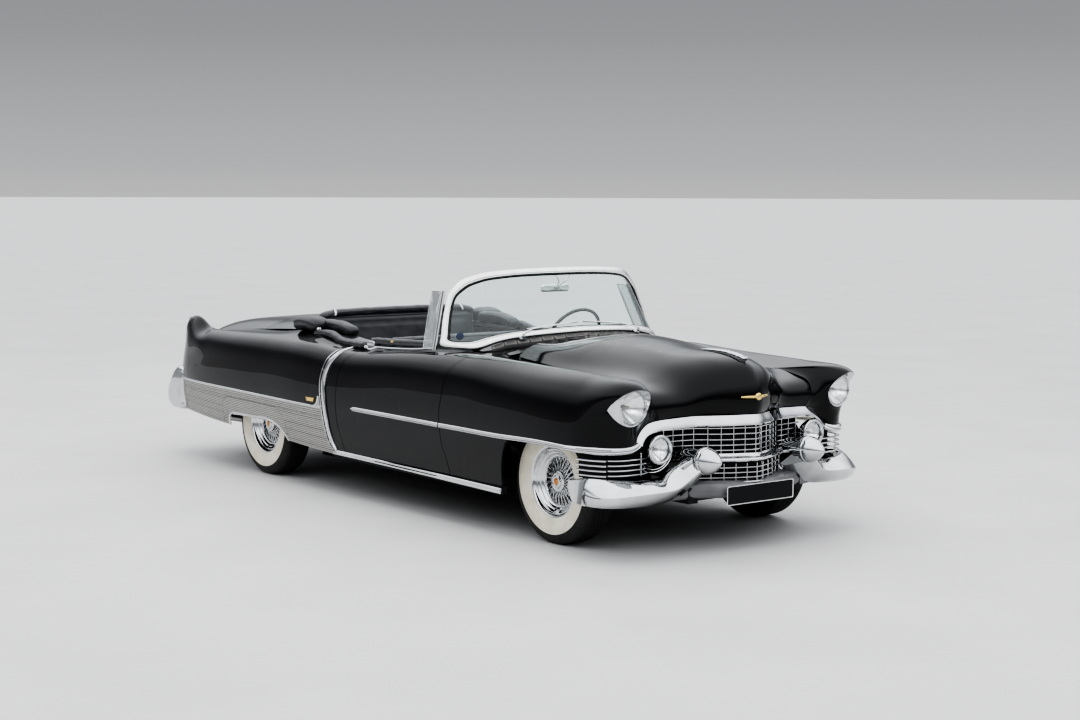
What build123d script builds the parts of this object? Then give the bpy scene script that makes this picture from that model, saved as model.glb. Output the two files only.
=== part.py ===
from build123d import *
import os
from math import atan2, cos, hypot, radians, sin

os.makedirs("parts", exist_ok=True)

# ---------------------------------------------------------------- frame and driving sizes (mm)
# +X forward, +Y to the car's left, +Z up. The origin is on the floor, below the middle of the car's length.
WHEELBASE = 3277.0
AXLE_F_X = 1900.0
AXLE_R_X = AXLE_F_X - WHEELBASE
TRACK_F, TRACK_R = 1524.0, 1603.0
TYRE_R, TYRE_W, RIM_R = 360.0, 205.0, 197.0
HUB_Z = TYRE_R
HALF_LENGTH = 2837.0
SHEET = 8.0            # outer body sheet
DOOR_SKIN = 20.0
DOOR_INNER_Y = 800.0   # inner face of a closed door
GAP = 6.0              # gap round a moving panel
KING_Y = 690.0         # steering pivot from the middle
STEER_DEG = 30.0
HOOD_REAR_X, COWL_REAR_X = 1190.0, 962.0
LID_FRONT_X, COVER_FRONT_X = -1702.0, -1130.0
LID_HALF_W, HOOD_HALF_W = 690.0, 565.0
SILL_TOP_Z = 303.0
FLOOR_Z = 250.0


# ---------------------------------------------------------------- helpers: each makes one whole solid
def prism(plane, points, depth, radii=0):
    """A closed outline on a plane, extruded by depth along the plane's normal."""
    with BuildPart() as p:
        with BuildSketch(plane):
            with BuildLine():
                if radii:
                    FilletPolyline(*points, radius=radii, close=True)
                else:
                    Polyline(*points, close=True)
            make_face()
        extrude(amount=depth)
    return p.part


def side_prism(points, y0, y1, radii=0):
    """Outline in side view (x, z) between y0 and y1."""
    return prism(Plane.XZ.offset(-y0), points, -(y1 - y0), radii)


def front_prism(points, x0, x1, radii=0):
    """Outline in front view (y, z) between x0 and x1."""
    return prism(Plane.YZ.offset(x0), points, x1 - x0, radii)


def plan_prism(points, z0, z1, radii=0):
    """Outline in plan (x, y) between z0 and z1."""
    return prism(Plane.XY.offset(z0), points, z1 - z0, radii)


def block(x0, x1, y0, y1, z0, z1):
    return plan_prism([(x0, y0), (x1, y0), (x1, y1), (x0, y1)], z0, z1)


def rod(start, end, radius):
    """A round bar between two points."""
    a, b = Vector(*start), Vector(*end)
    with BuildPart() as p:
        with BuildSketch(Plane(origin=a, z_dir=(b - a))):
            Circle(radius)
        extrude(amount=(b - a).length)
    return p.part


def lathe(profile, origin, axis):
    """A closed (r, along) outline turned about an axis through origin."""
    z_dir = Vector(*axis).normalized()
    x_dir = Vector(0, 0, 1) if abs(z_dir.Z) < 0.9 else Vector(1, 0, 0)
    # the sketch holds r along its x and the axis along its y
    plane = Plane(origin=origin, x_dir=x_dir, z_dir=x_dir.cross(z_dir))
    with BuildPart() as p:
        with BuildSketch(plane):
            with BuildLine():
                Polyline(*profile, close=True)
            make_face()
        revolve(axis=Axis(origin, axis))
    return p.part


def mirrored(part):
    with BuildPart() as p:
        mirror(part, about=Plane.XZ)
    return p.part


def both_sides(part):
    with BuildPart() as p:
        add(part)
        mirror(part, about=Plane.XZ)
    return p.part


def finish(part, node):
    part.label = node
    export_step(part, "parts/" + node + ".step")


def offset_points(points, t):
    """The open outline moved by t to its left-hand side, with mitred corners."""
    out, n = [], len(points)
    for i, (x, y) in enumerate(points):
        normals = []
        for a, b in ((i - 1, i), (i, i + 1)):
            if 0 <= a and b < n:
                dx, dy = points[b][0] - points[a][0], points[b][1] - points[a][1]
                length = hypot(dx, dy)
                normals.append((-dy / length, dx / length))
        nx, ny = sum(v[0] for v in normals), sum(v[1] for v in normals)
        if len(normals) == 2:
            k = 2 / (nx * nx + ny * ny)
            nx, ny = nx * k, ny * k
        out.append((x + nx * t, y + ny * t))
    return out


# ---------------------------------------------------------------- body side: one table of sections, left side
# x | bottom y, z | low y | side y, z | shoulder y, z | crest y, z | inner edge y, z
SIDE = [
    (-2700, 830, 350, 850, 840, 760, 815, 850, 790, 895, 697, 880),
    (-2600, 890, 350, 915, 905, 760, 885, 893, 830, 940, 697, 920),
    (-2400, 940, 350, 968, 955, 770, 930, 915, 860, 972, 697, 952),
    (-1900, 982, 335, 1003, 992, 780, 962, 925, 880, 986, 697, 992),
    (-1377, 990, 318, 1010, 1000, 790, 968, 935, 885, 997, 697, 1016),
    (-1100, 988, 308, 1009, 1000, 790, 968, 936, 885, 999, 715, 1036),
    (-750, 982, 296, 1006, 996, 790, 965, 935, 882, 997, 770, 1046),
    (-300, 972, 280, 996, 986, 785, 952, 920, 872, 970, 770, 1004),
    (400, 962, 270, 986, 979, 800, 950, 940, 868, 1003, 770, 1010),
    (1000, 962, 262, 988, 981, 815, 948, 955, 850, 1028, 575, 1046),
    (1190, 964, 262, 990, 983, 815, 948, 958, 835, 1033, 575, 1012),
    (1400, 966, 262, 993, 985, 815, 945, 955, 822, 1028, 573, 985),
    (1763, 970, 262, 998, 988, 815, 942, 945, 806, 1014, 573, 970),
    (2200, 965, 262, 992, 978, 815, 930, 940, 800, 1003, 573, 962),
    (2450, 930, 400, 955, 955, 815, 912, 932, 800, 992, 573, 948),
    (2545, 760, 560, 800, 945, 800, 900, 920, 798, 985, 573, 935),
    (2655, 896, 850, 900, 890, 885, 862, 925, 785, 950, 640, 895),
]
SIDE_COLUMNS = ("x", "yb", "zb", "ym", "yu", "zu", "ys", "zs", "yc", "zc", "yv", "zv")
LOW_Z = 520.0


def side_row(values):
    return dict(zip(SIDE_COLUMNS, values))


def side_outer(r):
    low_z = LOW_Z if r["zb"] < LOW_Z - 20 else (r["zb"] + r["zu"]) / 2
    return [(r["yb"], r["zb"]), (r["ym"], low_z), (r["yu"], r["zu"]), (r["ys"], r["zs"]), (r["yc"], r["zc"]), (r["yv"], r["zv"])]


def side_sheet(x_from, x_to, t):
    """The body side as a sheet of thickness t between two stations."""
    with BuildPart() as p:
        for r in (side_row(v) for v in SIDE if x_from <= v[0] <= x_to):
            b, m, u, s, c, v = side_outer(r)
            bi, mi, ui, si, ci, vi = offset_points([b, m, u, s, c, v], t)
            with BuildSketch(Plane.YZ.offset(r["x"])):
                with BuildLine():
                    Line(b, m)
                    Line(m, u)
                    ThreePointArc(u, s, c)
                    Line(c, v)
                    Line(v, vi)
                    Line(vi, ci)
                    ThreePointArc(ci, si, ui)
                    Line(ui, mi)
                    Line(mi, bi)
                    Line(bi, b)
                make_face()
        loft(ruled=True)
    return p.part


def side_thick(x_from, x_to, inner_y, inset):
    """The body side filled in to inner_y, its outer face set in by inset."""
    with BuildPart() as p:
        for r in (side_row(v) for v in SIDE if x_from <= v[0] <= x_to):
            b, m, u, s, c, v = offset_points(side_outer(r), inset)
            with BuildSketch(Plane.YZ.offset(r["x"])):
                with BuildLine():
                    Polyline(b, m, u)
                    ThreePointArc(u, s, c)
                    Polyline(c, (inner_y, c[1]), (inner_y, b[1]), b)
                make_face()
        loft(ruled=True)
    return p.part


# door gap lines in side view (x, z), from the top down
GAP_FRONT = [(1110, 1080), (1086, 1011), (1005, 916), (977, 808), (955, 651), (976, 497), (1030, 378), (1060, 240)]
GAP_REAR = [(-60, 1080), (-99, 981), (-202, 883), (-237, 766), (-239, 632), (-227, 498), (-178, 368), (-140, 240)]


def shifted(line, dx):
    return [(x + dx, z) for x, z in line]


door_cut = side_prism(shifted(GAP_FRONT, -GAP / 2) + shifted(GAP_REAR, GAP / 2)[::-1], 600, 1100)
door_core_cut = side_prism(shifted(GAP_FRONT, -45) + shifted(GAP_REAR, 55)[::-1], 600, 1100)
front_cut = side_prism(shifted(GAP_FRONT, GAP / 2) + [(2900, 240), (2900, 1080)], 500, 1100)
rear_cut = side_prism(shifted(GAP_REAR, -GAP / 2) + [(-2516, 240), (-2516, 685), (-2672, 685), (-2578, 935), (-2560, 1080)], 500, 1100)

# ---------------------------------------------------------------- front fenders
# wheel opening: up from behind the wheel to the moulding line and along it to the nose
with BuildPart() as fender_left:
    add(side_sheet(1000, 2655, SHEET))
    add(side_sheet(400, 1000, SHEET))
    add(front_cut, mode=Mode.INTERSECT)
    add(side_prism([(1576, 200), (1590, 405), (1636, 560), (1672, 594), (2291, 594), (2560, 606), (2600, 610), (2600, 200)], 500, 1100), mode=Mode.SUBTRACT)
    add(block(940, 2700, 500, 1100, 200, SILL_TOP_Z), mode=Mode.SUBTRACT)
    add(block(700, HOOD_REAR_X - 2, 400, 697, 700, 1200), mode=Mode.SUBTRACT)
finish(fender_left.part, "front_fender_left")
finish(mirrored(fender_left.part), "front_fender_right")

# ---------------------------------------------------------------- rear quarters, with the fins and the opening for the skirts
SKIRT = [(-1788, 300), (-1787, 438), (-1770, 505), (-1694, 534), (-1011, 526), (-922, 476), (-870, 386), (-856, 300)]
FIN = [(-2150, 900), (-2205, 984), (-2300, 1000), (-2385, 1035), (-2440, 1060), (-2520, 1064), (-2566, 1040), (-2578, 935), (-2578, 900)]
with BuildPart() as quarter_left:
    add(side_sheet(-2700, 400, SHEET))
    add(rear_cut, mode=Mode.INTERSECT)
    add(side_prism(SKIRT, 700, 1100), mode=Mode.SUBTRACT)
    add(side_prism([(-1860, 240), (-1788, 340), (-1700, 340), (-800, 340), (-790, 240)], 700, 1100), mode=Mode.SUBTRACT)
    add(block(-310, 400, 600, 1100, 200, SILL_TOP_Z), mode=Mode.SUBTRACT)
    with BuildSketch(Plane.XZ.offset(-812)):
        with BuildLine():
            Polyline(*FIN, close=True)
        make_face()
    extrude(amount=-50)
    # jamb that closes the quarter's front edge behind the door
    add(block(-300, -262, 880, 980, 300, 900))
finish(quarter_left.part, "rear_quarter_left")
finish(mirrored(quarter_left.part), "rear_quarter_right")

# removable skirts: the quarter's sheet inside the seam, above the wheel opening
with BuildPart() as skirt_left:
    add(side_sheet(-1900, -750, SHEET))
    add(side_prism([(-1785, 300), (-1784, 437), (-1768, 502), (-1693, 531), (-1012, 523), (-924, 474), (-873, 385), (-859, 300)], 700, 1100), mode=Mode.INTERSECT)
    add(side_prism([(-1720, 250), (-1689, 398), (-1639, 424), (-1100, 424), (-961, 383), (-860, 300), (-860, 250)], 700, 1100), mode=Mode.SUBTRACT)
finish(both_sides(skirt_left.part), "fender_skirts")

# ---------------------------------------------------------------- doors
door_core = side_thick(-750, 1190, DOOR_INNER_Y, DOOR_SKIN / 2) & door_core_cut
with BuildPart() as door_left:
    add(side_sheet(-750, 1190, DOOR_SKIN))
    add(door_cut, mode=Mode.INTERSECT)
    add(door_core)
    add(block(-400, 1200, 600, 1100, 200, SILL_TOP_Z + 5), mode=Mode.SUBTRACT)
    add(block(-400, 1200, 500, DOOR_INNER_Y - 4, 200, 1200), mode=Mode.SUBTRACT)
finish(door_left.part, "door_left")
finish(mirrored(door_left.part), "door_right")

# padded roll on each door top
with BuildPart() as pad_left:
    add(side_prism([(-48, 1022), (682, 1043), (682, 1084), (672, 1090), (-40, 1052), (-48, 1044)], 806, 858))
finish(pad_left.part, "door_pad_left")
finish(mirrored(pad_left.part), "door_pad_right")

# ---------------------------------------------------------------- sheets given by side profiles at a few widths
def profile_sheet(table, t):
    """table: (half width y, [(x, z) ...]); every profile has the same number of points. The sheet lies to the left of
    the line as it is listed, so t is negative where the list runs the other way."""
    with BuildPart() as p:
        for y, pts in [(-y, pts) for y, pts in table[::-1] if y > 0] + table:
            with BuildSketch(Plane.XZ.offset(-y)):
                with BuildLine():
                    Polyline(*pts, *offset_points(pts, t)[::-1], close=True)
                make_face()
        loft(ruled=True)
    return p.part


HOOD = [
    (0, [(2690, 790), (2691, 860), (2688, 930), (2660, 1040), (2560, 1093), (2230, 1113), (1740, 1146), (1190, 1160)]),
    (130, [(2682, 790), (2684, 860), (2664, 925), (2636, 1025), (2545, 1073), (2230, 1100), (1740, 1138), (1190, 1154)]),
    (300, [(2672, 790), (2668, 850), (2640, 905), (2600, 970), (2500, 1008), (2230, 1045), (1740, 1100), (1190, 1138)]),
    (450, [(2660, 790), (2654, 840), (2625, 885), (2585, 930), (2480, 960), (2230, 985), (1740, 1030), (1190, 1098)]),
    (565, [(2648, 790), (2640, 835), (2610, 870), (2570, 915), (2470, 945), (2230, 962), (1740, 972), (1190, 1012)]),
]
hood = profile_sheet(HOOD, SHEET)
finish(hood, "hood")

LID = [
    (0, [(-2740, 705), (-2733, 780), (-2715, 850), (-2665, 950), (-2560, 1004), (-2350, 1044), (-2100, 1068), (-1702, 1086)]),
    (350, [(-2732, 705), (-2725, 780), (-2707, 845), (-2660, 942), (-2560, 996), (-2350, 1036), (-2100, 1060), (-1702, 1078)]),
    (600, [(-2706, 705), (-2700, 780), (-2682, 835), (-2640, 912), (-2550, 960), (-2350, 998), (-2100, 1020), (-1702, 1042)]),
    (690, [(-2690, 705), (-2684, 770), (-2664, 815), (-2620, 876), (-2530, 925), (-2350, 956), (-2100, 978), (-1702, 1006)]),
]
lid = profile_sheet([(y, pts) for y, pts in LID], -SHEET)
finish(lid, "trunk_lid")

COVER = [
    (0, [(-1696, 1086), (-1130, 1126)]),
    (350, [(-1696, 1078), (-1130, 1116)]),
    (600, [(-1696, 1042), (-1130, 1080)]),
    (690, [(-1696, 1006), (-1130, 1038)]),
]
cover = profile_sheet(COVER, -SHEET)
finish(cover, "top_boot_cover")

COWL = [
    (0, [(1184, 1160), (962, 1150)]),
    (300, [(1184, 1138), (962, 1134)]),
    (565, [(1184, 1030), (962, 1072)]),
    (690, [(1184, 1018), (962, 1040)]),
]
cowl_sheet = profile_sheet(COWL, SHEET)
with BuildPart() as cowl:
    add(cowl_sheet)
    add(front_prism([(-690, FLOOR_Z), (690, FLOOR_Z), (690, 1016), (565, 1031), (300, 1132), (0, 1153), (-300, 1132), (-565, 1031), (-690, 1016)], 1140, 1152))
    add(block(1100, 1200, -150, 150, 200, 392), mode=Mode.SUBTRACT)
finish(cowl.part, "cowl_and_firewall")

# ---------------------------------------------------------------- bands that follow a plan outline
def plan_band(points, t, z0, z1):
    """A strip of thickness t whose outer face follows points (x, y), listed from left to right of the car."""
    return plan_prism(points + offset_points(points, -t)[::-1], z0, z1)


def symmetric(points):
    """Adds the mirror image of a plan half outline that starts on the centre line; returned left to right."""
    return [(x, y) for x, y in points[::-1]] + [(x, -y) for x, y in points if y > 0]


TAIL_PLAN = [(-2737, 0), (-2729, 350), (-2703, 600), (-2688, 690)]
with BuildPart() as tail:
    add(plan_band(symmetric(TAIL_PLAN), -SHEET, 384, 698))
    # corner panels behind the quarters, sloped like the quarters' rear edge
    for side in (1, -1):
        corner = side_prism([(-2578.5, 935), (-2672.5, 686), (-2680.5, 686), (-2586.5, 935)], 697, 930)
        trimmed = corner & front_prism([(697, 680), (697, 915), (830, 935), (880, 896), (900, 760), (905, 680)], -2700, -2500)
        add(trimmed if side > 0 else mirrored(trimmed))
finish(tail.part, "tail_panel")

# ---------------------------------------------------------------- sills and floor
with BuildPart() as sill_left:
    add(block(-302, 1138, 764, 940, 252, 300))
    add(block(-302, 1570, 930, 972, 257, 300))
finish(both_sides(sill_left.part), "sills")

with BuildPart() as floor:
    add(block(-1000, 1138, -758, 758, FLOOR_Z, FLOOR_Z + 8))
    add(block(-1000, 1138, -150, 150, FLOOR_Z - 5, FLOOR_Z + 10), mode=Mode.SUBTRACT)
    for y in (-150, 142):
        add(block(-1000, 1138, y, y + 8, FLOOR_Z, 376))
    add(block(-1000, 1138, -150, 150, 368, 376))
    add(block(-1008, -1000, -758, 758, FLOOR_Z, 608))
    add(block(-1010, -998, -142, 142, 240, 368), mode=Mode.SUBTRACT)
    add(block(-1760, -1008, -655, 655, 600, 608))
    add(block(-1768, -1760, -655, 655, 420, 608))
    add(block(-2676, -1768, -655, 655, 420, 428))
    for side in (1, -1):
        y0, y1 = sorted((side * 647, side * 655))
        add(block(-1860, -1008, y0, y1, 560, 830))
        y0, y1 = sorted((side * 647, side * 970))
        add(block(-1860, -940, y0, y1, 822, 830))
        add(block(-1008, -940, *sorted((side * 700, side * 758)), 600, 830))
finish(floor.part, "floor_pan")

# ---------------------------------------------------------------- frame and running gear
RAIL = [(2600, 400, 330), (1500, 400, 320), (1300, 480, 205), (1050, 640, 205), (-1012, 600, 205), (-1120, 560, 470),
        (-1640, 560, 470), (-1758, 545, 372), (-1950, 520, 368), (-2560, 520, 365)]
RAIL_W, RAIL_H = 70.0, 90.0
with BuildPart() as rail_left:
    for x, y, z in RAIL:
        with BuildSketch(Plane.YZ.offset(x)):
            with Locations((y, z)):
                Rectangle(RAIL_W, RAIL_H)
    loft(ruled=True)
CROSS = [(2480, 2560, 365, 290, 360), (1840, 1960, 365, 285, 330), (460, 540, 605, 190, 245), (-640, -560, 605, 190, 245), (-1640, -1560, 525, 470, 512), (-2560, -2500, 485, 330, 400)]
with BuildPart() as frame:
    add(rail_left.part)
    mirror(rail_left.part, about=Plane.XZ)
    for x0, x1, half, z0, z1 in CROSS:
        add(block(x0, x1, -half - 5, half + 5, z0, z1))
finish(frame.part, "chassis_frame")

with BuildPart() as engine:
    add(block(1330, 2090, -270, 270, 345, 880))
    add(block(620, 1330, -110, 110, 235, 358))
finish(engine.part, "engine_block")

finish(rod((612, 0, 290), (-1225, 0, 330), 36), "drive_shaft")

with BuildPart() as rear_axle:
    add(rod((AXLE_R_X, -812, HUB_Z), (AXLE_R_X, 812, HUB_Z), 25))
    add(rod((AXLE_R_X, -715, HUB_Z), (AXLE_R_X, 715, HUB_Z), 40))
    add(lathe([(0, -125), (90, -125), (140, -60), (140, 60), (90, 125), (0, 125)], (AXLE_R_X, 0, HUB_Z), (0, 1, 0)))
    for side in (1, -1):
        add(lathe([(0, 705), (150, 705), (150, 765), (0, 765)], (AXLE_R_X, 0, HUB_Z), (0, side, 0)))
finish(rear_axle.part, "rear_axle")

finish(both_sides(side_prism([(-1012, 262), (AXLE_R_X, 288), (-1880, 330), (-1880, 352), (AXLE_R_X, 318), (-1012, 288)], 640, 690)), "leaf_springs")

with BuildPart() as arms_left:
    add(plan_prism([(1922, 664), (2050, 436), (1750, 436), (1878, 664)], 268, 290))
    add(plan_prism([(1918, 664), (2010, 431), (1790, 431), (1882, 664)], 438, 456))
    add(block(1790, 2010, 372, 432, 371, 470))
finish(both_sides(arms_left.part), "suspension_arms")

with BuildPart() as knuckle:
    add(rod((AXLE_F_X, KING_Y, 262), (AXLE_F_X, KING_Y, 462), 22))
    add(rod((AXLE_F_X, KING_Y, HUB_Z), (AXLE_F_X, TRACK_F / 2 + 18, HUB_Z), 25))
    add(lathe([(0, 712), (150, 712), (150, 743), (0, 743)], (AXLE_F_X, 0, HUB_Z), (0, 1, 0)))
    add(block(1762, 1900, 672, 688, 296, 322))
finish(knuckle.part, "knuckle_left")
finish(mirrored(knuckle.part), "knuckle_right")

TYRE = [(198, -76), (230, -94), (285, -TYRE_W / 2), (325, -98), (348, -84), (TYRE_R, -70), (TYRE_R, 70), (348, 84), (325, 98),
        (285, TYRE_W / 2), (230, 94), (198, 76), (198, 62), (198, -62)]
RIM = [(25.4, 4), (60, 4), (75, 10), (186, 22), (186, -66), (206, -76), (206, -80), (197.5, -80), (194, -74), (180, -64), (180, 18),
       (78, 2), (60, -8), (25.4, -8)]


def wheel_pair(name, x, track, cap_reach):
    centre = track / 2
    rim_profile = [(25.4, -14), (62, -14), (182, 20), (182, -70), (197.4, -76), (197.4, 76), (190, 76), (182, 40), (182, 36), (64, 24), (56, cap_reach),
                   (0, cap_reach), (0, cap_reach - 10), (48, cap_reach - 14), (48, 22), (25.4, 22)]
    with BuildPart() as rim:
        add(lathe(rim_profile, (x, centre, HUB_Z), (0, 1, 0)))
        slots = [rod((x + 125 * cos(radians(a)), centre - 60, HUB_Z + 125 * sin(radians(a))), (x + 125 * cos(radians(a)), centre + 60, HUB_Z + 125 * sin(radians(a))), 17)
                 for a in range(0, 360, 24)]
        for slot in slots:
            add(slot, mode=Mode.SUBTRACT)
    tyre = lathe(TYRE, (x, centre, HUB_Z), (0, 1, 0))
    for side, part in (("left", rim.part), ("right", mirrored(rim.part))):
        finish(part, "wheel_" + name + "_" + side)
    for side, part in (("left", tyre), ("right", mirrored(tyre))):
        finish(part, "tyre_" + name + "_" + side)


wheel_pair("front", AXLE_F_X, TRACK_F, 64)
wheel_pair("rear", AXLE_R_X, TRACK_R, 65)

finish(block(-2480, -2000, -330, 330, 245, 412), "fuel_tank")

EXHAUST = [(1320, 300, 300), (1150, 330, 160), (-1050, 450, 160), (-1190, 450, 456), (-1600, 450, 425), (-1950, 470, 262), (-2420, 700, 300), (-2500, 880, 420)]
exhaust_runs = [rod(a, b, 25) for a, b in zip(EXHAUST, EXHAUST[1:])] + [rod((400, 370.9, 160), (-250, 406.4, 160), 44)]
with BuildPart() as exhaust_left:
    for run in exhaust_runs:
        add(run)
    for x, y, z in EXHAUST[1:-1]:
        with Locations((x, y, z)):
            Sphere(25)
finish(both_sides(exhaust_left.part), "exhaust_pipes")

finish(block(2380, 2450, -300, 300, 380, 900), "radiator")

with BuildPart() as inner_fender:
    add(block(1180, 2455, 462, 470, 420, 788))
    add(block(1180, 2455, 462, 925, 780, 788))
    add(block(1780, 2020, 455, 475, 415, 480), mode=Mode.SUBTRACT)
finish(both_sides(inner_fender.part), "inner_fenders")

# ---------------------------------------------------------------- front end
TOP_BAR = [(2716, 0), (2706, 160), (2688, 330), (2664, 480), (2644, 590)]
GRILLE = [(2700, 0), (2692, 120), (2668, 250), (2628, 390), (2580, 500)]
LOWER = [(2768, 0), (2764, 150), (2753, 284)]
SIDE_BARS = [(2276, 966), (2360, 952), (2450, 905), (2510, 830), (2530, 760), (2534, 692)]


def at_plan(outline, y):
    """x on a plan half outline at the given y."""
    for (xa, ya), (xb, yb) in zip(outline, outline[1:]):
        if ya <= abs(y) <= yb:
            return xa + (xb - xa) * (abs(y) - ya) / (yb - ya)
    return outline[-1][0]


with BuildPart() as grille:
    add(plan_band(symmetric(TOP_BAR), 34, 744, 781))
    for z in (582, 614, 646, 678, 710):
        add(plan_band(symmetric(GRILLE), 18, z, z + 8))
    for z in (408, 440, 472, 504):
        add(plan_band(symmetric(LOWER), 18, z, z + 8))
    for k in range(-7, 8):
        x = at_plan(GRILLE, k * 68)
        add(block(x - 22, x - 4, k * 68 - 3, k * 68 + 3, 576, 750))
    for k in range(-3, 4):
        x = at_plan(LOWER, k * 74)
        add(block(x - 22, x - 4, k * 74 - 3, k * 74 + 3, 404, 516))
    add(block(2684, 2764, -6, 6, 508, 586))
    for side in (1, -1):
        add(rod((2622, side * 590, 762), (2512, side * 716, 632), 15))
with BuildPart() as side_bars:
    for z in (480, 503, 526, 549):
        add(plan_band(SIDE_BARS, -16, z, z + 9))
    for x, y in ((2290, 952), (2440, 897), (2516, 780)):
        add(block(x - 6, x + 6, y - 6, y + 6, 480, 592 if x < 2500 else 558))
with BuildPart() as all_grilles:
    add(grille.part)
    add(side_bars.part)
    mirror(side_bars.part, about=Plane.XZ)
finish(all_grilles.part, "front_grille")

# bumper wing sections: x, y | heading of the outward face, degrees from +X | bottom z, top z | bulge
WING = [
    (2776, 330, 8, 345, 560, 22),
    (2752, 470, 16, 336, 562, 26),
    (2690, 620, 26, 312, 520, 30),
    (2610, 770, 34, 306, 474, 30),
    (2500, 890, 52, 312, 462, 30),
    (2380, 962, 76, 330, 448, 24),
    (2232, 985, 86, 371, 424, 12),
]
with BuildPart() as wing_left:
    for x, y, heading, z0, z1, bulge in WING:
        n = Vector(cos(radians(heading)), sin(radians(heading)), 0)
        h = z1 - z0
        with BuildSketch(Plane(origin=(x, y, 0), x_dir=n, z_dir=n.cross(Vector(0, 0, 1)))):
            with BuildLine():
                Polyline((-34, z0 + 8), (-8, z0), (bulge * 0.8, z0 + 0.25 * h), (bulge, z0 + 0.6 * h), (bulge * 0.5, z1 - 0.08 * h), (-10, z1), (-34, z1 - 6), close=True)
            make_face()
    loft(ruled=True)
bullet = lathe([(0, 118), (38, 100), (72, 62), (94, 0), (94, -40), (70, -62), (0, -68)], (2718, 400, 540), (1, 0, 0))
with BuildPart() as front_bumper:
    add(wing_left.part)
    mirror(wing_left.part, about=Plane.XZ)
    add(bullet)
    mirror(bullet, about=Plane.XZ)
    add(plan_band([(2770, 345), (2800, 150), (2800, -150), (2770, -345)], 26, 532, 556))
finish(front_bumper.part, "front_bumper")

VALANCE = [(2744, 0), (2740, 262), (2716, 330)]
finish(plan_band(symmetric(VALANCE), 10, 314, 398), "front_valance")
with BuildPart() as plates:
    add(block(2744.3, 2749, -260, 260, 270, 380))
    add(block(-2817, -2812.3, -260, 260, 480, 592))
finish(plates.part, "number_plates")

with BuildPart() as head_bezel:
    add(lathe([(30, -70), (88, -30), (88, 12), (105, 12), (108, -20), (60, -80), (30, -80)], (2545, 798, 844), (1, 0, 0)))
with BuildPart() as fog:
    add(lathe([(0, -70), (50, -60), (80, -10), (82, 22), (66, 22), (66, 4), (0, -50)], (2530, 594, 600), (1, 0, 0)))
with BuildPart() as bezels:
    for part in (head_bezel.part, fog.part):
        add(part)
        mirror(part, about=Plane.XZ)
finish(bezels.part, "lamp_bezels")
reverse_lens = side_prism([(-2590, 926), (-2616, 926), (-2634, 868), (-2612, 868)], 822, 852)
with BuildPart() as lenses:
    for part in (lathe([(0, 26), (40, 22), (87, 10), (87, -4), (0, -4)], (2545, 798, 844), (1, 0, 0)),
                 lathe([(0, 24), (35, 21), (65, 17), (65, 8), (0, 8)], (2530, 594, 600), (1, 0, 0)),
                 reverse_lens):
        add(part)
        mirror(part, about=Plane.XZ)
finish(lenses.part, "lamp_lenses")

# ---------------------------------------------------------------- rear end
tail_lamp = side_prism([(-2566.5, 1042), (-2592, 1018), (-2602, 965), (-2600, 936), (-2579.5, 936)], 818, 856)
finish(both_sides(tail_lamp), "tail_lamps")

pod = side_prism([(-2519, 360), (-2519, 660), (-2560, 681), (-2640, 680), (-2725, 630), (-2795, 545), (-HALF_LENGTH, 480), (-2832, 410), (-2745, 352)], 795, 962)
with BuildPart() as pod_left:
    add(pod)
    add(block(-2690, -2400, 780, 925, 340, 690), mode=Mode.SUBTRACT)
    add(rod((-2900, 880, 440), (-2660, 880, 440), 34), mode=Mode.SUBTRACT)
with BuildPart() as rear_bumper:
    add(pod_left.part)
    mirror(pod_left.part, about=Plane.XZ)
    add(plan_prism([(-2750, -800), (-2750, 800), (-2790, 800), (-2806, 400), (-2812, 0), (-2806, -400), (-2790, -800)], 478, 604))
finish(rear_bumper.part, "rear_bumper")

# ---------------------------------------------------------------- windshield
SCREEN_BASE = [(1175, 0), (1162, 200), (1122, 400), (1060, 580), (985, 720), (905, 812), (802, 872)]
SCREEN_TOP = [(888, 0), (878, 150), (852, 320), (826, 450), (800, 560), (784, 630), (772, 672)]
BASE_Z, TOP_Z = 1036.0, 1532.0


def screen_band(set_in, t):
    """The curved screen as a leaning band, its outer face set_in behind the frame's."""
    with BuildPart() as p:
        for outline, z in ((SCREEN_BASE, BASE_Z), (SCREEN_TOP, TOP_Z)):
            points = symmetric(outline)
            outer = offset_points(points, -set_in) if set_in else points
            with BuildSketch(Plane.XY.offset(z)):
                with BuildLine():
                    Polyline(*outer, *offset_points(points, -set_in - t)[::-1], close=True)
                make_face()
        loft(ruled=True)
    return p.part


def mirrored_outline(half):
    return half + [(-y, z) for y, z in half[::-1] if y > 0]


FRAME_OUT = [(0, 1527), (300, 1522), (530, 1503), (625, 1474), (668, 1432), (700, 1370), (900, 1046), (900, 1040), (700, 1044), (565, 1076), (300, 1139), (0, 1162)]
OPENING = [(0, 1492), (300, 1487), (515, 1468), (596, 1442), (634, 1405), (790, 1100), (700, 1100), (565, 1122), (300, 1170), (0, 1192)]
OPENING_IN = [(0, 1491.5), (300, 1486.5), (515, 1467.5), (595.7, 1441.5), (633.4, 1405), (789, 1100.5), (700, 1100.5), (565, 1122.5), (300, 1170.5), (0, 1192.5)]


def closed_half(half):
    return [p for p in half] + [(-y, z) for y, z in half[::-1] if y > 0]


with BuildPart() as screen_frame:
    add(screen_band(0, 26))
    add(front_prism(closed_half(FRAME_OUT), 600, 1300), mode=Mode.INTERSECT)
    add(front_prism(closed_half(OPENING), 600, 1300), mode=Mode.SUBTRACT)
finish(screen_frame.part, "windshield_frame")
with BuildPart() as screen_glass:
    add(screen_band(10, 6))
    add(front_prism(closed_half(OPENING_IN), 600, 1300), mode=Mode.INTERSECT)
finish(screen_glass.part, "windshield_glass")

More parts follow.
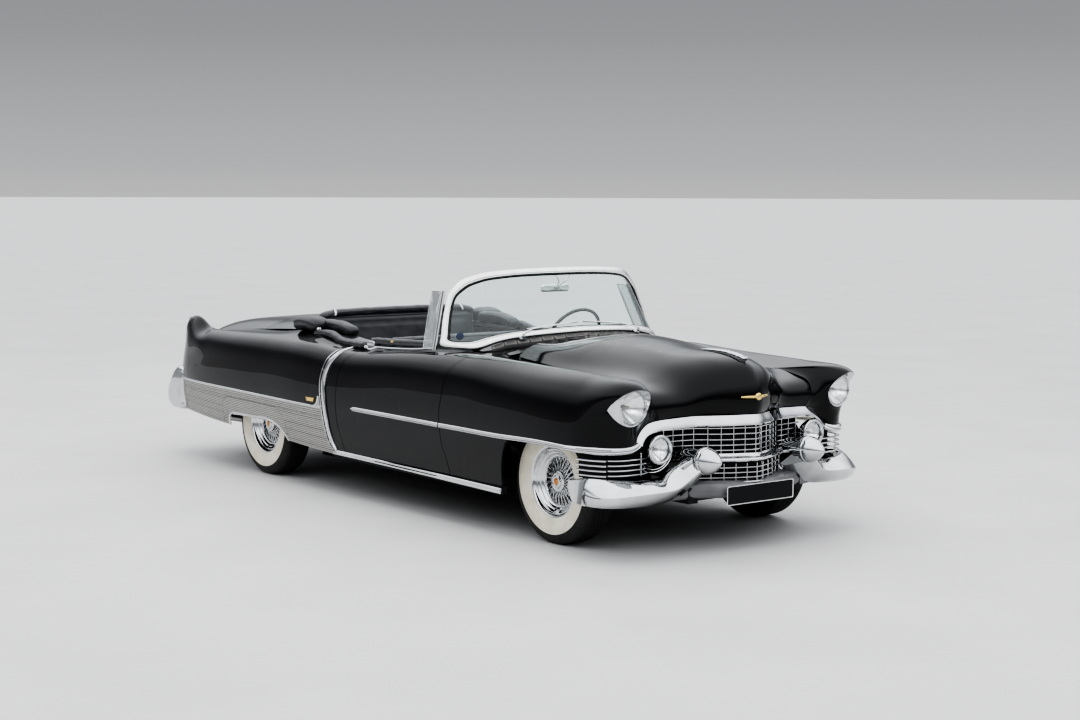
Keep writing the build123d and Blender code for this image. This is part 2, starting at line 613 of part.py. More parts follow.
# vent window behind each pillar, on the door: a leaning pane
with BuildPart() as vent_left:
    for z, y, x0, x1 in ((1034, 868, 690, 764), (1392, 700, 640, 752)):
        with BuildSketch(Plane.XY.offset(z)):
            with Locations(((x0 + x1) / 2, y)):
                Rectangle(x1 - x0, 8)
    loft(ruled=True)
finish(vent_left.part, "vent_window_left")
finish(mirrored(vent_left.part), "vent_window_right")

# ---------------------------------------------------------------- cabin
finish(side_prism([(845, 912), (845, 1000), (900, 1046), (958, 1060), (958, 912)], -680, 680), "dashboard")
COLUMN_TILT, WHEEL_AT = 28.0, (520.0, 390.0, 1045.0)
along = Vector(-cos(radians(COLUMN_TILT)), 0, sin(radians(COLUMN_TILT)))
column_start = Vector(*WHEEL_AT) - along * 32
finish(rod(column_start, Vector(*WHEEL_AT) - along * 684, 26), "steering_column")
with BuildPart() as steering_wheel:
    with BuildSketch(Plane(origin=WHEEL_AT, x_dir=(0, 1, 0), z_dir=Vector(0, 1, 0).cross(along))):
        with Locations((0, 0)):
            Rectangle(80, 40)
        with Locations((208, 0), (-208, 0)):
            Circle(11)
        Rectangle(410, 10)
    extrude(amount=9, both=True)
    with BuildSketch(Plane(origin=WHEEL_AT, x_dir=(0, 1, 0), z_dir=Vector(0, 1, 0).cross(along))):
        with Locations((208, 0)):
            Circle(12)
    revolve(axis=Axis(WHEEL_AT, along))
finish(steering_wheel.part, "steering_wheel")

front_seat_outlines = ([(45, 380), (45, 545), (300, 535), (560, 570), (600, 540), (585, 380)],
                       [(15, 400), (35, 530), (-40, 1000), (-58, 1046), (-122, 1046), (-150, 990), (-105, 400)])
for outline, node in zip(front_seat_outlines, ("front_seat_cushion", "front_seat_back")):
    finish(side_prism(outline, -650, 650), node)
finish(side_prism([(-870, 380), (-878, 540), (-430, 560), (-410, 520), (-420, 380)], -615, 615), "rear_seat_cushion")
finish(side_prism([(-884, 400), (-884, 560), (-975, 1090), (-990, 1165), (-1040, 1182), (-1095, 1170), (-1118, 1110), (-996, 620), (-996, 400)], -640, 640), "rear_seat_back")
finish(both_sides(side_prism([(-545, 1070), (-550, 1010), (-700, 985), (-950, 985), (-960, 1090), (-950, 1148), (-860, 1152), (-731, 1124), (-610, 1110)], 645, 735)), "rear_side_bolsters")
finish(both_sides(block(-938, -290, 740, 752, 262, 985)), "rear_side_trim")
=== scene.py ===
import math
import bpy
import bmesh
import numpy as np
from mathutils import Matrix, Vector


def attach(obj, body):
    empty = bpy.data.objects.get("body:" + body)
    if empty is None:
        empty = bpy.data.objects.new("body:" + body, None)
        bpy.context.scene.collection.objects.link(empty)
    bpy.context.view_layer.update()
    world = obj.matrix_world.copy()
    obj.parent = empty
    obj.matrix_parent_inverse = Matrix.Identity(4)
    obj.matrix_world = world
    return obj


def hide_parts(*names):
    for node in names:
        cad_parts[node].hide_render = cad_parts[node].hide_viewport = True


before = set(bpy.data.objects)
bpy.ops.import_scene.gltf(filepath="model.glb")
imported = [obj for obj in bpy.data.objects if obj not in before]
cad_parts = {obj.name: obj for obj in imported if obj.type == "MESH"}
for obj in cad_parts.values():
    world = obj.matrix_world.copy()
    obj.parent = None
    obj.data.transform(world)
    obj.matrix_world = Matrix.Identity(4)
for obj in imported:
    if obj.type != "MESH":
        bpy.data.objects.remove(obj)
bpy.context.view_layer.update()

C = bpy.context
ROOT = "body_and_frame"
MM = 0.001
pi, cos, sin, rad = math.pi, math.cos, math.sin, math.radians

# ============================================================ curves
def spline(knots, values, at):
    """Natural cubic spline through values (n, k) at knots (n,), read at `at`, straight beyond the ends."""
    t = np.asarray(knots, float)
    y = np.asarray(values, float)
    flat = y.ndim == 1
    y = y.reshape(len(t), -1)
    n = len(t)
    h = np.diff(t)
    m = np.zeros_like(y)
    if n > 2:
        a = np.zeros((n - 2, n - 2))
        r = np.zeros((n - 2, y.shape[1]))
        for i in range(1, n - 1):
            a[i - 1, i - 1] = 2 * (h[i - 1] + h[i])
            if i > 1:
                a[i - 1, i - 2] = h[i - 1]
            if i < n - 2:
                a[i - 1, i] = h[i]
            r[i - 1] = 6 * ((y[i + 1] - y[i]) / h[i] - (y[i] - y[i - 1]) / h[i - 1])
        m[1:-1] = np.linalg.solve(a, r)
    at = np.asarray(at, float)
    x = np.clip(at, t[0], t[-1])
    k = np.clip(np.searchsorted(t, x, side="right") - 1, 0, n - 2)
    u, w, hh = (x - t[k])[:, None], (t[k + 1] - x)[:, None], h[k][:, None]
    out = (m[k] * w ** 3 + m[k + 1] * u ** 3) / (6 * hh) + (y[k] / hh - m[k] * hh / 6) * w + (y[k + 1] / hh - m[k + 1] * hh / 6) * u
    s0 = (y[1] - y[0]) / h[0] - h[0] * (2 * m[0] + m[1]) / 6
    s1 = (y[-1] - y[-2]) / h[-1] + h[-1] * (m[-2] + 2 * m[-1]) / 6
    out = out + np.minimum(at - t[0], 0)[:, None] * s0 + np.maximum(at - t[-1], 0)[:, None] * s1
    return out[:, 0] if flat else out


def pchip(knots, values, at):
    """Monotone cubic through values at knots."""
    t, y = np.asarray(knots, float), np.asarray(values, float)
    if t[0] > t[-1]:
        t, y = t[::-1], y[::-1]
    h = np.diff(t)
    d = np.diff(y) / h
    m = np.zeros_like(y)
    for i in range(1, len(t) - 1):
        if d[i - 1] * d[i] > 0:
            w1, w2 = 2 * h[i] + h[i - 1], h[i] + 2 * h[i - 1]
            m[i] = (w1 + w2) / (w1 / d[i - 1] + w2 / d[i])
    m[0], m[-1] = d[0], d[-1]
    x = np.clip(np.asarray(at, float), t[0], t[-1])
    k = np.clip(np.searchsorted(t, x, side="right") - 1, 0, len(t) - 2)
    s = (x - t[k]) / h[k]
    return (y[k] * (1 + 2 * s) * (1 - s) ** 2 + m[k] * h[k] * s * (1 - s) ** 2
            + y[k + 1] * s * s * (3 - 2 * s) + m[k + 1] * h[k] * s * s * (s - 1))


def through(points, n, closed=False, sharp=()):
    """n points evenly spaced along a smooth curve through points; at the indices in sharp the curve has a corner."""
    p = np.asarray(points, float)
    if closed:
        k = len(p)
        ext = np.vstack([p[-3:], p, p[:4]])
        d = np.r_[0, np.cumsum(np.linalg.norm(np.diff(ext, axis=0), axis=1))]
        fine = np.linspace(d[3], d[3 + k], max(400, n * 6))
        c = spline(d, ext, fine)
    else:
        cuts = [0, *[i for i in sharp if 0 < i < len(p) - 1], len(p) - 1]
        runs = []
        for a, b in zip(cuts, cuts[1:]):
            q = p[a:b + 1]
            d = np.r_[0, np.cumsum(np.linalg.norm(np.diff(q, axis=0), axis=1))]
            fine = np.linspace(0, d[-1], max(100, n * 4))
            runs.append(spline(d, q, fine) if len(q) > 2 else q[0] + (q[1] - q[0]) * (fine / d[-1])[:, None])
        c = np.vstack([r if i == 0 else r[1:] for i, r in enumerate(runs)])
    d = np.r_[0, np.cumsum(np.linalg.norm(np.diff(c, axis=0), axis=1))]
    at = np.linspace(0, d[-1], n + 1 if closed else n)
    if closed:
        at = at[:-1]
    return np.column_stack([np.interp(at, d, c[:, j]) for j in range(c.shape[1])])


def step(a, b, x):
    t = np.clip((np.asarray(x, float) - a) / (b - a), 0, 1)
    return t * t * (3 - 2 * t)


def unit(v):
    v = np.asarray(v, float)
    return v / np.maximum(np.linalg.norm(v, axis=-1, keepdims=True), 1e-12)


# ============================================================ meshes
MATS = {}


class Soup:
    """Vertices and faces gathered for one piece, in millimetres."""
    def __init__(self):
        self.v, self.f, self.m, self.n = [], [], [], 0

    def raw(self, pts, faces, mat=0):
        pts = np.asarray(pts, float).reshape(-1, 3)
        self.v.append(pts)
        self.f += [tuple(int(i) + self.n for i in f) for f in faces]
        self.m += list(mat) if isinstance(mat, (list, np.ndarray)) else [mat] * len(faces)
        self.n += len(pts)
        return self

    def grid(self, p, close_u=False, close_v=False, mat=0, flip=False, cap_u=False):
        """p (n, m, 3). close_u joins the last row to the first, close_v the last column to the first."""
        p = np.asarray(p, float)
        n, m = p.shape[:2]
        iu = np.arange(n if close_u else n - 1)
        iv = np.arange(m if close_v else m - 1)
        a, b = np.meshgrid(iu, iv, indexing="ij")
        a2, b2 = (a + 1) % n, (b + 1) % m
        q = np.stack([a * m + b, a2 * m + b, a2 * m + b2, a * m + b2], -1).reshape(-1, 4)
        if flip:
            q = q[:, ::-1]
        faces = [tuple(x) for x in q.tolist()]
        if callable(mat):
            mat = [mat(i // len(iv), i % len(iv)) for i in range(len(faces))]
        elif isinstance(mat, np.ndarray):
            mat = mat.reshape(-1).tolist()
        else:
            mat = [mat] * len(faces)
        if cap_u:
            last = mat[-1]
            faces.append(tuple(range(m)))
            faces.append(tuple(range((n - 1) * m, n * m)))
            mat += [mat[0], last]
        return self.raw(p.reshape(-1, 3), faces, mat)

    def mirror(self):
        """Adds the mirror image about the car's middle plane."""
        pts = np.vstack(self.v)
        n0, faces, mats = self.n, list(self.f), list(self.m)
        self.v.append(pts * [1, -1, 1])
        self.f += [tuple(i + n0 for i in f[::-1]) for f in faces]
        self.m += mats
        self.n += n0
        return self

    def flipped(self):
        """A copy of it all on the other side of the car."""
        s = Soup()
        s.v = [np.vstack(self.v) * [1, -1, 1]]
        s.f = [f[::-1] for f in self.f]
        s.m, s.n = list(self.m), self.n
        return s

    def make(self, name, mats, body=ROOT, slot=None, replaces=(), angle=38, weld=0.01, normals=True, subdiv=0):
        me = bpy.data.meshes.new(name)
        pts = np.vstack(self.v) * MM
        me.from_pydata(pts.tolist(), [], self.f)
        for m in ([mats] if isinstance(mats, str) else mats):
            me.materials.append(MATS[m])
        me.polygons.foreach_set("material_index", np.array(self.m, np.int32))
        me.polygons.foreach_set("use_smooth", np.ones(len(me.polygons), bool))
        bm = bmesh.new()
        bm.from_mesh(me)
        if weld:
            bmesh.ops.remove_doubles(bm, verts=bm.verts, dist=weld * MM)
            bmesh.ops.dissolve_degenerate(bm, edges=bm.edges, dist=1e-7)
        if normals:
            bmesh.ops.recalc_face_normals(bm, faces=bm.faces)
        lim = rad(angle)
        for e in bm.edges:
            if len(e.link_faces) == 2 and e.calc_face_angle(0) > lim:
                e.smooth = False
        bm.to_mesh(me)
        bm.free()
        ob = bpy.data.objects.new(name, me)
        C.scene.collection.objects.link(ob)
        if subdiv:
            md = ob.modifiers.new("subdiv", "SUBSURF")
            md.levels = md.render_levels = subdiv
        if body:
            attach(ob, body)
        if replaces:
            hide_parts(*replaces)
        return ob


def pair(soup, name, mats, bodies=(ROOT, ROOT), replaces=((), ()), **kw):
    """The same piece on the left and, mirrored, on the right."""
    right = soup.flipped()
    a = soup.make(name + "_left", mats, body=bodies[0], replaces=replaces[0], **kw)
    b = right.make(name + "_right", mats, body=bodies[1], replaces=replaces[1], **kw)
    return a, b


def lathe(profile, origin, axis=(1, 0, 0), seg=64, smooth=None, start=0.0, arc=2 * pi, wobble=None):
    """Grid (profile, angle) of a (r, along) profile turned about an axis. wobble(r, along, angle) may move r."""
    pr = np.asarray(profile, float)
    if smooth:
        pr = through(pr, smooth)
    w = unit(axis)
    u = unit(np.cross(w, (0, 0, 1)) if abs(w[2]) < 0.9 else np.array([1.0, 0, 0]))
    v = np.cross(w, u)
    full = abs(arc - 2 * pi) < 1e-6
    a = start + np.linspace(0, arc, seg + (0 if full else 1), endpoint=not full)
    r = pr[:, 0][:, None] + np.zeros(len(a))[None]
    l = pr[:, 1][:, None] + np.zeros(len(a))[None]
    if wobble is not None:
        r, l = wobble(r, l, a[None, :] + np.zeros_like(r))
    return np.asarray(origin, float) + r[..., None] * (np.cos(a)[None, :, None] * u + np.sin(a)[None, :, None] * v) + l[..., None] * w


def sweep(path, section, up, scale=None, closed=False, twist=None):
    """Grid (path, section): section points (a, b) are laid across the path, b along up, a along tangent x up."""
    p = np.asarray(path, float)
    s = np.asarray(section, float)
    if closed:
        t = unit(np.roll(p, -1, 0) - np.roll(p, 1, 0))
    else:
        t = unit(np.gradient(p, axis=0))
    up = np.broadcast_to(np.asarray(up, float), p.shape)
    side = unit(np.cross(t, up))
    upn = np.cross(side, t)
    k = np.ones((len(p), 2)) if scale is None else np.asarray(scale, float)
    if k.ndim == 1:
        k = np.column_stack([k, k])
    return p[:, None] + side[:, None] * (s[None, :, 0:1] * k[:, None, 0:1]) + upn[:, None] * (s[None, :, 1:2] * k[:, None, 1:2])


def circle(r, n=12, ry=None):
    a = np.linspace(0, 2 * pi, n, endpoint=False)
    return np.column_stack([np.cos(a) * r, np.sin(a) * (ry or r)])


def half_round(w, h, n=9, foot=2.0):
    """A low rounded strip, w wide and h proud, closed below."""
    a = np.linspace(0, pi, n)
    return np.vstack([np.column_stack([np.cos(a) * w / 2, np.maximum(np.sin(a), 0) ** 0.8 * h]), [(-w / 2, -foot), (w / 2, -foot)]])


def tube(soup, path, r, up=(0, 0, 1), n=10, closed=False, mat=0, ends=True, ry=None, scale=None):
    soup.grid(sweep(path, circle(r, n, ry), up, closed=closed, scale=scale), close_u=closed, close_v=True, mat=mat, cap_u=ends and not closed)


def rounded(section, r=3.0, n=3):
    """A closed polygon with its corners rounded."""
    s = np.asarray(section, float)
    out = []
    for i in range(len(s)):
        a, b, c = s[i - 1], s[i], s[(i + 1) % len(s)]
        d1, d2 = np.linalg.norm(a - b), np.linalg.norm(c - b)
        k = min(r, 0.45 * d1, 0.45 * d2)
        p, q = b + (a - b) / d1 * k, b + (c - b) / d2 * k
        for t in np.linspace(0, 1, n + 1):
            out.append((1 - t) ** 2 * p + 2 * t * (1 - t) * b + t * t * q)
    return np.array(out)


def slab(soup, outline, lo, hi, axis="y", r=3.0, mat=0, n=3, corner=None):
    """An outline drawn across the other two axes, between lo and hi along axis, with rounded long edges."""
    o = np.asarray(outline, float)
    if corner:
        o = rounded(o, corner, 5)
    mid = o.mean(0)
    area = 0.5 * np.sum(o[:, 0] * np.roll(o[:, 1], -1) - np.roll(o[:, 0], -1) * o[:, 1])
    nrm = unit(np.column_stack([np.roll(o, -1, 0)[:, 1] - np.roll(o, 1, 0)[:, 1], -(np.roll(o, -1, 0)[:, 0] - np.roll(o, 1, 0)[:, 0])])) * np.sign(area)
    rows = []
    for t in np.linspace(0, pi / 2, n + 1):
        rows.append((o - nrm * r * (1 - sin(t)), lo + r * (1 - cos(t))))
    for t in np.linspace(pi / 2, 0, n + 1):
        rows.append((o - nrm * r * (1 - sin(t)), hi - r * (1 - cos(t))))
    g = np.zeros((len(rows), len(o), 3))
    ia, ib, ic = {"y": (0, 2, 1), "x": (1, 2, 0), "z": (0, 1, 2)}[axis]
    for i, (q, h) in enumerate(rows):
        g[i, :, ia], g[i, :, ib], g[i, :, ic] = q[:, 0], q[:, 1], h
    soup.grid(g, close_v=True, cap_u=True, mat=mat)
    return soup


def normals_of(p):
    du = np.gradient(p, axis=0)
    dv = np.gradient(p, axis=1)
    return unit(np.cross(du, dv))


def panel(soup, p, thick=8.0, edge=2.5, inner=True, mat=0, mat_in=None, sign=None, hem=None):
    """A sheet-metal panel over grid p: outer face, a rounded rolled edge and an inner face. sign picks the outer side."""
    p = np.asarray(p, float)
    n = normals_of(p)
    if sign is not None and np.sum(n.reshape(-1, 3) @ np.asarray(sign, float)) < 0:
        n = -n
    soup.grid(p, mat=mat)
    ring = lambda g: np.vstack([g[0, :-1], g[:-1, -1], g[-1, :0:-1], g[:0:-1, 0]])
    rp, rn = ring(p), ring(n)
    tang = unit(np.roll(rp, -1, 0) - np.roll(rp, 1, 0))
    out = unit(np.cross(tang, rn))
    mid = p.reshape(-1, 3).mean(0)
    if np.sum((rp - mid) * out) < 0:
        out = -out
    rows = [rp]
    for t in (30, 60, 90):
        rows.append(rp + out * edge * sin(rad(t)) - rn * edge * (1 - cos(rad(t))))
    depth = hem if hem else thick
    rows.append(rp + out * edge - rn * depth)
    if inner:
        rows.append(rp + out * (edge - 1) - rn * (depth + 0.5))
    rows = [r - out * edge for r in rows]
    rows[0] = rp
    soup.grid(np.array(rows), close_v=True, mat=mat)
    if inner:
        q = p - n * thick
        soup.grid(q, mat=mat if mat_in is None else mat_in)
        soup.grid(np.array([rows[-1], ring(q)]), close_v=True, mat=mat if mat_in is None else mat_in)
    return soup


# ============================================================ materials, all procedural
def nodes_of(name):
    m = bpy.data.materials.new(name)
    m.use_nodes = True
    nt = m.node_tree
    nt.nodes.clear()
    out = nt.nodes.new("ShaderNodeOutputMaterial")
    b = nt.nodes.new("ShaderNodeBsdfPrincipled")
    nt.links.new(b.outputs[0], out.inputs[0])
    MATS[name] = m
    return m, nt, b


def coords(nt, scale=(1, 1, 1)):
    tc = nt.nodes.new("ShaderNodeTexCoord")
    mp = nt.nodes.new("ShaderNodeMapping")
    mp.inputs["Scale"].default_value = scale
    nt.links.new(tc.outputs["Object"], mp.inputs["Vector"])
    return mp.outputs["Vector"]


def noise(nt, vec, scale, detail=4, rough=0.55):
    n = nt.nodes.new("ShaderNodeTexNoise")
    n.inputs["Scale"].default_value = scale
    n.inputs["Detail"].default_value = detail
    n.inputs["Roughness"].default_value = rough
    nt.links.new(vec, n.inputs["Vector"])
    return n.outputs["Fac"]


def ramp(nt, fac, stops):
    r = nt.nodes.new("ShaderNodeValToRGB")
    el = r.color_ramp.elements
    while len(el) < len(stops):
        el.new(0.5)
    for e, (p, c) in zip(el, stops):
        e.position = p
        e.color = (*c, 1) if len(c) == 3 else c
    nt.links.new(fac, r.inputs[0])
    return r.outputs["Color"]


def spread(nt, fac, lo, hi, f0=0.3, f1=0.7):
    r = nt.nodes.new("ShaderNodeMapRange")
    r.inputs["From Min"].default_value = f0
    r.inputs["From Max"].default_value = f1
    r.inputs["To Min"].default_value = lo
    r.inputs["To Max"].default_value = hi
    nt.links.new(fac, r.inputs["Value"])
    return r.outputs["Result"]


def bump(nt, b, height, strength, distance, chain=None, coat=False):
    n = nt.nodes.new("ShaderNodeBump")
    n.inputs["Strength"].default_value = strength
    n.inputs["Distance"].default_value = distance
    nt.links.new(height, n.inputs["Height"])
    if chain:
        nt.links.new(chain, n.inputs["Normal"])
    nt.links.new(n.outputs[0], b.inputs["Normal"])
    if coat:
        nt.links.new(n.outputs[0], b.inputs["Coat Normal"])
    return n.outputs[0]


def setv(b, **kw):
    names = {"metal": "Metallic", "rough": "Roughness", "spec": "Specular IOR Level", "coat": "Coat Weight", "coat_rough": "Coat Roughness", "coat_ior": "Coat IOR",
             "sheen": "Sheen Weight", "trans": "Transmission Weight", "ior": "IOR", "aniso": "Anisotropic", "sheen_rough": "Sheen Roughness", "emit": "Emission Strength"}
    for k, v in kw.items():
        b.inputs[names[k]].default_value = v


def metal(name, color, rough, spread_to, wave=0.0, grain=(1, 1, 1), grain_scale=40.0, tint=None):
    m, nt, b = nodes_of(name)
    setv(b, metal=1.0)
    v = coords(nt, grain)
    n1 = noise(nt, v, grain_scale, 5)
    dark = tuple(c * 0.86 for c in color) if tint is None else tint
    nt.links.new(ramp(nt, n1, [(0.3, dark), (0.62, color)]), b.inputs["Base Color"])
    nt.links.new(spread(nt, noise(nt, coords(nt), grain_scale * 0.35, 6), rough, spread_to), b.inputs["Roughness"])
    if wave:
        bump(nt, b, noise(nt, v, grain_scale * 2.2, 3), wave, 0.0006)
    return m


metal("chrome", (0.66, 0.67, 0.68), 0.03, 0.075, 0.04, grain_scale=9)
metal("chrome_wheel", (0.66, 0.67, 0.68), 0.05, 0.12, 0.05, grain_scale=22)
metal("satin_frame", (0.93, 0.93, 0.92), 0.20, 0.32, 0.05, (1, 1, 1), 26)
metal("bare_steel", (0.42, 0.41, 0.40), 0.30, 0.5, 0.25, (1, 1, 1), 30)
metal("cast", (0.20, 0.20, 0.20), 0.5, 0.72, 0.6, (1, 1, 1), 45)
metal("gilt", (0.90, 0.66, 0.24), 0.16, 0.28, 0.1, (1, 1, 1), 60)
metal("reflector", (0.93, 0.93, 0.94), 0.10, 0.2, 0.1, (1, 1, 1), 30)

# deep gloss paint: a clear coat over black, with faint haze, fine dust low down and a trace of orange peel
def paint(name, color, dust=True):
    m, nt, b = nodes_of(name)
    setv(b, coat=1.0, coat_rough=0.010, coat_ior=1.34, spec=0.03)
    v = coords(nt)
    base = ramp(nt, noise(nt, v, 3.0, 6, 0.6), [(0.35, tuple(c * 0.8 for c in color)), (0.7, tuple(c * 1.35 for c in color))])
    if dust:
        tc = nt.nodes.new("ShaderNodeTexCoord")
        sx = nt.nodes.new("ShaderNodeSeparateXYZ")
        nt.links.new(tc.outputs["Object"], sx.inputs[0])
        low = spread(nt, sx.outputs["Z"], 1.0, 0.0, 0.27, 0.52)
        spots = spread(nt, noise(nt, v, 26.0, 8, 0.7), 0.0, 1.0, 0.42, 0.8)
        mul = nt.nodes.new("ShaderNodeMath")
        mul.operation = "MULTIPLY"
        nt.links.new(low, mul.inputs[0])
        nt.links.new(spots, mul.inputs[1])
        mx = nt.nodes.new("ShaderNodeMix")
        mx.data_type = "RGBA"
        nt.links.new(mul.outputs[0], mx.inputs["Factor"])
        nt.links.new(base, mx.inputs["A"])
        mx.inputs["B"].default_value = (0.010, 0.0095, 0.009, 1)
        base = mx.outputs["Result"]
    nt.links.new(base, b.inputs["Base Color"])
    nt.links.new(spread(nt, noise(nt, v, 7.0, 7, 0.65), 0.22, 0.42), b.inputs["Roughness"])
    bp = nt.nodes.new("ShaderNodeBump")
    bp.inputs["Strength"].default_value = 0.02
    bp.inputs["Distance"].default_value = 0.0004
    nt.links.new(noise(nt, v, 260.0, 2), bp.inputs["Height"])
    nt.links.new(bp.outputs[0], b.inputs["Coat Normal"])
    return m


paint("paint", (0.0016, 0.0017, 0.0022))
paint("paint_inner", (0.0030, 0.0030, 0.0034), dust=False)


def soft(name, color, rough, scale, strength=0.3, dist=0.0008, sheen=0.0, kind="noise", lift=1.6, spec=0.5, detail=6):
    m, nt, b = nodes_of(name)
    setv(b, spec=spec, sheen=sheen)
    v = coords(nt)
    n = noise(nt, v, scale * 0.12, detail, 0.6)
    nt.links.new(ramp(nt, n, [(0.3, tuple(c / lift ** 0.5 for c in color)), (0.7, tuple(min(1, c * lift ** 0.5) for c in color))]), b.inputs["Base Color"])
    nt.links.new(spread(nt, noise(nt, v, scale * 0.3, 5), rough * 0.82, min(1, rough * 1.15)), b.inputs["Roughness"])
    if kind == "leather":
        vo = nt.nodes.new("ShaderNodeTexVoronoi")
        vo.feature = "DISTANCE_TO_EDGE"
        vo.inputs["Scale"].default_value = scale
        nt.links.new(v, vo.inputs["Vector"])
        c1 = bump(nt, b, spread(nt, vo.outputs["Distance"], 0, 1, 0.0, 0.22), strength, dist)
        bump(nt, b, noise(nt, v, scale * 0.08, 4), strength * 0.6, dist * 4, chain=c1)
    elif kind == "weave":
        w1 = nt.nodes.new("ShaderNodeTexWave")
        w1.inputs["Scale"].default_value = scale
        w1.inputs["Distortion"].default_value = 2.5
        w1.inputs["Detail"].default_value = 3
        nt.links.new(v, w1.inputs["Vector"])
        bump(nt, b, w1.outputs["Fac"], strength, dist)
    else:
        bump(nt, b, noise(nt, v, scale, detail), strength, dist)
    return m


soft("leather", (0.017, 0.018, 0.022), 0.34, 420, 0.22, 0.0005, 0.04, "leather", 1.4, 0.6)
soft("leather_piping", (0.022, 0.022, 0.024), 0.36, 300, 0.2, 0.0004, 0.0, "leather", 1.3)
soft("carpet", (0.020, 0.020, 0.022), 0.95, 900, 0.9, 0.002, 0.3, "noise", 2.4, 0.2)
soft("top_cloth", (0.018, 0.018, 0.020), 0.82, 700, 0.6, 0.0008, 0.15, "weave", 1.5, 0.3)
soft("rubber", (0.016, 0.016, 0.017), 0.62, 180, 0.3, 0.0005, 0.0, "noise", 1.6, 0.4)
soft("gasket", (0.010, 0.010, 0.011), 0.48, 200, 0.2, 0.0004, 0.0, "noise", 1.4, 0.4)
soft("dark_steel", (0.020, 0.020, 0.022), 0.55, 140, 0.35, 0.0006, 0.0, "noise", 2.2, 0.4)
soft("underseal", (0.012, 0.012, 0.013), 0.8, 160, 0.8, 0.0015, 0.0, "noise", 2.0, 0.3)
soft("vent_grey", (0.115, 0.110, 0.105), 0.55, 160, 0.2, 0.0004, 0.0, "noise", 1.5, 0.4)
soft("silver_paint", (0.13, 0.13, 0.135), 0.38, 120, 0.10, 0.0003, 0.0, "noise", 1.2, 0.6)
soft("plate_black", (0.0022, 0.0026, 0.0045), 0.38, 40, 0.02, 0.0001, 0.0, "noise", 1.2, 0.25)
soft("bakelite", (0.012, 0.012, 0.013), 0.18, 60, 0.05, 0.0002, 0.0, "noise", 1.3, 0.6)
soft("dial", (0.55, 0.54, 0.50), 0.4, 60, 0.05, 0.0002, 0.0, "noise", 1.1, 0.5)
soft("enamel_red", (0.36, 0.035, 0.02), 0.2, 90, 0.08, 0.0002, 0.0, "noise", 1.5, 0.6)
soft("grey_metal", (0.16, 0.16, 0.165), 0.5, 120, 0.3, 0.0005, 0.0, "noise", 1.7, 0.5)

# cream side wall: faint streaks and a little road film, spread by noise
m, nt, b = nodes_of("whitewall")
v = coords(nt)
nt.links.new(ramp(nt, noise(nt, v, 9, 7, 0.65), [(0.25, (0.56, 0.52, 0.41)), (0.6, (0.74, 0.70, 0.59)), (0.85, (0.80, 0.77, 0.68))]), b.inputs["Base Color"])
nt.links.new(spread(nt, noise(nt, v, 30, 5), 0.45, 0.68), b.inputs["Roughness"])
bump(nt, b, noise(nt, v, 140, 4), 0.12, 0.0005)

# tyre rubber, a touch dusty
m, nt, b = nodes_of("tyre")
v = coords(nt)
nt.links.new(ramp(nt, noise(nt, v, 14, 8, 0.7), [(0.3, (0.011, 0.011, 0.012)), (0.62, (0.022, 0.021, 0.020)), (0.9, (0.060, 0.056, 0.050))]), b.inputs["Base Color"])
nt.links.new(spread(nt, noise(nt, v, 60, 5), 0.62, 0.85), b.inputs["Roughness"])
bump(nt, b, noise(nt, v, 420, 4), 0.35, 0.0007)

# pale aluminium with a fine lengthwise brush
m, nt, b = nodes_of("aluminium")
setv(b, metal=1.0)
v = coords(nt, (0.6, 1, 28))
nt.links.new(ramp(nt, noise(nt, v, 30, 6), [(0.25, (0.40, 0.39, 0.37)), (0.7, (0.53, 0.52, 0.50))]), b.inputs["Base Color"])
nt.links.new(spread(nt, noise(nt, coords(nt), 18, 6), 0.26, 0.42), b.inputs["Roughness"])
bump(nt, b, noise(nt, v, 60, 3), 0.03, 0.0002)

# darker aluminium for the floor of each rib's groove: painted shade in the grooves
metal("rib_groove_painted_shade", (0.115, 0.112, 0.105), 0.42, 0.6, 0.1, (1, 1, 1), 40)

# window glass, pale blue-green
def glass(name, color, rough=0.0, ior=1.45):
    m, nt, b = nodes_of(name)
    setv(b, trans=1.0, ior=ior)
    v = coords(nt)
    nt.links.new(ramp(nt, noise(nt, v, 2.0, 3), [(0.3, color), (0.8, tuple(min(1, c * 1.015) for c in color))]), b.inputs["Base Color"])
    nt.links.new(spread(nt, noise(nt, v, 6.0, 7, 0.7), rough, rough + 0.02), b.inputs["Roughness"])
    return m


glass("glass", (0.83, 0.92, 0.91))
setv(glass("vent_glass", (0.86, 0.93, 0.92)).node_tree.nodes["Principled BSDF"], coat=1.0, coat_rough=0.02, coat_ior=2.3)
glass("lamp_glass", (0.97, 0.98, 0.98), 0.01, 1.5)
m, nt, b = nodes_of("red_glass")
setv(b, spec=0.6, coat=1.0, coat_rough=0.03)
v = coords(nt)
nt.links.new(ramp(nt, noise(nt, v, 40, 4), [(0.3, (0.14, 0.004, 0.006)), (0.7, (0.26, 0.010, 0.012))]), b.inputs["Base Color"])
nt.links.new(spread(nt, noise(nt, v, 30, 5), 0.08, 0.2), b.inputs["Roughness"])
w1 = nt.nodes.new("ShaderNodeTexWave")
w1.inputs["Scale"].default_value = 55
nt.links.new(v, w1.inputs["Vector"])
bump(nt, b, w1.outputs["Fac"], 0.4, 0.001)

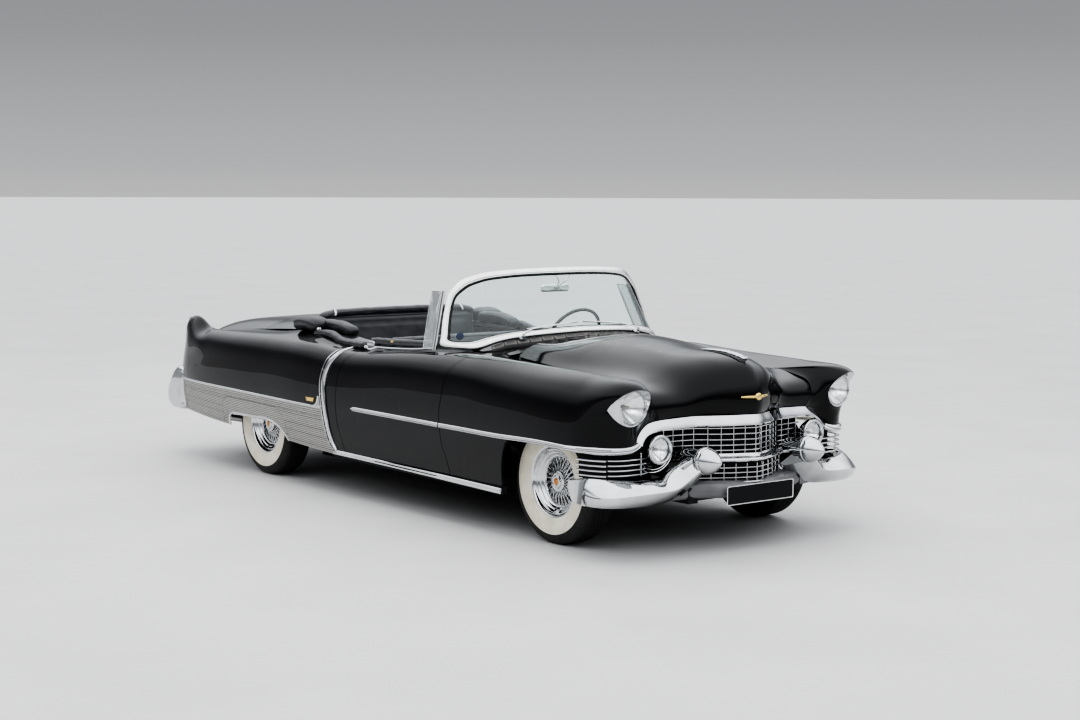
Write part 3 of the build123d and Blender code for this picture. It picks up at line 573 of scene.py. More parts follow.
# ============================================================ floor, light and camera
m, nt, b = nodes_of("stage_floor")
v = coords(nt)
nt.links.new(ramp(nt, noise(nt, v, 0.8, 5), [(0.3, (0.47, 0.47, 0.465)), (0.7, (0.52, 0.52, 0.515))]), b.inputs["Base Color"])
nt.links.new(spread(nt, noise(nt, v, 5, 5), 0.55, 0.75), b.inputs["Roughness"])
me = bpy.data.meshes.new("stage_floor")
ringpts = [(cos(a) * 260, sin(a) * 260, 0) for a in np.linspace(0, 2 * pi, 96, endpoint=False)]
me.from_pydata(ringpts, [], [tuple(range(96))])
me.materials.append(MATS["stage_floor"])
floor = bpy.data.objects.new("stage_floor", me)
C.scene.collection.objects.link(floor)

world = bpy.data.worlds.new("studio")
C.scene.world = world
world.use_nodes = True
nt = world.node_tree
nt.nodes.clear()
tc = nt.nodes.new("ShaderNodeTexCoord")
sx = nt.nodes.new("ShaderNodeSeparateXYZ")
bg = nt.nodes.new("ShaderNodeBackground")
wo = nt.nodes.new("ShaderNodeOutputWorld")
nt.links.new(tc.outputs["Generated"], sx.inputs[0])
mr = nt.nodes.new("ShaderNodeMapRange")
mr.inputs["From Min"].default_value, mr.inputs["From Max"].default_value = -1.0, 1.0
nt.links.new(sx.outputs["Z"], mr.inputs["Value"])
sky = ramp(nt, mr.outputs["Result"], [(0.0, (0.26,) * 3), (0.498, (0.28,) * 3), (0.503, (0.25, 0.253, 0.258)), (0.540, (0.165, 0.168, 0.174)), (0.575, (0.135, 0.139, 0.148)), (0.60, (0.19, 0.197, 0.21)), (0.64, (0.46, 0.475, 0.50)), (0.74, (0.94, 0.96, 0.99)), (1.0, (1.05, 1.06, 1.08))])
nt.links.new(sky, bg.inputs["Color"])
bg.inputs["Strength"].default_value = 1.15
nt.links.new(bg.outputs[0], wo.inputs[0])


def area(name, at, to, size, size_y, power, color=(1, 1, 1)):
    l = bpy.data.lights.new(name, "AREA")
    l.shape = "RECTANGLE"
    l.size, l.size_y, l.energy, l.color = size, size_y, power, color
    o = bpy.data.objects.new(name, l)
    o.location = at
    o.rotation_euler = (Vector(to) - Vector(at)).to_track_quat("-Z", "Y").to_euler()
    C.scene.collection.objects.link(o)
    return o


for o_ in (area("soft_top", (0.4, -1.2, 7.5), (0.2, 0, 0.6), 9.0, 4.5, 170), area("soft_front", (8.5, -3.5, 4.6), (1.5, -0.3, 0.7), 4.5, 2.4, 40), area("soft_rear", (-8.5, 4.0, 4.2), (-1.0, 0, 0.8), 5.0, 2.5, 24)):
    o_.visible_glossy = False

cam_data = bpy.data.cameras.new("camera")
cam_data.sensor_width = 36.0
cam_data.lens = 62.337
cam_data.clip_end = 600
camera = bpy.data.objects.new("camera", cam_data)
C.scene.collection.objects.link(camera)
yaw, pitch, roll = rad(142.6216), rad(-5.3852), rad(0.1534)
d = np.array([cos(pitch) * cos(yaw), cos(pitch) * sin(yaw), sin(pitch)])
r = unit(np.cross(d, (0, 0, 1)))
u = np.cross(r, d)
r2, u2 = cos(roll) * r + sin(roll) * u, -sin(roll) * r + cos(roll) * u
rot = Matrix((r2, u2, -d)).transposed().to_4x4()
camera.matrix_world = Matrix.Translation((10.26495, -7.33131, 2.05823)) @ rot
C.scene.camera = camera
C.scene.view_settings.view_transform = "AgX"
C.scene.view_settings.look = "AgX - High Contrast"
C.scene.view_settings.exposure = 0.55


# ============================================================ body side: one smooth surface for fenders, doors and quarters
# x | bottom y z | low y (z 520) | side y z | shoulder y z | crest y z | inner y z | edge y z
SIDE = np.array([
    (-2760, 800, 350, 815, 800, 755, 780, 835, 762, 865, 735, 850, 697, 845),
    (-2600, 890, 350, 915, 905, 760, 885, 893, 830, 940, 770, 932, 697, 920),
    (-2400, 940, 350, 968, 955, 770, 930, 915, 860, 972, 770, 962, 697, 952),
    (-1900, 982, 335, 1003, 992, 780, 962, 925, 880, 986, 770, 991, 697, 992),
    (-1377, 990, 318, 1010, 1000, 790, 968, 935, 885, 997, 770, 1011, 697, 1016),
    (-1100, 988, 308, 1009, 1000, 790, 968, 936, 885, 999, 770, 1030, 697, 1037),
    (-750, 982, 296, 1006, 996, 790, 965, 935, 882, 997, 770, 1046, 697, 1054),
    (-300, 972, 280, 996, 986, 785, 952, 920, 872, 970, 770, 1004, 690, 1022),
    (400, 962, 270, 986, 979, 800, 950, 940, 868, 1003, 770, 1010, 650, 1018),
    (1000, 962, 262, 988, 981, 815, 948, 955, 850, 1028, 760, 1036, 575, 1046),
    (1190, 964, 262, 990, 983, 815, 948, 958, 835, 1033, 750, 1030, 575, 1012),
    (1400, 966, 262, 993, 985, 815, 945, 955, 822, 1028, 740, 1019, 573, 985),
    (1763, 970, 262, 998, 988, 815, 942, 945, 806, 1014, 730, 1006, 573, 970),
    (2200, 965, 262, 992, 978, 815, 930, 940, 800, 1003, 725, 994, 573, 962),
    (2450, 950, 262, 962, 958, 815, 912, 930, 798, 992, 722, 981, 573, 948),
], float)
NX, NV = 560, 161
GX = np.linspace(-2740, 2440, NX)
rows = spline(SIDE[:, 0], SIDE[:, 1:], GX)
yb, zb, ym, yu, zu, ys, zs, yc, zc, yi, zi, yv, zv = rows.T
B = np.stack([yb, zb], -1)
Mid = np.stack([ym, np.full(NX, 520.0)], -1)
U, Sh, Cr = np.stack([yu, zu], -1), np.stack([ys, zs], -1), np.stack([yc, zc], -1)
In, Ed = np.stack([yi, zi], -1), np.stack([yv, zv], -1)
low = (B + Mid) / 2 + [4, 0]
up = (Mid + U) / 2 + [7, 0]
bul = (Sh + Cr) / 2 + unit(np.stack([Cr[:, 1] - Sh[:, 1], Sh[:, 0] - Cr[:, 0]], -1)) * 12
q1, q2 = Cr + (In - Cr) * 0.34 + [0, 1.5], Cr + (In - Cr) * 0.68 + [0, 1.0]
# the fin grows out of the rear fender
FIN_TOP = [(-2900, 1000), (-2600, 1030), (-2560, 1052), (-2510, 1064), (-2450, 1059), (-2390, 1037), (-2310, 1004), (-2215, 988), (-2100, 988), (-1900, 986)]
zf = pchip([p[0] for p in FIN_TOP], [p[1] for p in FIN_TOP], GX)
w = step(-2120, -2330, GX)[:, None]
shelf = zi + 6
FO = np.stack([np.full(NX, 868.0), zf - 20], -1)
FT = np.stack([np.full(NX, 838.0), zf], -1)
FI = np.stack([np.full(NX, 811.0), zf - 20], -1)
FF = np.stack([np.full(NX, 797.0), np.minimum(shelf + 8, zf - 24)], -1)
bul, Cr, q1, q2 = bul * (1 - w) + FO * w, Cr * (1 - w) + FT * w, q1 * (1 - w) + FI * w, q2 * (1 - w) + FF * w
SEC = np.stack([B, low, Mid, up, U, Sh, bul, Cr, q1, q2, In, Ed], 1)      # (NX, 12, 2)
KN = np.array([0, 10, 20, 31, 42, 60, 74, 88, 102, 118, 136, 160], float)
GRID = np.zeros((NX, NV, 2))
for i in range(NX):
    dd = np.r_[0, np.cumsum(np.linalg.norm(np.diff(SEC[i], axis=0), axis=1) ** 0.8)]
    GRID[i] = spline(dd, SEC[i], np.interp(np.arange(NV), KN, dd))
ker = np.exp(-0.5 * (np.arange(-6, 7) / 2.2) ** 2)
ker /= ker.sum()
padded = np.concatenate([2 * GRID[:1] - GRID[6:0:-1], GRID, 2 * GRID[-1:] - GRID[-2:-8:-1]])
GRID = sum(padded[i:i + NX] * ker[i] for i in range(13))
V_CREST = 88.0
V_TOP = 160.0


def body(x, v):
    """Point on the body side at station x (mm) and girth v (0 the bottom edge, 88 the crest, 160 the inner edge)."""
    x, v = np.broadcast_arrays(np.asarray(x, float), np.asarray(v, float))
    fi = np.clip((x - GX[0]) / (GX[1] - GX[0]), 0, NX - 1.001)
    fv = np.clip(v, 0, NV - 1.001)
    i, j = fi.astype(int), fv.astype(int)
    a, b = (fi - i)[..., None], (fv - j)[..., None]
    p = (GRID[i, j] * (1 - a) * (1 - b) + GRID[i + 1, j] * a * (1 - b) + GRID[i, j + 1] * (1 - a) * b + GRID[i + 1, j + 1] * a * b)
    return np.concatenate([x[..., None], p], -1)


def v_at_z(x, z):
    """Girth at which the outer side reaches height z, below the crest."""
    x, z = np.broadcast_arrays(np.asarray(x, float), np.asarray(z, float))
    lo, hi = np.zeros(x.shape), np.full(x.shape, 84.0)
    for _ in range(26):
        mid = (lo + hi) / 2
        below = body(x, mid)[..., 2] < z
        lo, hi = np.where(below, mid, lo), np.where(below, hi, mid)
    return (lo + hi) / 2


def v_at_y(x, y):
    """Girth on the top side where the surface comes in to y."""
    x, y = np.broadcast_arrays(np.asarray(x, float), np.asarray(y, float))
    lo, hi = np.full(x.shape, 90.0), np.full(x.shape, 160.0)
    for _ in range(26):
        mid = (lo + hi) / 2
        out = body(x, mid)[..., 1] > y
        lo, hi = np.where(out, mid, lo), np.where(out, hi, mid)
    return (lo + hi) / 2


def side_at(x, z):
    """Point on the outer side below the crest, and its outward direction."""
    x, z = np.broadcast_arrays(np.asarray(x, float), np.asarray(z, float))
    v = v_at_z(x, z)
    p = body(x, v)
    dx = body(x + 8, v) - body(x - 8, v)
    dv = body(x, v + 0.8) - body(x, v - 0.8)
    n = unit(np.cross(dx, dv))
    n = np.where(n[..., 1:2] < 0, -n, n)
    return p, n


def line_x(line):
    z = np.array([p[1] for p in line], float)
    x = np.array([p[0] for p in line], float)
    order = np.argsort(z)
    z, x = z[order], x[order]
    dense = np.linspace(z[0], z[-1], 300)
    xs = pchip(z, x, dense)
    return lambda q: np.interp(q, dense, xs)


GAP_FRONT = line_x([(1112, 1100), (1110, 1080), (1086, 1011), (1005, 916), (977, 808), (955, 651), (976, 497), (1030, 378), (1060, 240)])
GAP_REAR = line_x([(-55, 1100), (-60, 1080), (-99, 981), (-202, 883), (-237, 766), (-239, 632), (-227, 498), (-178, 368), (-140, 240)])
SCOOP = line_x([(-272, 1010), (-299, 972), (-399, 867), (-433, 746), (-411, 611), (-381, 478), (-334, 355), (-285, 301), (-270, 240)])   # its rear edge
TAIL_X = line_x([(-2672, 600), (-2672, 685), (-2578, 935), (-2566, 1040), (-2548, 1064)])
HALF_GAP = 2.6


def region(xl, xr, vb, vt, nu, nv, push=None, iters=9):
    """Grid on the body side between two lines x(z) and two girths v(x)."""
    s = np.linspace(0, 1, nu)[:, None]
    t = np.linspace(0, 1, nv)[None, :]
    x = np.zeros((nu, nv)) + s
    zl, zr = np.full((1, nv), 700.0), np.full((1, nv), 700.0)
    v = t * 100 + s * 0
    for _ in range(iters):
        a = xl(zl) if callable(xl) else np.full((1, nv), float(xl))
        b = xr(zr) if callable(xr) else np.full((1, nv), float(xr))
        x = a + (b - a) * s
        lo = vb(x) if callable(vb) else np.full(x.shape, float(vb))
        hi = vt(x) if callable(vt) else np.full(x.shape, float(vt))
        v = lo + (hi - lo) * t
        p = body(x, v)
        zl, zr = p[:1, :, 2], p[-1:, :, 2]
    return p


DOOR_BOTTOM = 307.0
MOULD = lambda x: np.interp(x, [-300, -55, 955, 1578, 1944, 2291, 2527], [602, 602, 599, 601, 609, 602, 612])
RIB_TOP = lambda x: np.interp(x, [-2660, -2424, -1616, -886, -519, -380], [598, 594, 589, 580, 575, 574])
RIB_BOTTOM = lambda x: np.interp(x, [-2660, -2391, -1661, -814, -302, -260], [362, 356, 322, 301, 274, 272])

# doors: outer skin on a boxed shell down to the inner face
def door(name, bodyname, side):
    p = region(lambda z: GAP_REAR(z) + HALF_GAP, lambda z: GAP_FRONT(z) - HALF_GAP, lambda x: v_at_z(x, DOOR_BOTTOM), lambda x: v_at_y(x, 772), 52, 44)
    s = Soup()
    s.grid(p)
    ring = np.vstack([p[0, :-1], p[:-1, -1], p[-1, :0:-1], p[:0:-1, 0]])
    n = normals_of(p)
    n = n if n[26, 10, 1] > 0 else -n
    rn = np.vstack([n[0, :-1], n[:-1, -1], n[-1, :0:-1], n[:0:-1, 0]])
    rows = [ring]
    for a in (35, 70, 90):
        rows.append(ring - rn * 3.0 * (1 - cos(rad(a))) - unit((ring - ring.mean(0)) * [1, 0, 1]) * -0.0)
    back = ring.copy()
    back[:, 1] = np.minimum(back[:, 1] - 14, 806)
    rows += [ring - rn * 14, back]
    inner = ring.copy()
    inner[:, 1] = np.minimum(back[:, 1] - 2, 800)
    inner[:, 0] += (inner[:, 0].mean() - inner[:, 0]) * 0.004
    rows.append(inner)
    s.grid(np.array(rows), close_v=True)
    c = inner.mean(0)
    c[1] = 800
    for k in (0.66, 0.33):
        rows.append(c + (inner - c) * k)
    s.grid(np.array([inner, c + (inner - c) * 0.66, c + (inner - c) * 0.33]), close_v=True, mat=1)
    s.raw(np.vstack([c + (inner - c) * 0.33, c[None]]), [(i, (i + 1) % len(inner), len(inner)) for i in range(len(inner))], 1)
    if side < 0:
        s = s.flipped()
    return s.make(name, ["paint", "leather"], body=bodyname, slot="black_paint", replaces=[name.replace("skin_", "")], angle=42)


door("skin_door_left", "door_left", 1)
door("skin_door_right", "door_right", -1)

# front fender: top and side down to the moulding, from the door gap to the start of the nose
NOSE_X = 2230.0
s = Soup()
vm = lambda x: v_at_z(x, MOULD(x))
upper1 = region(lambda z: GAP_FRONT(z) + HALF_GAP, 1188, vm, lambda x: v_at_y(x, 697), 12, 46)
# the upper part in one sheet: to y 697 behind the hood's rear edge, to the hood seam ahead of it
xs_top = lambda x: np.where(x < 1188, v_at_y(x, 697), v_at_y(x, 573.5))
blendtop = lambda x: v_at_y(x, 697 + (573.5 - 697) * step(1150, 1225, x))
upper = region(lambda z: GAP_FRONT(z) + HALF_GAP, NOSE_X, vm, blendtop, 64, 46)


# the nose, as rays from the headlamp's rim out to the fender section, hood seam, grille bar and moulding
LAMP = np.array([2545.0, 798.0, 844.0])
NR = 96
RIM = [(-5, 2474, 124), (8, 2498, 123), (30, 2560, 126), (60, 2620, 117), (90, 2640, 110), (120, 2626, 103), (150, 2594, 98), (180, 2562, 96), (225, 2546, 96), (270, 2538, 104), (300, 2530, 109), (328, 2514, 117), (346, 2490, 122), (355, 2474, 124)]
HOODSEAM = [(2230, 572, 963), (2330, 588, 947), (2410, 606, 928), (2468, 620, 902), (2496, 622, 862), (2508, 610, 822), (2508, 590, 784), (2500, 570, 752)]
ra = np.array([q[0] for q in RIM], float)
th = np.concatenate([np.linspace(-5, 355, NR, endpoint=False)])
rx = np.interp(th, ra, [q[1] for q in RIM])
rr = np.interp(th, ra, [q[2] for q in RIM])
for arr in (rx, rr):      # soften all but the point at the outer side
    for _ in range(3):
        keep = arr[:2].copy()
        arr[1:-1] = (arr[:-2] + 2 * arr[1:-1] + arr[2:]) / 4
rim_pts = np.column_stack([rx, LAMP[1] + rr * np.cos(np.radians(th)), LAMP[2] + rr * np.sin(np.radians(th))])
# outer loop: from the section's lowest point, up over the crest, along the hood seam, down the bar and back along the moulding
sec_v = np.linspace(float(vm(np.array([NOSE_X]))[0]), float(v_at_y(np.array([NOSE_X]), 573.5)[0]), 120)
sec = body(np.full(120, NOSE_X), sec_v)
seam = through(HOODSEAM, 60)
bar = through([(2500, 570, 752), (2494, 610, 744), (2490, 655, 724), (2492, 692, 690), (2498, 718, 655), (2506, 728, 622)], 50)
mx = through([(2506, 728, 622), (2516, 765, 613), (2508, 828, 609), (2462, 903, 606), (2370, 953, 604), (2230, float(sec[0, 1]), float(sec[0, 2]))], 60)
loop = np.vstack([sec[:-1], seam[:-1], bar[:-1], mx[:-1]])
ld = np.r_[0, np.cumsum(np.linalg.norm(np.diff(np.vstack([loop, loop[:1]]), axis=0), axis=1))]
marks_th = np.array([-38, 0, 45, 88, 108, 150, 176, 205, 232, 270, 300, 322], float)
total = ld[-1]
at_sec = lambda f: f * np.linalg.norm(np.diff(sec, axis=0), axis=1).sum()
Lsec, Lseam, Lbar, Lm = (np.linalg.norm(np.diff(a, axis=0), axis=1).sum() for a in (sec, seam, bar, mx))
marks_l = np.array([0, 0.30 * Lsec, 0.55 * Lsec, 0.84 * Lsec, Lsec, Lsec + 0.52 * Lseam, Lsec + 0.80 * Lseam, Lsec + Lseam,
                    Lsec + Lseam + 0.55 * Lbar, Lsec + Lseam + Lbar, Lsec + Lseam + Lbar + 0.42 * Lm, total], float)
tt = np.where(th < -38, th + 360, th)
tt = np.where(th > 322, th - 360, th)
ll = pchip(np.r_[marks_th[:-1], 322], marks_l, np.clip(tt, -38, 322)) % total
outer = np.column_stack([np.interp(ll, ld, np.r_[loop[:, j], loop[0, j]]) for j in range(3)])
on_sec = (ll <= Lsec + 1e-6)
# direction in which the surface leaves the outer loop towards the lamp
lead = np.zeros_like(outer)
svv = np.interp(ll, np.r_[0, np.cumsum(np.linalg.norm(np.diff(sec, axis=0), axis=1))], sec_v)
fw = unit(body(np.full(NR, NOSE_X), svv) - body(np.full(NR, NOSE_X - 60), svv))
keys_l = np.array([Lsec, Lsec + 0.35 * Lseam, Lsec + 0.8 * Lseam, Lsec + Lseam, Lsec + Lseam + 0.5 * Lbar, Lsec + Lseam + Lbar, Lsec + Lseam + Lbar + 0.3 * Lm, Lsec + Lseam + Lbar + 0.7 * Lm, total])
keys_d = np.array([(0.75, 0.64, 0.10), (0.35, 0.92, 0.16), (-0.05, 0.99, 0.12), (-0.28, 0.93, 0.2), (-0.3, 0.62, 0.72), (-0.02, 0.3, 0.95), (0.22, 0.1, 0.97), (0.30, 0.05, 0.95), (0.95, 0.05, 0.25)])
free = unit(np.column_stack([np.interp(ll, keys_l, keys_d[:, j]) for j in range(3)]))
lead = np.where(on_sec[:, None], fw, free)
arrive = unit(np.column_stack([np.full(NR, 0.72), -np.cos(np.radians(th)) * 0.55, -np.sin(np.radians(th)) * 0.55]))
bottomish = np.clip(-np.sin(np.radians(th)), 0, 1)[:, None]
arrive = unit(arrive * (1 - 0.35 * bottomish) + np.array([0.15, 0, 0.8]) * bottomish * 0.8)
span = np.linalg.norm(outer - rim_pts, axis=1)[:, None]
NRING = 18
nose = np.zeros((NRING, NR, 3))
for k, t in enumerate(np.linspace(0, 1, NRING)):
    h00, h10, h01, h11 = 2 * t ** 3 - 3 * t ** 2 + 1, t ** 3 - 2 * t ** 2 + t, -2 * t ** 3 + 3 * t ** 2, t ** 3 - t ** 2
    nose[k] = h00 * outer + h10 * lead * span * 0.95 + h01 * rim_pts + h11 * arrive * span * 0.8
for _ in range(6):        # even out the rays' neighbours, with both edges held
    mid = (np.roll(nose, 1, 1) + np.roll(nose, -1, 1)) / 2
    wgt = (np.sin(np.linspace(0, pi, NRING)) * 0.5)[:, None, None]
    nose = nose * (1 - wgt) + mid * wgt

lowr = region(lambda z: GAP_FRONT(z) + HALF_GAP, line_x([(1576, 200), (1590, 405), (1636, 560), (1660, 590), (1668, 612)]), lambda x: v_at_z(x, DOOR_BOTTOM), vm, 30, 22)


def rim_hem(soup, pts, inward, depth=22, edge=2.5, mat=0):
    """A turned-in edge along pts; inward is the direction of the hidden flange."""
    inward = unit(np.broadcast_to(inward, pts.shape))
    soup.grid(np.array([pts, pts + inward * depth]), mat=mat)


def fender(soup):
    panel(soup, upper, 8, 2.0, inner=False, sign=(0, 1, 0.4), hem=14)
    soup.grid(nose, close_v=True)
    panel(soup, lowr, 8, 2.0, inner=False, sign=(0, 1, 0), hem=18)
    rim_hem(soup, through([(1576, 0, 307), (1590, 0, 405), (1636, 0, 560), (1660, 0, 590), (1668, 0, 612)], 20), (0, -1, 0), 1)


fs = Soup()
fender(fs)
pair(fs, "skin_front_fender", ["paint"], replaces=(["front_fender_left"], ["front_fender_right"]), slot="black_paint", angle=42)

# rear quarter: black upper part with the fin
def proud(p):
    """The rear fender stands a little proud of the door, just behind the bright upright trim."""
    zz = p[..., 2]
    d = 6.0 * step(0, 1, (SCOOP(np.clip(zz, 245, 1005)) + 45 - p[..., 0]) / 60) * (1 - step(300, 900, SCOOP(np.clip(zz, 245, 1005)) - p[..., 0]))
    q = p.copy()
    q[..., 1] += d * (1 - step(930, 1000, zz))
    return q


vr = lambda x: v_at_z(x, RIB_TOP(x))
quarter_main = proud(region(TAIL_X, lambda z: SCOOP(np.clip(z, 245, 1005)) + 20, vr, lambda x: v_at_y(x, 697.5), 96, 92))
quarter_front = region(lambda z: SCOOP(np.clip(z, 245, 1005)) + 18, lambda z: GAP_REAR(z) - HALF_GAP, lambda x: v_at_z(x, DOOR_BOTTOM), lambda x: v_at_y(x, 775), 10, 60)
qs = Soup()
panel(qs, quarter_main, 8, 2.0, inner=False, sign=(0, 1, 0.4), hem=14)
panel(qs, quarter_front, 8, 2.0, inner=False, sign=(0, 1, 0.4), hem=16)
pair(qs, "skin_rear_quarter", ["paint"], replaces=(["rear_quarter_left"], ["rear_quarter_right"]), slot="black_paint", angle=42)

# ribbed aluminium lower quarter and the removable skirt
RIBS = 22


def ribbed(xl, xr, w0, w1, cols, rows_per=8):
    """Rows run along the ribs; w is the share of the height between the band's bottom and top lines."""
    nrow = max(3, int(round((w1 - w0) * RIBS)) * rows_per + 1)
    wv = np.linspace(w0, w1, nrow)
    g = np.zeros((cols, nrow, 3))
    for j, ww in enumerate(wv):
        x0 = x1 = None
        z0 = z1 = 450.0
        for _ in range(6):
            x0, x1 = float(xl(z0)), float(xr(z1))
            z0 = float(RIB_BOTTOM(x0) + (RIB_TOP(x0) - RIB_BOTTOM(x0)) * ww)
            z1 = float(RIB_BOTTOM(x1) + (RIB_TOP(x1) - RIB_BOTTOM(x1)) * ww)
        x = np.linspace(x0, x1, cols)
        z = RIB_BOTTOM(x) + (RIB_TOP(x) - RIB_BOTTOM(x)) * ww
        p, n = side_at(x, z)
        ph = (ww * RIBS) % 1.0
        g[:, j] = p + n * (0.4 + 3.4 * abs(sin(pi * ph)) ** 0.55)
    # faces along the bottom of each groove take the darker metal: painted shade in the grooves
    mids = ((wv[1:] + wv[:-1]) / 2 * RIBS) % 1.0
    dark_ = ((mids < 0.14) | (mids > 0.86)).astype(int)
    return proud(g), np.tile(dark_, (cols - 1, 1))


SK_R = line_x([(-1788, 240), (-1788, 438), (-1770, 505), (-1694, 534), (-1690, 540)])
SK_F = line_x([(-850, 240), (-856, 300), (-870, 386), (-922, 476), (-1011, 526), (-1015, 540)])
OPEN_R = line_x([(-1715, 240), (-1712, 310), (-1692, 395), (-1655, 421), (-1640, 426)])
OPEN_F = line_x([(-855, 240), (-865, 302), (-961, 383), (-1040, 412), (-1100, 425)])
REAR_END = line_x([(-2519, 240), (-2519, 640), (-2600, 672), (-2672, 690)])
w_open, w_skirt = 0.382, 0.795
rb = Soup()
for args in ((lambda z: -2519.0, lambda z: SK_R(z) - 1.6, 0.0, w_skirt, 20), (lambda z: SK_F(z) + 1.6, lambda z: SCOOP(z) + 12, 0.0, w_skirt, 18),
             (lambda z: -2519.0, lambda z: SCOOP(z) + 12, w_skirt + 0.006, 1.0, 56)):
    g, groove_shade = ribbed(*args)
    rb.grid(g, mat=groove_shade)
    for edge in (g[0], g[-1], g[:, 0], g[:, -1]):
        rb.grid(np.array([edge, edge - [0, 16, 0]]))
pair(rb, "ribbed_quarter", ["aluminium", "rib_groove_painted_shade"], slot="ribbed_aluminium", angle=60)
sk = Soup()
for args in ((lambda z: SK_R(z) + 1.6, OPEN_R, 0.0, w_open, 4), (OPEN_F, lambda z: SK_F(z) - 1.6, 0.0, w_open, 8),
             (lambda z: SK_R(z) + 1.6, lambda z: SK_F(z) - 1.6, w_open, w_skirt - 0.006, 34)):
    g, groove_shade = ribbed(*args)
    sk.grid(g, mat=groove_shade)
    for edge in (g[0], g[-1], g[:, 0], g[:, -1]):
        sk.grid(np.array([edge, edge - [0, 14, 0]]))
sk.mirror()
sk.make("ribbed_skirts", ["aluminium", "rib_groove_painted_shade"], slot="ribbed_aluminium", replaces=["fender_skirts"], angle=60)

# ============================================================ sheets across the car
def net(table, nu, nv, half=None, bow=0.0):
    """A smooth sheet through side profiles (half width, [(x, z) ...]); returned from the right side to the left."""
    ys_ = np.array([t[0] for t in table], float)
    pts = np.array([t[1] for t in table], float)
    chord = np.mean([np.r_[0, np.cumsum(np.linalg.norm(np.diff(p, axis=0), axis=1))] for p in pts], axis=0)
    u_ = np.linspace(0, chord[-1], nu)
    prof = np.stack([spline(chord, p, u_) for p in pts])          # (k, nu, 2)
    yy = np.r_[-ys_[::-1], ys_[1:]]
    full = np.concatenate([prof[::-1], prof[1:]])
    w_ = ys_[-1] if half is None else half
    yq = np.linspace(-w_, w_, nv)
    out = spline(yy, full.reshape(len(yy), -1), yq).reshape(nv, nu, 2)
    g = np.zeros((nu, nv, 3))
    g[..., 0], g[..., 1], g[..., 2] = out[..., 0].T, yq[None, :], out[..., 1].T
    return g


def net3(table, nu, nv):
    """A smooth sheet through rows of points in space, from the middle of the car out; returned from the right side to the left."""
    pts = np.array(table, float)
    m_ = pts[::-1][:-1] * [1, -1, 1]
    full = np.concatenate([m_, pts])
    chord = np.mean([np.r_[0, np.cumsum(np.linalg.norm(np.diff(p, axis=0), axis=1))] for p in pts], axis=0)
    u_ = np.linspace(0, 1, nu) ** 1.25 * chord[-1]
    prof = np.stack([spline(chord, p, u_) for p in full])
    wv = np.r_[0, np.cumsum(np.mean(np.linalg.norm(np.diff(full, axis=0), axis=2), axis=1))]
    out = spline(wv, prof.reshape(len(wv), -1), np.linspace(0, wv[-1], nv)).reshape(nv, nu, 3)
    return np.swapaxes(out, 0, 1)


HOOD = [
    [(2672, 0, 750), (2695, 0, 800), (2698, 0, 852), (2688, 0, 912), (2664, 0, 975), (2624, 0, 1030), (2545, 0, 1070), (2230, 0, 1100), (1740, 0, 1138), (1190, 0, 1160)],
    [(2655, 62, 750), (2677, 63, 800), (2680, 64, 852), (2670, 65, 912), (2646, 65, 972), (2608, 66, 1024), (2532, 68, 1064), (2230, 68, 1097), (1740, 68, 1136), (1190, 68, 1159)],
    [(2628, 124, 750), (2650, 126, 800), (2653, 128, 850), (2643, 130, 908), (2618, 132, 966), (2580, 134, 1014), (2508, 137, 1052), (2230, 138, 1088), (1740, 138, 1131), (1190, 138, 1156)],
    [(2594, 186, 750), (2613, 189, 800), (2616, 192, 848), (2606, 195, 902), (2580, 199, 954), (2542, 202, 998), (2474, 206, 1032), (2230, 210, 1072), (1740, 210, 1121), (1190, 210, 1150)],
    [(2554, 246, 750), (2572, 250, 800), (2575, 254, 844), (2564, 259, 892), (2537, 265, 938), (2498, 270, 976), (2432, 276, 1006), (2230, 282, 1046), (1740, 282, 1105), (1190, 282, 1141)],
    [(2517, 316, 751), (2533, 321, 799), (2534, 326, 838), (2522, 332, 878), (2494, 340, 914), (2452, 347, 944), (2394, 353, 969), (2230, 360, 1013), (1740, 360, 1079), (1190, 360, 1126)],
    [(2500, 404, 752), (2515, 409, 798), (2514, 414, 835), (2500, 420, 870), (2470, 427, 901), (2424, 433, 927), (2370, 438, 948), (2230, 442, 985), (1740, 442, 1040), (1190, 442, 1100)],
    [(2496, 486, 753), (2511, 500, 798), (2509, 512, 836), (2494, 520, 870), (2462, 522, 899), (2412, 519, 922), (2358, 514, 940), (2230, 508, 970), (1740, 506, 1002), (1190, 506, 1058)],
    [(2500, 565, 752), (2509, 593, 796), (2505, 613, 838), (2488, 617, 873), (2454, 612, 904), (2402, 600, 926), (2346, 586, 943), (2230, 567, 962), (1740, 567, 972), (1190, 567, 1014)],
]
hg = net3(HOOD, 96, 81)
# towards the windshield the hood flattens out
hg[..., 2] -= 46 * step(1640, 1190, hg[..., 0]) * (1 - step(270, 600, abs(hg[..., 1])))
hs = Soup()
panel(hs, hg, 8, 2.5, sign=(0.3, 0, 1), mat=0, mat_in=1, hem=12)
hood = hs.make("skin_hood", ["paint", "paint_inner"], body="hood", slot="black_paint", replaces=["hood"], angle=42)

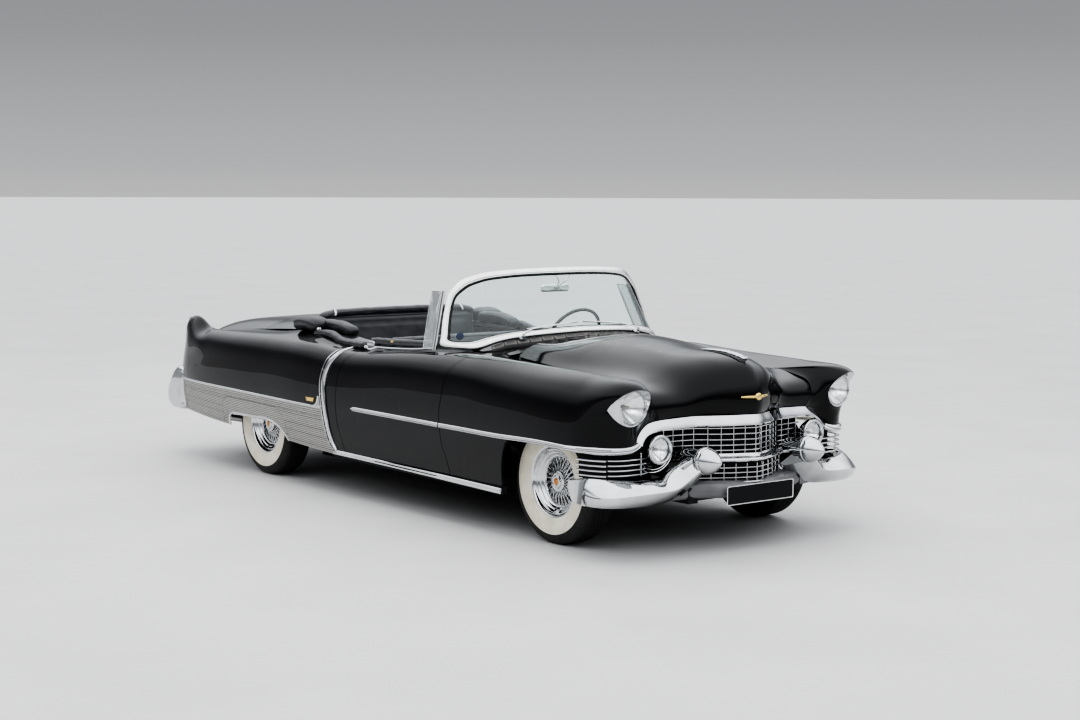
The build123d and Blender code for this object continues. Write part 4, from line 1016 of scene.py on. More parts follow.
LID = [
    (0, [(-2740, 705), (-2733, 780), (-2715, 850), (-2665, 950), (-2560, 1004), (-2350, 1044), (-2100, 1068), (-1702, 1086)]),
    (350, [(-2732, 705), (-2725, 780), (-2707, 845), (-2660, 942), (-2560, 996), (-2350, 1036), (-2100, 1060), (-1702, 1078)]),
    (600, [(-2706, 705), (-2700, 780), (-2682, 835), (-2640, 912), (-2550, 960), (-2350, 998), (-2100, 1020), (-1702, 1042)]),
    (690, [(-2690, 705), (-2684, 770), (-2664, 815), (-2620, 876), (-2530, 925), (-2350, 956), (-2100, 978), (-1702, 1006)]),
]
ls = Soup()
panel(ls, net(LID, 60, 57, 691), 8, 2.5, sign=(-0.3, 0, 1), mat_in=1, hem=12)
lid = ls.make("skin_trunk_lid", ["paint", "paint_inner"], body="trunk_lid", slot="black_paint", replaces=["trunk_lid"], angle=42)
COVER = [
    (0, [(-1696, 1086), (-1413, 1109), (-1130, 1126)]), (350, [(-1696, 1078), (-1413, 1100), (-1130, 1116)]),
    (600, [(-1696, 1042), (-1413, 1063), (-1130, 1080)]), (690, [(-1696, 1006), (-1413, 1024), (-1130, 1038)]),
]
cs = Soup()
panel(cs, net(COVER, 30, 57, 691), 8, 2.5, sign=(0, 0, 1), mat_in=1, hem=12)
cs.make("skin_top_boot_cover", ["paint", "paint_inner"], body="boot_cover", slot="black_paint", replaces=["top_boot_cover"], angle=42)
COWL = [
    (0, [(1184, 1114), (1070, 1112), (962, 1110)]), (300, [(1184, 1092), (1070, 1092), (962, 1092)]),
    (565, [(1184, 1029), (1070, 1056), (962, 1076)]), (690, [(1184, 1020), (1070, 1031), (962, 1040)]),
]
cw = Soup()
panel(cw, net(COWL, 20, 57, 694), 6, 2.0, sign=(0, 0, 1), hem=12)
cw.make("skin_cowl", ["paint"], slot="black_paint", replaces=["cowl_and_firewall"], angle=42)
# firewall under it, with pressed swages
fw_ = Soup()
slab(fw_, [(-686, 262), (-686, 1012), (-560, 1024), (-300, 1082), (0, 1101), (300, 1082), (560, 1024), (686, 1012), (686, 262), (150, 262), (150, 392), (-150, 392), (-150, 262)], 1140, 1151, "x", 3)
for z_ in (520, 610, 700, 790, 880, 960):
    fw_.grid(sweep(np.column_stack([np.full(30, 1151.0), np.linspace(-560, 560, 30), np.full(30, float(z_))]), half_round(26, 5, 9, 3), (1, 0, 0)), close_v=True, cap_u=True)
fw_.make("firewall_panel", ["paint_inner"], slot="black_paint", angle=42)

# tail panel with its sloping corners
TAIL_PLAN = [(-2737, 0), (-2729, 350), (-2703, 600), (-2688, 694)]
tp = through([(x, -y) for x, y in TAIL_PLAN[:0:-1]] + [(x, y) for x, y in TAIL_PLAN], 60)
ts = Soup()
zs_ = np.array([388, 430, 520, 620, 680, 696, 699])
off = np.array([14, 4, 0, 0, 0, 2, 8])
g = np.zeros((7, 60, 3))
for i in range(7):
    g[i, :, 0], g[i, :, 1], g[i, :, 2] = tp[:, 0] + off[i], tp[:, 1], zs_[i]
ts.grid(g)
ts.grid(g + [8, 0, 0])
a_, b_ = body(np.array([-2578.0]), np.array([100.0]))[0], None
corner = []
for z in np.linspace(688, 932, 14):
    x = float(TAIL_X(z))
    pv = side_at(np.array([x]), np.array([z]))[0][0]
    yo = pv[1] - 1
    xi = float(np.interp(z, [688, 780, 835, 876, 925, 940], [-2688, -2682, -2660, -2622, -2535, -2500]))
    corner.append(np.column_stack([np.interp(np.linspace(0, 1, 9), [0, 0.6, 1], [x, (x + xi) / 2 - 3, max(xi, -2700)]), np.linspace(yo, 699, 9), np.full(9, z)]))
ts.grid(np.array(corner))
tm = np.array(corner) * [1, -1, 1]
ts.grid(tm, flip=True)
ts.make("skin_tail_panel", ["paint"], slot="black_paint", replaces=["tail_panel"], angle=42)


# ============================================================ bright strips laid on the body side
def strip_on_side(soup, xs, zs, width, proud_by, n=60, taper=(0.0, 0.0), section=None, mat=0, foot=2.5, lift=0.0):
    xs, zs = np.asarray(xs, float), np.asarray(zs, float)
    path2 = through(np.column_stack([xs, zs]), n)
    p, nn = side_at(path2[:, 0], path2[:, 1])
    p = proud(p) + nn * lift
    sec = half_round(width, proud_by, 9, foot) if section is None else np.asarray(section, float)
    k = np.ones(n)
    t = np.linspace(0, 1, n)
    if taper[0]:
        k *= np.clip(0.12 + 0.88 * (t / taper[0]), 0, 1) ** 0.6
    if taper[1]:
        k *= np.clip(0.12 + 0.88 * ((1 - t) / taper[1]), 0, 1) ** 0.6
    soup.grid(sweep(p, sec, nn, scale=k), close_v=True, cap_u=True, mat=mat)
    return p, nn


TRIM_SEC = np.array([(15, -2.5), (15, 1.5), (12.5, 6), (7, 8.5), (1, 7.2), (-5, 9.2), (-11, 6.5), (-14.5, 2), (-15, -2.5)])
d_s = Soup()
strip_on_side(d_s, [-55, 300, 700, 949], [602, 600.5, 599.5, 599], 30, 9, 46, (0.03, 0), TRIM_SEC)
pair(d_s, "door_moulding", ["chrome"], bodies=("door_left", "door_right"), slot="chrome")
f_s = Soup()
strip_on_side(f_s, [958, 1250, 1578, 1944, 2200], [599, 600, 601, 609, 604], 30, 9, 50, (0, 0), TRIM_SEC)
# it carries on round the nose to the grille bar's end
pn = through([(2200, float(side_at(np.array([2200.0]), np.array([604.0]))[0][0, 1]), 604), (2230, float(sec[0, 1]), 604), (2370, 954, 603), (2464, 904, 603), (2512, 831, 606), (2520, 770, 612), (2508, 724, 626)], 60)
nx_ = [2200, 2370, 2464, 2512, 2520, 2521]
dn = np.r_[0, np.cumsum(np.linalg.norm(np.diff(pn, axis=0), axis=1))]
kn = [0, 0.35 * dn[-1], 0.62 * dn[-1], 0.8 * dn[-1], dn[-1]]
nn = unit(np.column_stack([np.interp(dn, kn, [0.03, 0.42, 0.78, 0.95, 1.0]), np.interp(dn, kn, [1.0, 0.9, 0.6, 0.32, 0.1]), np.zeros(60)]))
f_s.grid(sweep(pn, TRIM_SEC * np.array([1.0, 1.15]), nn, scale=np.column_stack([np.interp(dn, [0, 0.45 * dn[-1], dn[-1]], [1, 1.5, 1.35]), np.linspace(1, 1.5, 60)])), close_v=True, cap_u=True)
pair(f_s, "fender_moulding", ["chrome"], slot="chrome")

# rocker moulding below the doors, with a groove along it
rk = Soup()
rs = np.array([(15, -3), (15, 3), (12, 6), (4, 6), (2, 3.4), (-2, 3.4), (-4, 6), (-12, 6), (-15, 3), (-15, -3)])
xq = np.linspace(-300, 1570, 60)
ztop = np.interp(xq, [-300, 1570], [306, 291])
zbot = np.interp(xq, [-300, 1570], [276, 257])
pp = np.column_stack([xq, np.interp(xq, [-300, 400, 1570], [975, 966, 972]), (ztop + zbot) / 2])
rk.grid(sweep(pp, rs, (0, 1, 0), scale=np.column_stack([(ztop - zbot) / 30, np.ones(60)])), close_v=True, cap_u=True)
pair(rk, "rocker_moulding", ["chrome"], slot="chrome")

# bright moulding on the top edge of the ribbed panel, turning down at its front corner
t_s = Soup()
xq = np.linspace(-2655, -410, 70)
strip_on_side(t_s, xq, RIB_TOP(xq) + 1, 15, 6, 110, (0, 0))
curl = through([(-560, 576.5), (-520, 578), (-486, 585), (-461, 601), (-447, 625), (-440, 652)], 40)
cp_, cn_ = side_at(curl[:, 0], curl[:, 1])
t_s.grid(sweep(proud(cp_ + cn_ * 0.5), half_round(13, 6, 9, 5), cn_), close_v=True, cap_u=True)
pair(t_s, "quarter_moulding", ["chrome"], slot="chrome")
fp_ = Soup()
zq = np.linspace(577, 650, 14)
xq0 = np.interp(zq, curl[8:, 1], curl[8:, 0])
xq1 = SCOOP(zq) - 12
X_ = xq0[:, None] + (xq1 - xq0)[:, None] * np.linspace(0, 1, 8)[None]
P_, N_ = side_at(X_, np.broadcast_to(zq[:, None], X_.shape))
fp_.grid(proud(P_ + N_ * 1.6))
pair(fp_, "quarter_corner_fill", ["aluminium"], slot="ribbed_aluminium")

# upright trim at the front of each rear fender: a broad fluted band with cross ticks
zq = np.linspace(301, 968, 70)
wq = np.interp(zq, [301, 355, 480, 615, 750, 870, 968], [30, 44, 52, 56, 62, 66, 50])
xc = SCOOP(zq) + wq / 2 + 2
pz, nz = side_at(xc, zq)
pz = pz + nz * np.interp(zq, [301, 400, 900, 968], [3, 5, 5, 2])[:, None]
# over the shoulder the band follows the fender's top
vt0 = float(v_at_z(np.array([xc[-1]]), np.array([zq[-1]]))[0])
vs = np.linspace(vt0, 104, 16)[1:]
xtop = xc[-1] + np.linspace(0, 24, 16)[1:]
ptop = body(xtop, vs)
dvv = unit(body(xtop, vs + 1) - body(xtop, vs - 1))
ntop = unit(np.cross(np.array([1.0, 0, 0]), dvv))
ntop = np.where(ntop[:, 2:3] < 0, -ntop, ntop)
band = np.vstack([pz, ptop + ntop * 3])
nb = np.vstack([nz, ntop])
wb = np.r_[wq, np.linspace(48, 12, 15)]
bandsec = np.array([(0.5, -6), (0.5, 3), (0.46, 7), (0.40, 8.4), (0.28, 8.4), (0.24, 3.4), (0.06, 3.4), (0.02, 8.0), (-0.08, 9.4), (-0.22, 9.8), (-0.36, 8.8), (-0.46, 5.4), (-0.5, 1), (-0.5, -6)])
sc = Soup()
g = sweep(band, bandsec, nb, scale=np.column_stack([wb, np.r_[np.ones(70), np.linspace(1, 0.5, 15)]]))
sc.grid(g, close_v=True, cap_u=True, mat=lambda i, j: 1 if j in (4, 5, 6) else 0)
for i in range(6, 66, 8):      # raised ticks across the dark flute
    a = g[i, 3]
    e = g[i, 8]
    n1 = nb[i]
    tang = unit(band[i + 1] - band[i - 1])
    box_ = [c + tang * sgn * 2.2 + n1 * hgt for c in (a, e) for sgn in (-1, 1) for hgt in (-1.5, 3.0)]
    sc.raw(box_, [(0, 1, 3, 2), (4, 6, 7, 5), (0, 4, 5, 1), (2, 3, 7, 6), (1, 5, 7, 3), (0, 2, 6, 4)])
bolt = band[2] + nb[2] * 6
sc.grid(lathe([(0, 4), (4, 3.4), (6, 1), (6, -2)], bolt, nb[2], 18))
pair(sc, "rear_fender_scoop_trim", ["chrome", "gasket"], slot="chrome", angle=30)

# bright lip on the skirt's wheel opening
lipx = through([(-1709, 322), (-1690, 396), (-1646, 422), (-1357, 424), (-1100, 421), (-985, 390), (-900, 337), (-864, 304)], 90, sharp=(2,))
lp, ln = side_at(lipx[:, 0], lipx[:, 1])
lip = Soup()
lip.grid(sweep(lp + ln * 1.5, half_round(17, 7, 9, 8), ln), close_v=True, cap_u=True)
lip.mirror()
lip.make("skirt_opening_lip", ["chrome"], slot="chrome")

# belt strip along the foot of the door-top roll, ending at the windshield post
bs = Soup()
bp_ = through([(-50, 861, 1003), (120, 862, 1006), (466, 861, 1022), (640, 858, 1038), (700, 850, 1046)], 60)
bs.grid(sweep(bp_, half_round(14, 6, 9, 5), unit(np.array([0, 0.55, 0.83]))), close_v=True, cap_u=True)
pair(bs, "belt_strip", ["chrome"], bodies=("door_left", "door_right"), slot="chrome")

# lock and latch cap at the rear of each door top, with the push-button handle beside it
lc = Soup()
slab(lc, [(-46, 1002), (44, 1006), (40, 1034), (20, 1043), (-30, 1041), (-46, 1030)], 800, 872, "y", 7, corner=6)
tube(lc, through([(-30, 880, 1004), (10, 900, 994), (60, 900, 995), (88, 884, 1004)], 20), 6, ends=True)
lc.grid(lathe([(0, 10), (8, 9), (11, 5), (12, -8)], (-34, 886, 1000), (0, 0.8, 0.6), 24))
pair(lc, "door_latch_cap", ["chrome"], bodies=("door_left", "door_right"), slot="chrome")
# blank gilt badge on each quarter and on each door roll
bg_ = Soup()
c0, cn = side_at(np.array([-540.0]), np.array([621.0]))
tx = np.array([1.0, 0, 0])
tz = unit(np.cross(tx, cn[0]))
o = rounded([(-44, -13), (44, -13), (50, 8), (56, 13), (-56, 13), (-50, 8)], 4, 4)
rows = []
for h_, f_ in ((-2, 1.0), (4.5, 1.0), (6.6, 0.92), (7.0, 0.80), (6.0, 0.76), (6.0, 0.3)):
    rows.append([proud(c0[0] + cn[0] * h_ + tx * q[0] * f_ + tz * q[1] * f_) for q in o])
bg_.grid(np.array(rows), close_v=True, cap_u=True)
pair(bg_, "quarter_badge", ["gilt"], slot="chrome")

# ============================================================ wheels and tyres
def whitewall_tyre(name, x, yc, bodyname, node):
    prof = np.array([(199, -74), (206, -84), (222, -92), (250, -99.5), (285, -102.5), (318, -99), (338, -91), (348, -84), (354, -77), (357.5, -71),
                     (359.6, -60), (360, -30), (360, 0), (360, 30), (359.6, 60), (357.5, 71), (354, 77), (348, 84), (338, 91), (318, 99),
                     (302, 101.4), (299, 101.0), (285, 102.5), (250, 99.5), (222, 92.5), (206, 84), (199, 76)])
    smooth_a = through(prof[:10], 15)
    flat = []
    for l in np.linspace(-68, 68, 51):
        flat.append((360 - 1.6 * (l / 68) ** 4, l))
    smooth_b = through(prof[15:], 22)
    pr = np.vstack([smooth_a, flat, smooth_b])

    def tread(r_, l_, a_):
        on = np.abs(l_) < 69
        zig = 3.0 * np.sign(np.sin(a_ * 60))
        groove = np.zeros_like(r_)
        for c_ in (-46, -23, 0, 23, 46):
            groove = np.maximum(groove, (np.abs(l_ - c_ - zig) < 2.6) * 7.0)
        sipe = ((np.sin(a_ * 120 + l_ * 0.05) > 0.82) & (np.abs(np.abs(l_) - 58) < 10)) * 5.0
        return r_ - np.where(on, np.maximum(groove, sipe), 0), l_
    seg = 240
    g = lathe(pr, (x, yc, 360), (0, 1, 0), seg, wobble=tread)
    band_m = np.zeros((len(pr) - 1, seg), int)
    mid_r = (pr[1:, 0] + pr[:-1, 0]) / 2
    mid_l = (pr[1:, 1] + pr[:-1, 1]) / 2
    band_m[(mid_l > 80) & (mid_r < 301.5) & (mid_r > 205)] = 1
    s_ = Soup()
    s_.grid(g, close_v=True, mat=band_m)
    s_.grid(lathe([(199, -74), (197.6, -60), (197.6, 60), (199, 76)], (x, yc, 360), (0, 1, 0), seg), close_v=True)
    return s_


def spread_rows(name, x, yc):
    """Rim, hub and spokes in the wheel's own place; outer face toward +y."""
    c = (x, yc, 360)
    ax = (0, 1, 0)
    s_ = Soup()
    rim = [(196, -78), (205, -80), (206, -76), (198, -70), (190, -62), (182, -50), (176, -20), (174, 0), (178, 16), (184, 30), (190, 46), (195, 60), (200, 70), (206, 77), (209, 81), (207, 84.5),
           (202, 84), (197, 80), (194, 72), (190, 64), (186, 60), (182, 60), (178, 56), (173, 47), (168, 44), (164, 44), (160, 40), (155, 32), (149, 29), (145, 29), (141, 25), (139, 19), (139, -14), (146, -22), (168, -30), (176, -52), (184, -68), (196, -78)]
    s_.grid(lathe(rim, c, ax, 96), close_v=True)
    hub = [(30, -16), (50, -12), (52, 0), (50, 10), (47, 18), (46, 34), (52, 40), (58, 43), (60, 47), (58, 52), (53, 54.5), (46, 55), (43, 53), (40, 53), (38, 56), (36, 60), (31, 62.5), (26, 63.2), (23, 62.0), (21.5, 61.2), (21, 61.0)]
    s_.grid(lathe(hub, c, ax, 72), close_v=True)
    med = [(21, 61.0), (20, 62.4), (18.8, 62.6), (18, 61.6)]
    s_.grid(lathe(med, c, ax, 48), close_v=True, mat=1)
    s_.grid(lathe([(18, 61.6), (12, 62.6), (5, 63.4), (0, 63.6)], c, ax, 48), close_v=True, mat=2)
    # a plain raised six-petal boss on the medallion
    for k in range(6):
        a = k * pi / 3
        pc = np.array([x + 8.5 * cos(a), yc + 62.6, 360 + 8.5 * sin(a)])
        s_.grid(lathe([(0, 1.6), (2.4, 1.2), (3.6, 0), (3.7, -1)], pc, ax, 10), close_v=True, mat=1)
    # crossed wire spokes in three rows
    def spoke(a0, r0, l0, a1, r1, l1, rad_=2.5):
        p = np.array([[x + r0 * cos(a0), yc + l0, 360 + r0 * sin(a0)], [x + r1 * cos(a1), yc + l1, 360 + r1 * sin(a1)]])
        d_ = unit(p[1] - p[0])
        nip = p[1] - d_ * 15
        s_.grid(sweep(np.array([p[0], (p[0] + p[1]) / 2, p[1]]), circle(rad_, 6), (0.2, 1, 0.1)), close_v=True)
        s_.grid(sweep(np.array([nip, p[1]]), circle(3.9, 6), (0.2, 1, 0.1)), close_v=True)
    N = 25
    for k in range(N):
        a = 2 * pi * k / N
        for sgn in (1, -1):
            spoke(a + sgn * 0.30, 47, 38, a - sgn * 0.06 + 0.06, 140, 22)
        spoke(a + 0.12 + 0.34, 50, 0, a + 0.12 - 0.02, 140, 2)
        spoke(a + 0.12 - 0.34, 50, 0, a + 0.12 + 0.14, 140, -6)
    # valve stem
    s_.grid(sweep(np.array([[x, yc + 34, 360 - 156], [x, yc + 60, 360 - 161], [x, yc + 72, 360 - 164]]), circle(4, 10), (1, 0, 0)), close_v=True, cap_u=True, mat=3)
    # the closed well behind the spokes
    s_.grid(lathe([(139, -12), (120, -20), (66, -24), (30, -16)], c, ax, 72), close_v=True, mat=4)
    return s_


WM = ["chrome_wheel", "gilt", "enamel_red", "rubber", "dark_steel"]
for nm, x_, tr, bl, br in (("front", 1900.0, 1524.0, "road_wheel_fl", "road_wheel_fr"), ("rear", -1377.0, 1603.0, "road_wheel_rl", "road_wheel_rr")):
    w_ = spread_rows(nm, x_, tr / 2)
    pair(w_, "wire_wheel_" + nm, WM, bodies=(bl, br), replaces=([f"wheel_{nm}_left"], [f"wheel_{nm}_right"]), slot="chrome", angle=34)
    t_ = whitewall_tyre(nm, x_, tr / 2, None, None)
    pair(t_, "whitewall_tyre_" + nm, ["tyre", "whitewall"], bodies=(bl, br), replaces=([f"tyre_{nm}_left"], [f"tyre_{nm}_right"]), slot="tyre", angle=30)

# ============================================================ front: grille
gr = Soup()


def bar_path(plan, z, n=61, y_max=None):
    half_ = np.array(plan, float)
    pts = np.vstack([np.column_stack([half_[::-1, 0], half_[::-1, 1]]), np.column_stack([half_[1:, 0], -half_[1:, 1]])])
    p_ = through(pts, n)
    return np.column_stack([p_, np.full(n, float(z))])


ROUND_BAR = rounded([(4.2, -16), (4.2, -2), (2.6, 1.2), (-2.6, 1.2), (-4.2, -2), (-4.2, -16)], 2, 2)
GRILLE = [(2683, 0), (2661, 65), (2636, 130), (2603, 193), (2562, 257), (2516, 321), (2496, 390), (2487, 454), (2480, 540)]
LOWER = [(2697, 0), (2679, 66), (2656, 128), (2625, 192), (2587, 254), (2550, 318)]
LIP = [(2712, 0), (2694, 66), (2671, 128), (2640, 192), (2606, 250), (2590, 300), (2590, 350)]


def out_dir(p_):
    t_ = unit(np.gradient(p_, axis=0))
    n_ = np.cross(t_, (0, 0, 1))
    return np.where(n_[:, 0:1] < 0, -n_, n_)


for z in (568, 597, 628, 660, 693):
    p_ = bar_path(GRILLE, z, 101)
    gr.grid(sweep(p_, ROUND_BAR, out_dir(p_)), close_v=True, cap_u=True)
for z in (414, 442, 471):
    p_ = bar_path(LOWER, z, 81)
    gr.grid(sweep(p_, ROUND_BAR, out_dir(p_)), close_v=True, cap_u=True)
V_SEC = rounded([(2.6, -20), (2.6, -4), (1.5, -2.0), (-1.5, -2.0), (-2.6, -4), (-2.6, -20)], 1, 2)


def uprights(plan_, pitch, count, z0, z1):
    gp = bar_path(plan_, 0, 401)
    for k in range(-count, count + 1):
        y = k * pitch
        i = int(np.argmin(abs(gp[:, 1] - y)))
        x = float(gp[i, 0])
        n_ = out_dir(gp)[i]
        pth = np.array([[x, y, z] for z in np.linspace(z0, z1, 5)])
        gr.grid(sweep(pth, V_SEC, n_), close_v=True, cap_u=True)


uprights(GRILLE, 64.5, 8, 548, 716)
uprights(LOWER, 63.5, 5, 392, 494)
# lower grille's frame: foot and ends
FRAME_SEC = rounded([(8, -22), (8, -1), (4, 4), (-4, 4), (-8, -1), (-8, -22)], 3, 3)
lo = np.array(LOWER, float)
foot = through(np.vstack([[(2530, -352, 450), (2545, -345, 405)], np.column_stack([lo[::-1, 0] + 2, -lo[::-1, 1], np.full(len(lo), 386)])[1:],
                          np.column_stack([lo[1:, 0] + 2, lo[1:, 1], np.full(len(lo) - 1, 386)])[:-1], [(2545, 345, 405), (2530, 352, 450)]]), 110)
gr.grid(sweep(foot, FRAME_SEC, out_dir(np.column_stack([foot[:, 0], foot[:, 1], np.zeros(110)]))), close_v=True, cap_u=True)
# the shelf between the two grilles, running out to a thick rolled lip
lipp = bar_path(LIP, 0, 121)
shelf_in = bar_path(GRILLE, 0, 401)
rows = []
for t, dz in ((0, 549), (0.12, 541), (0.4, 533), (0.7, 529), (0.88, 529), (0.95, 528)):
    q = []
    for i in range(121):
        y = lipp[i, 1]
        xi = float(shelf_in[int(np.argmin(abs(shelf_in[:, 1] - y))), 0]) + 2
        q.append((xi + (lipp[i, 0] - xi) * t, y, dz))
    rows.append(q)
rows = [np.array(q, float) for q in rows]
ol = out_dir(lipp)
for dx, z in ((2, 528), (7, 525), (10, 519), (9, 512), (4, 507), (-6, 505), (-24, 506), (-40, 510)):
    rows.append(np.column_stack([lipp[:, 0] + ol[:, 0] * dx, lipp[:, 1] + ol[:, 1] * dx, np.full(121, z)]))
gr.grid(np.array(rows))
# top bar: a broad sloping band that turns down round the fog lamps to meet the side mouldings
TOPP = [(2681, 0, 738), (2660, 65, 737.5), (2637, 130, 737), (2604, 193, 736), (2563, 257, 735), (2518, 321, 733), (2506, 390, 731), (2500, 454, 729), (2496, 530, 726), (2493, 585, 722), (2488, 632, 711), (2486, 672, 691), (2490, 700, 666), (2496, 716, 642), (2502, 724, 622)]
top = np.array(TOPP)
NT = 200
tpth = through(np.vstack([top[::-1], top[1:] * [1, -1, 1]]), NT)
tsec = np.array([(-20, -30), (-30, 8), (-30, 19), (-27.5, 25), (-22, 27.5), (-12, 25), (4, 18.5), (18, 11.8), (26, 8.2), (29.5, 6.6), (30.5, 5), (29, 3.8), (13, 3.4), (9, -8), (6, -34)])
flat_t = np.column_stack([tpth[:, 0], tpth[:, 1], np.zeros(NT)])
onward = out_dir(flat_t)
bend = step(560, 700, abs(tpth[:, 1]))[:, None]
outw = unit(onward * (1 - bend) + np.array([1.0, 0, 0]) * bend + np.column_stack([np.zeros(NT), np.sign(tpth[:, 1]) * 0.35 * bend[:, 0], 0.15 * bend[:, 0]]))
wk = np.column_stack([np.interp(abs(tpth[:, 1]), [0, 560, 690, 724], [1.0, 0.98, 0.92, 0.86]), np.interp(abs(tpth[:, 1]), [0, 560, 724], [1.0, 1.0, 0.8])])
gr.grid(sweep(tpth, tsec, outw, scale=wk), close_v=True, cap_u=True)
SIDE_BARS = [(2276, 966), (2360, 950), (2446, 902), (2494, 830), (2504, 760), (2500, 684), (2486, 620)]
for z in (462, 490, 518, 546):
    p2 = through(SIDE_BARS, 40)
    for sg in (1, -1):
        p_ = np.column_stack([p2[:, 0], p2[:, 1] * sg, np.full(40, z + 4.0)])
        nn_ = unit(np.column_stack([-(np.gradient(p2[:, 1])), np.gradient(p2[:, 0]) * sg * -1, np.zeros(40)]))
        nn_ = np.where(nn_[:, 0:1] < 0, -nn_, nn_)
        gr.grid(sweep(p_, rounded([(4.6, -14), (4.6, -2), (2.4, 1), (-2.4, 1), (-4.6, -2), (-4.6, -14)], 2, 2), nn_), close_v=True, cap_u=True)
for sg in (1, -1):
    for z in (466, 494, 522, 550):       # clips that hold the bars, and one post beside the lamp
        gr.grid(lathe([(0, 4), (5, 3.2), (7, 0), (7, -10)], (2441, 904 * sg, z), (0.5, 0.85 * sg, 0), 12), close_v=True)
    gr.grid(sweep(np.array([[2494, 692 * sg, 456], [2494, 692 * sg, 520], [2494, 692 * sg, 584]]), circle(4, 8), (1, 0, 0)), close_v=True, cap_u=True)
    # bars that curl under the lamp
    for r_, x_ in ((100, 2500), (118, 2496), (136, 2490)):
        a_ = np.radians(np.linspace(196, 318, 30))
        q = np.column_stack([x_ + 6 * np.sin(a_), (596 - np.cos(a_) * -r_) * sg, 590 + np.sin(a_) * r_ * 0.92])
        q = q[q[:, 2] > 458]
        gr.grid(sweep(q, circle(4.2, 8, 7), (1, 0, 0)), close_v=True, cap_u=True)
    # the egg-crate carries on, set back, behind the bumper's neck
    gy_ = np.linspace(322, 520, 30)
    gx_ = np.interp(gy_, [q[1] for q in GRILLE], [q[0] for q in GRILLE]) - 14
    for z in (516, 541):
        gr.grid(sweep(np.column_stack([gx_ - (560 - z) * 0.3, gy_ * sg, np.full(30, float(z))]), ROUND_BAR if sg < 0 else ROUND_BAR * [-1, 1], (1, 0, 0)), close_v=True, cap_u=True)
    for y_ in np.arange(322.5, 520, 32.25):
        xg = float(np.interp(y_, gy_, gx_))
        gr.grid(sweep(np.array([[xg - 2, y_ * sg, 566], [xg - 8, y_ * sg, 540], [xg - 20, y_ * sg, 506]]), rounded([(-3, -12), (3, -12), (2, 1), (-2, 1)], 1, 1), (1, 0, 0)), close_v=True, cap_u=True)
gr.make("eggcrate_grille", ["chrome"], slot="chrome", replaces=["front_grille"], angle=32)
# dark mesh-like backing behind the grilles, painted shade for the shadowed space behind the bars, so that no light
# comes through from behind
bk = Soup()
for plan_, z0, z1, dx in ((GRILLE, 500, 752, -46), (LOWER, 380, 520, -46)):
    p_ = bar_path(plan_, 0, 41)
    gg = np.stack([np.column_stack([p_[:, 0] + dx, p_[:, 1], np.full(41, z)]) for z in (z0, (z0 + z1) / 2, z1)])
    bk.grid(gg)
    bk.grid(gg - [4, 0, 0])
for sg in (1, -1):
    p2 = through(SIDE_BARS, 30)
    gg = np.stack([np.column_stack([p2[:, 0] - 40, (p2[:, 1] - 40) * sg, np.full(30, z)]) for z in (440, 520, 600)])
    bk.grid(gg)
    bk.grid(gg - [4, 4 * sg, 0])
bk.make("grille_painted_shade_backing", ["underseal"], slot="dark_steel")

# ============================================================ front bumper
RIDGE = [(2252, 964, 436), (2330, 970, 448), (2420, 955, 452), (2492, 905, 450), (2534, 840, 445), (2560, 760, 441), (2570, 685, 440), (2568, 615, 441), (2570, 560, 474), (2588, 500, 514), (2622, 452, 556), (2680, 416, 572)]
CREASE = [(2238, 982, 420), (2330, 999, 398), (2440, 1001, 374), (2530, 975, 362), (2590, 915, 366), (2642, 822, 377), (2668, 728, 383), (2678, 640, 387), (2676, 566, 398), (2686, 506, 434), (2708, 462, 474), (2732, 436, 500)]
FOOT = [(2246, 962, 326), (2330, 986, 310), (2428, 988, 304), (2505, 952, 303), (2552, 890, 303), (2578, 802, 304), (2586, 718, 305), (2582, 642, 307), (2574, 570, 311), (2568, 505, 317), (2566, 448, 334), (2580, 336, 436)]
NW = 90
dk = np.r_[0, np.cumsum(np.linalg.norm(np.diff(np.array(CREASE, float), axis=0), axis=1))]
at_ = np.linspace(0, dk[-1], NW)
R_, K_, F_ = (spline(dk, np.array(c, float), at_) for c in (RIDGE, CREASE, FOOT))
# the outer tip is rounded: the section closes in over its last few centimetres
ease = np.sqrt(np.clip(1 - (1 - np.clip(at_ / 92, 0, 1)) ** 2, 0, 1))[:, None]
F_ = K_ + (F_ - K_) * (0.34 + 0.66 * ease) + np.array([0, -10.0, 0]) * (1 - ease)
R_ = K_ + (R_ - K_) * (0.62 + 0.38 * ease) + np.array([0, -6.0, 0]) * (1 - ease)
K_ = K_ + np.array([0, -12.0, 3.0]) * (1 - ease)
outn = out_dir(np.column_stack([K_[:, 0], K_[:, 1], np.zeros(NW)]))
outn = unit(np.column_stack([np.abs(outn[:, 0]), np.abs(outn[:, 1]) * np.sign(outn[:, 1]), np.zeros(NW)]))
zup = np.array([0, 0, 1.0])
fu = unit(np.cross(K_ - R_, np.gradient(K_, axis=0)))
fu = np.where(fu[:, 2:3] < 0, -fu, fu)
fl_ = unit(np.cross(F_ - K_, np.gradient(K_, axis=0)))
fl_ = np.where(np.sum(fl_ * outn, 1, keepdims=True) < 0, -fl_, fl_)
back = -outn
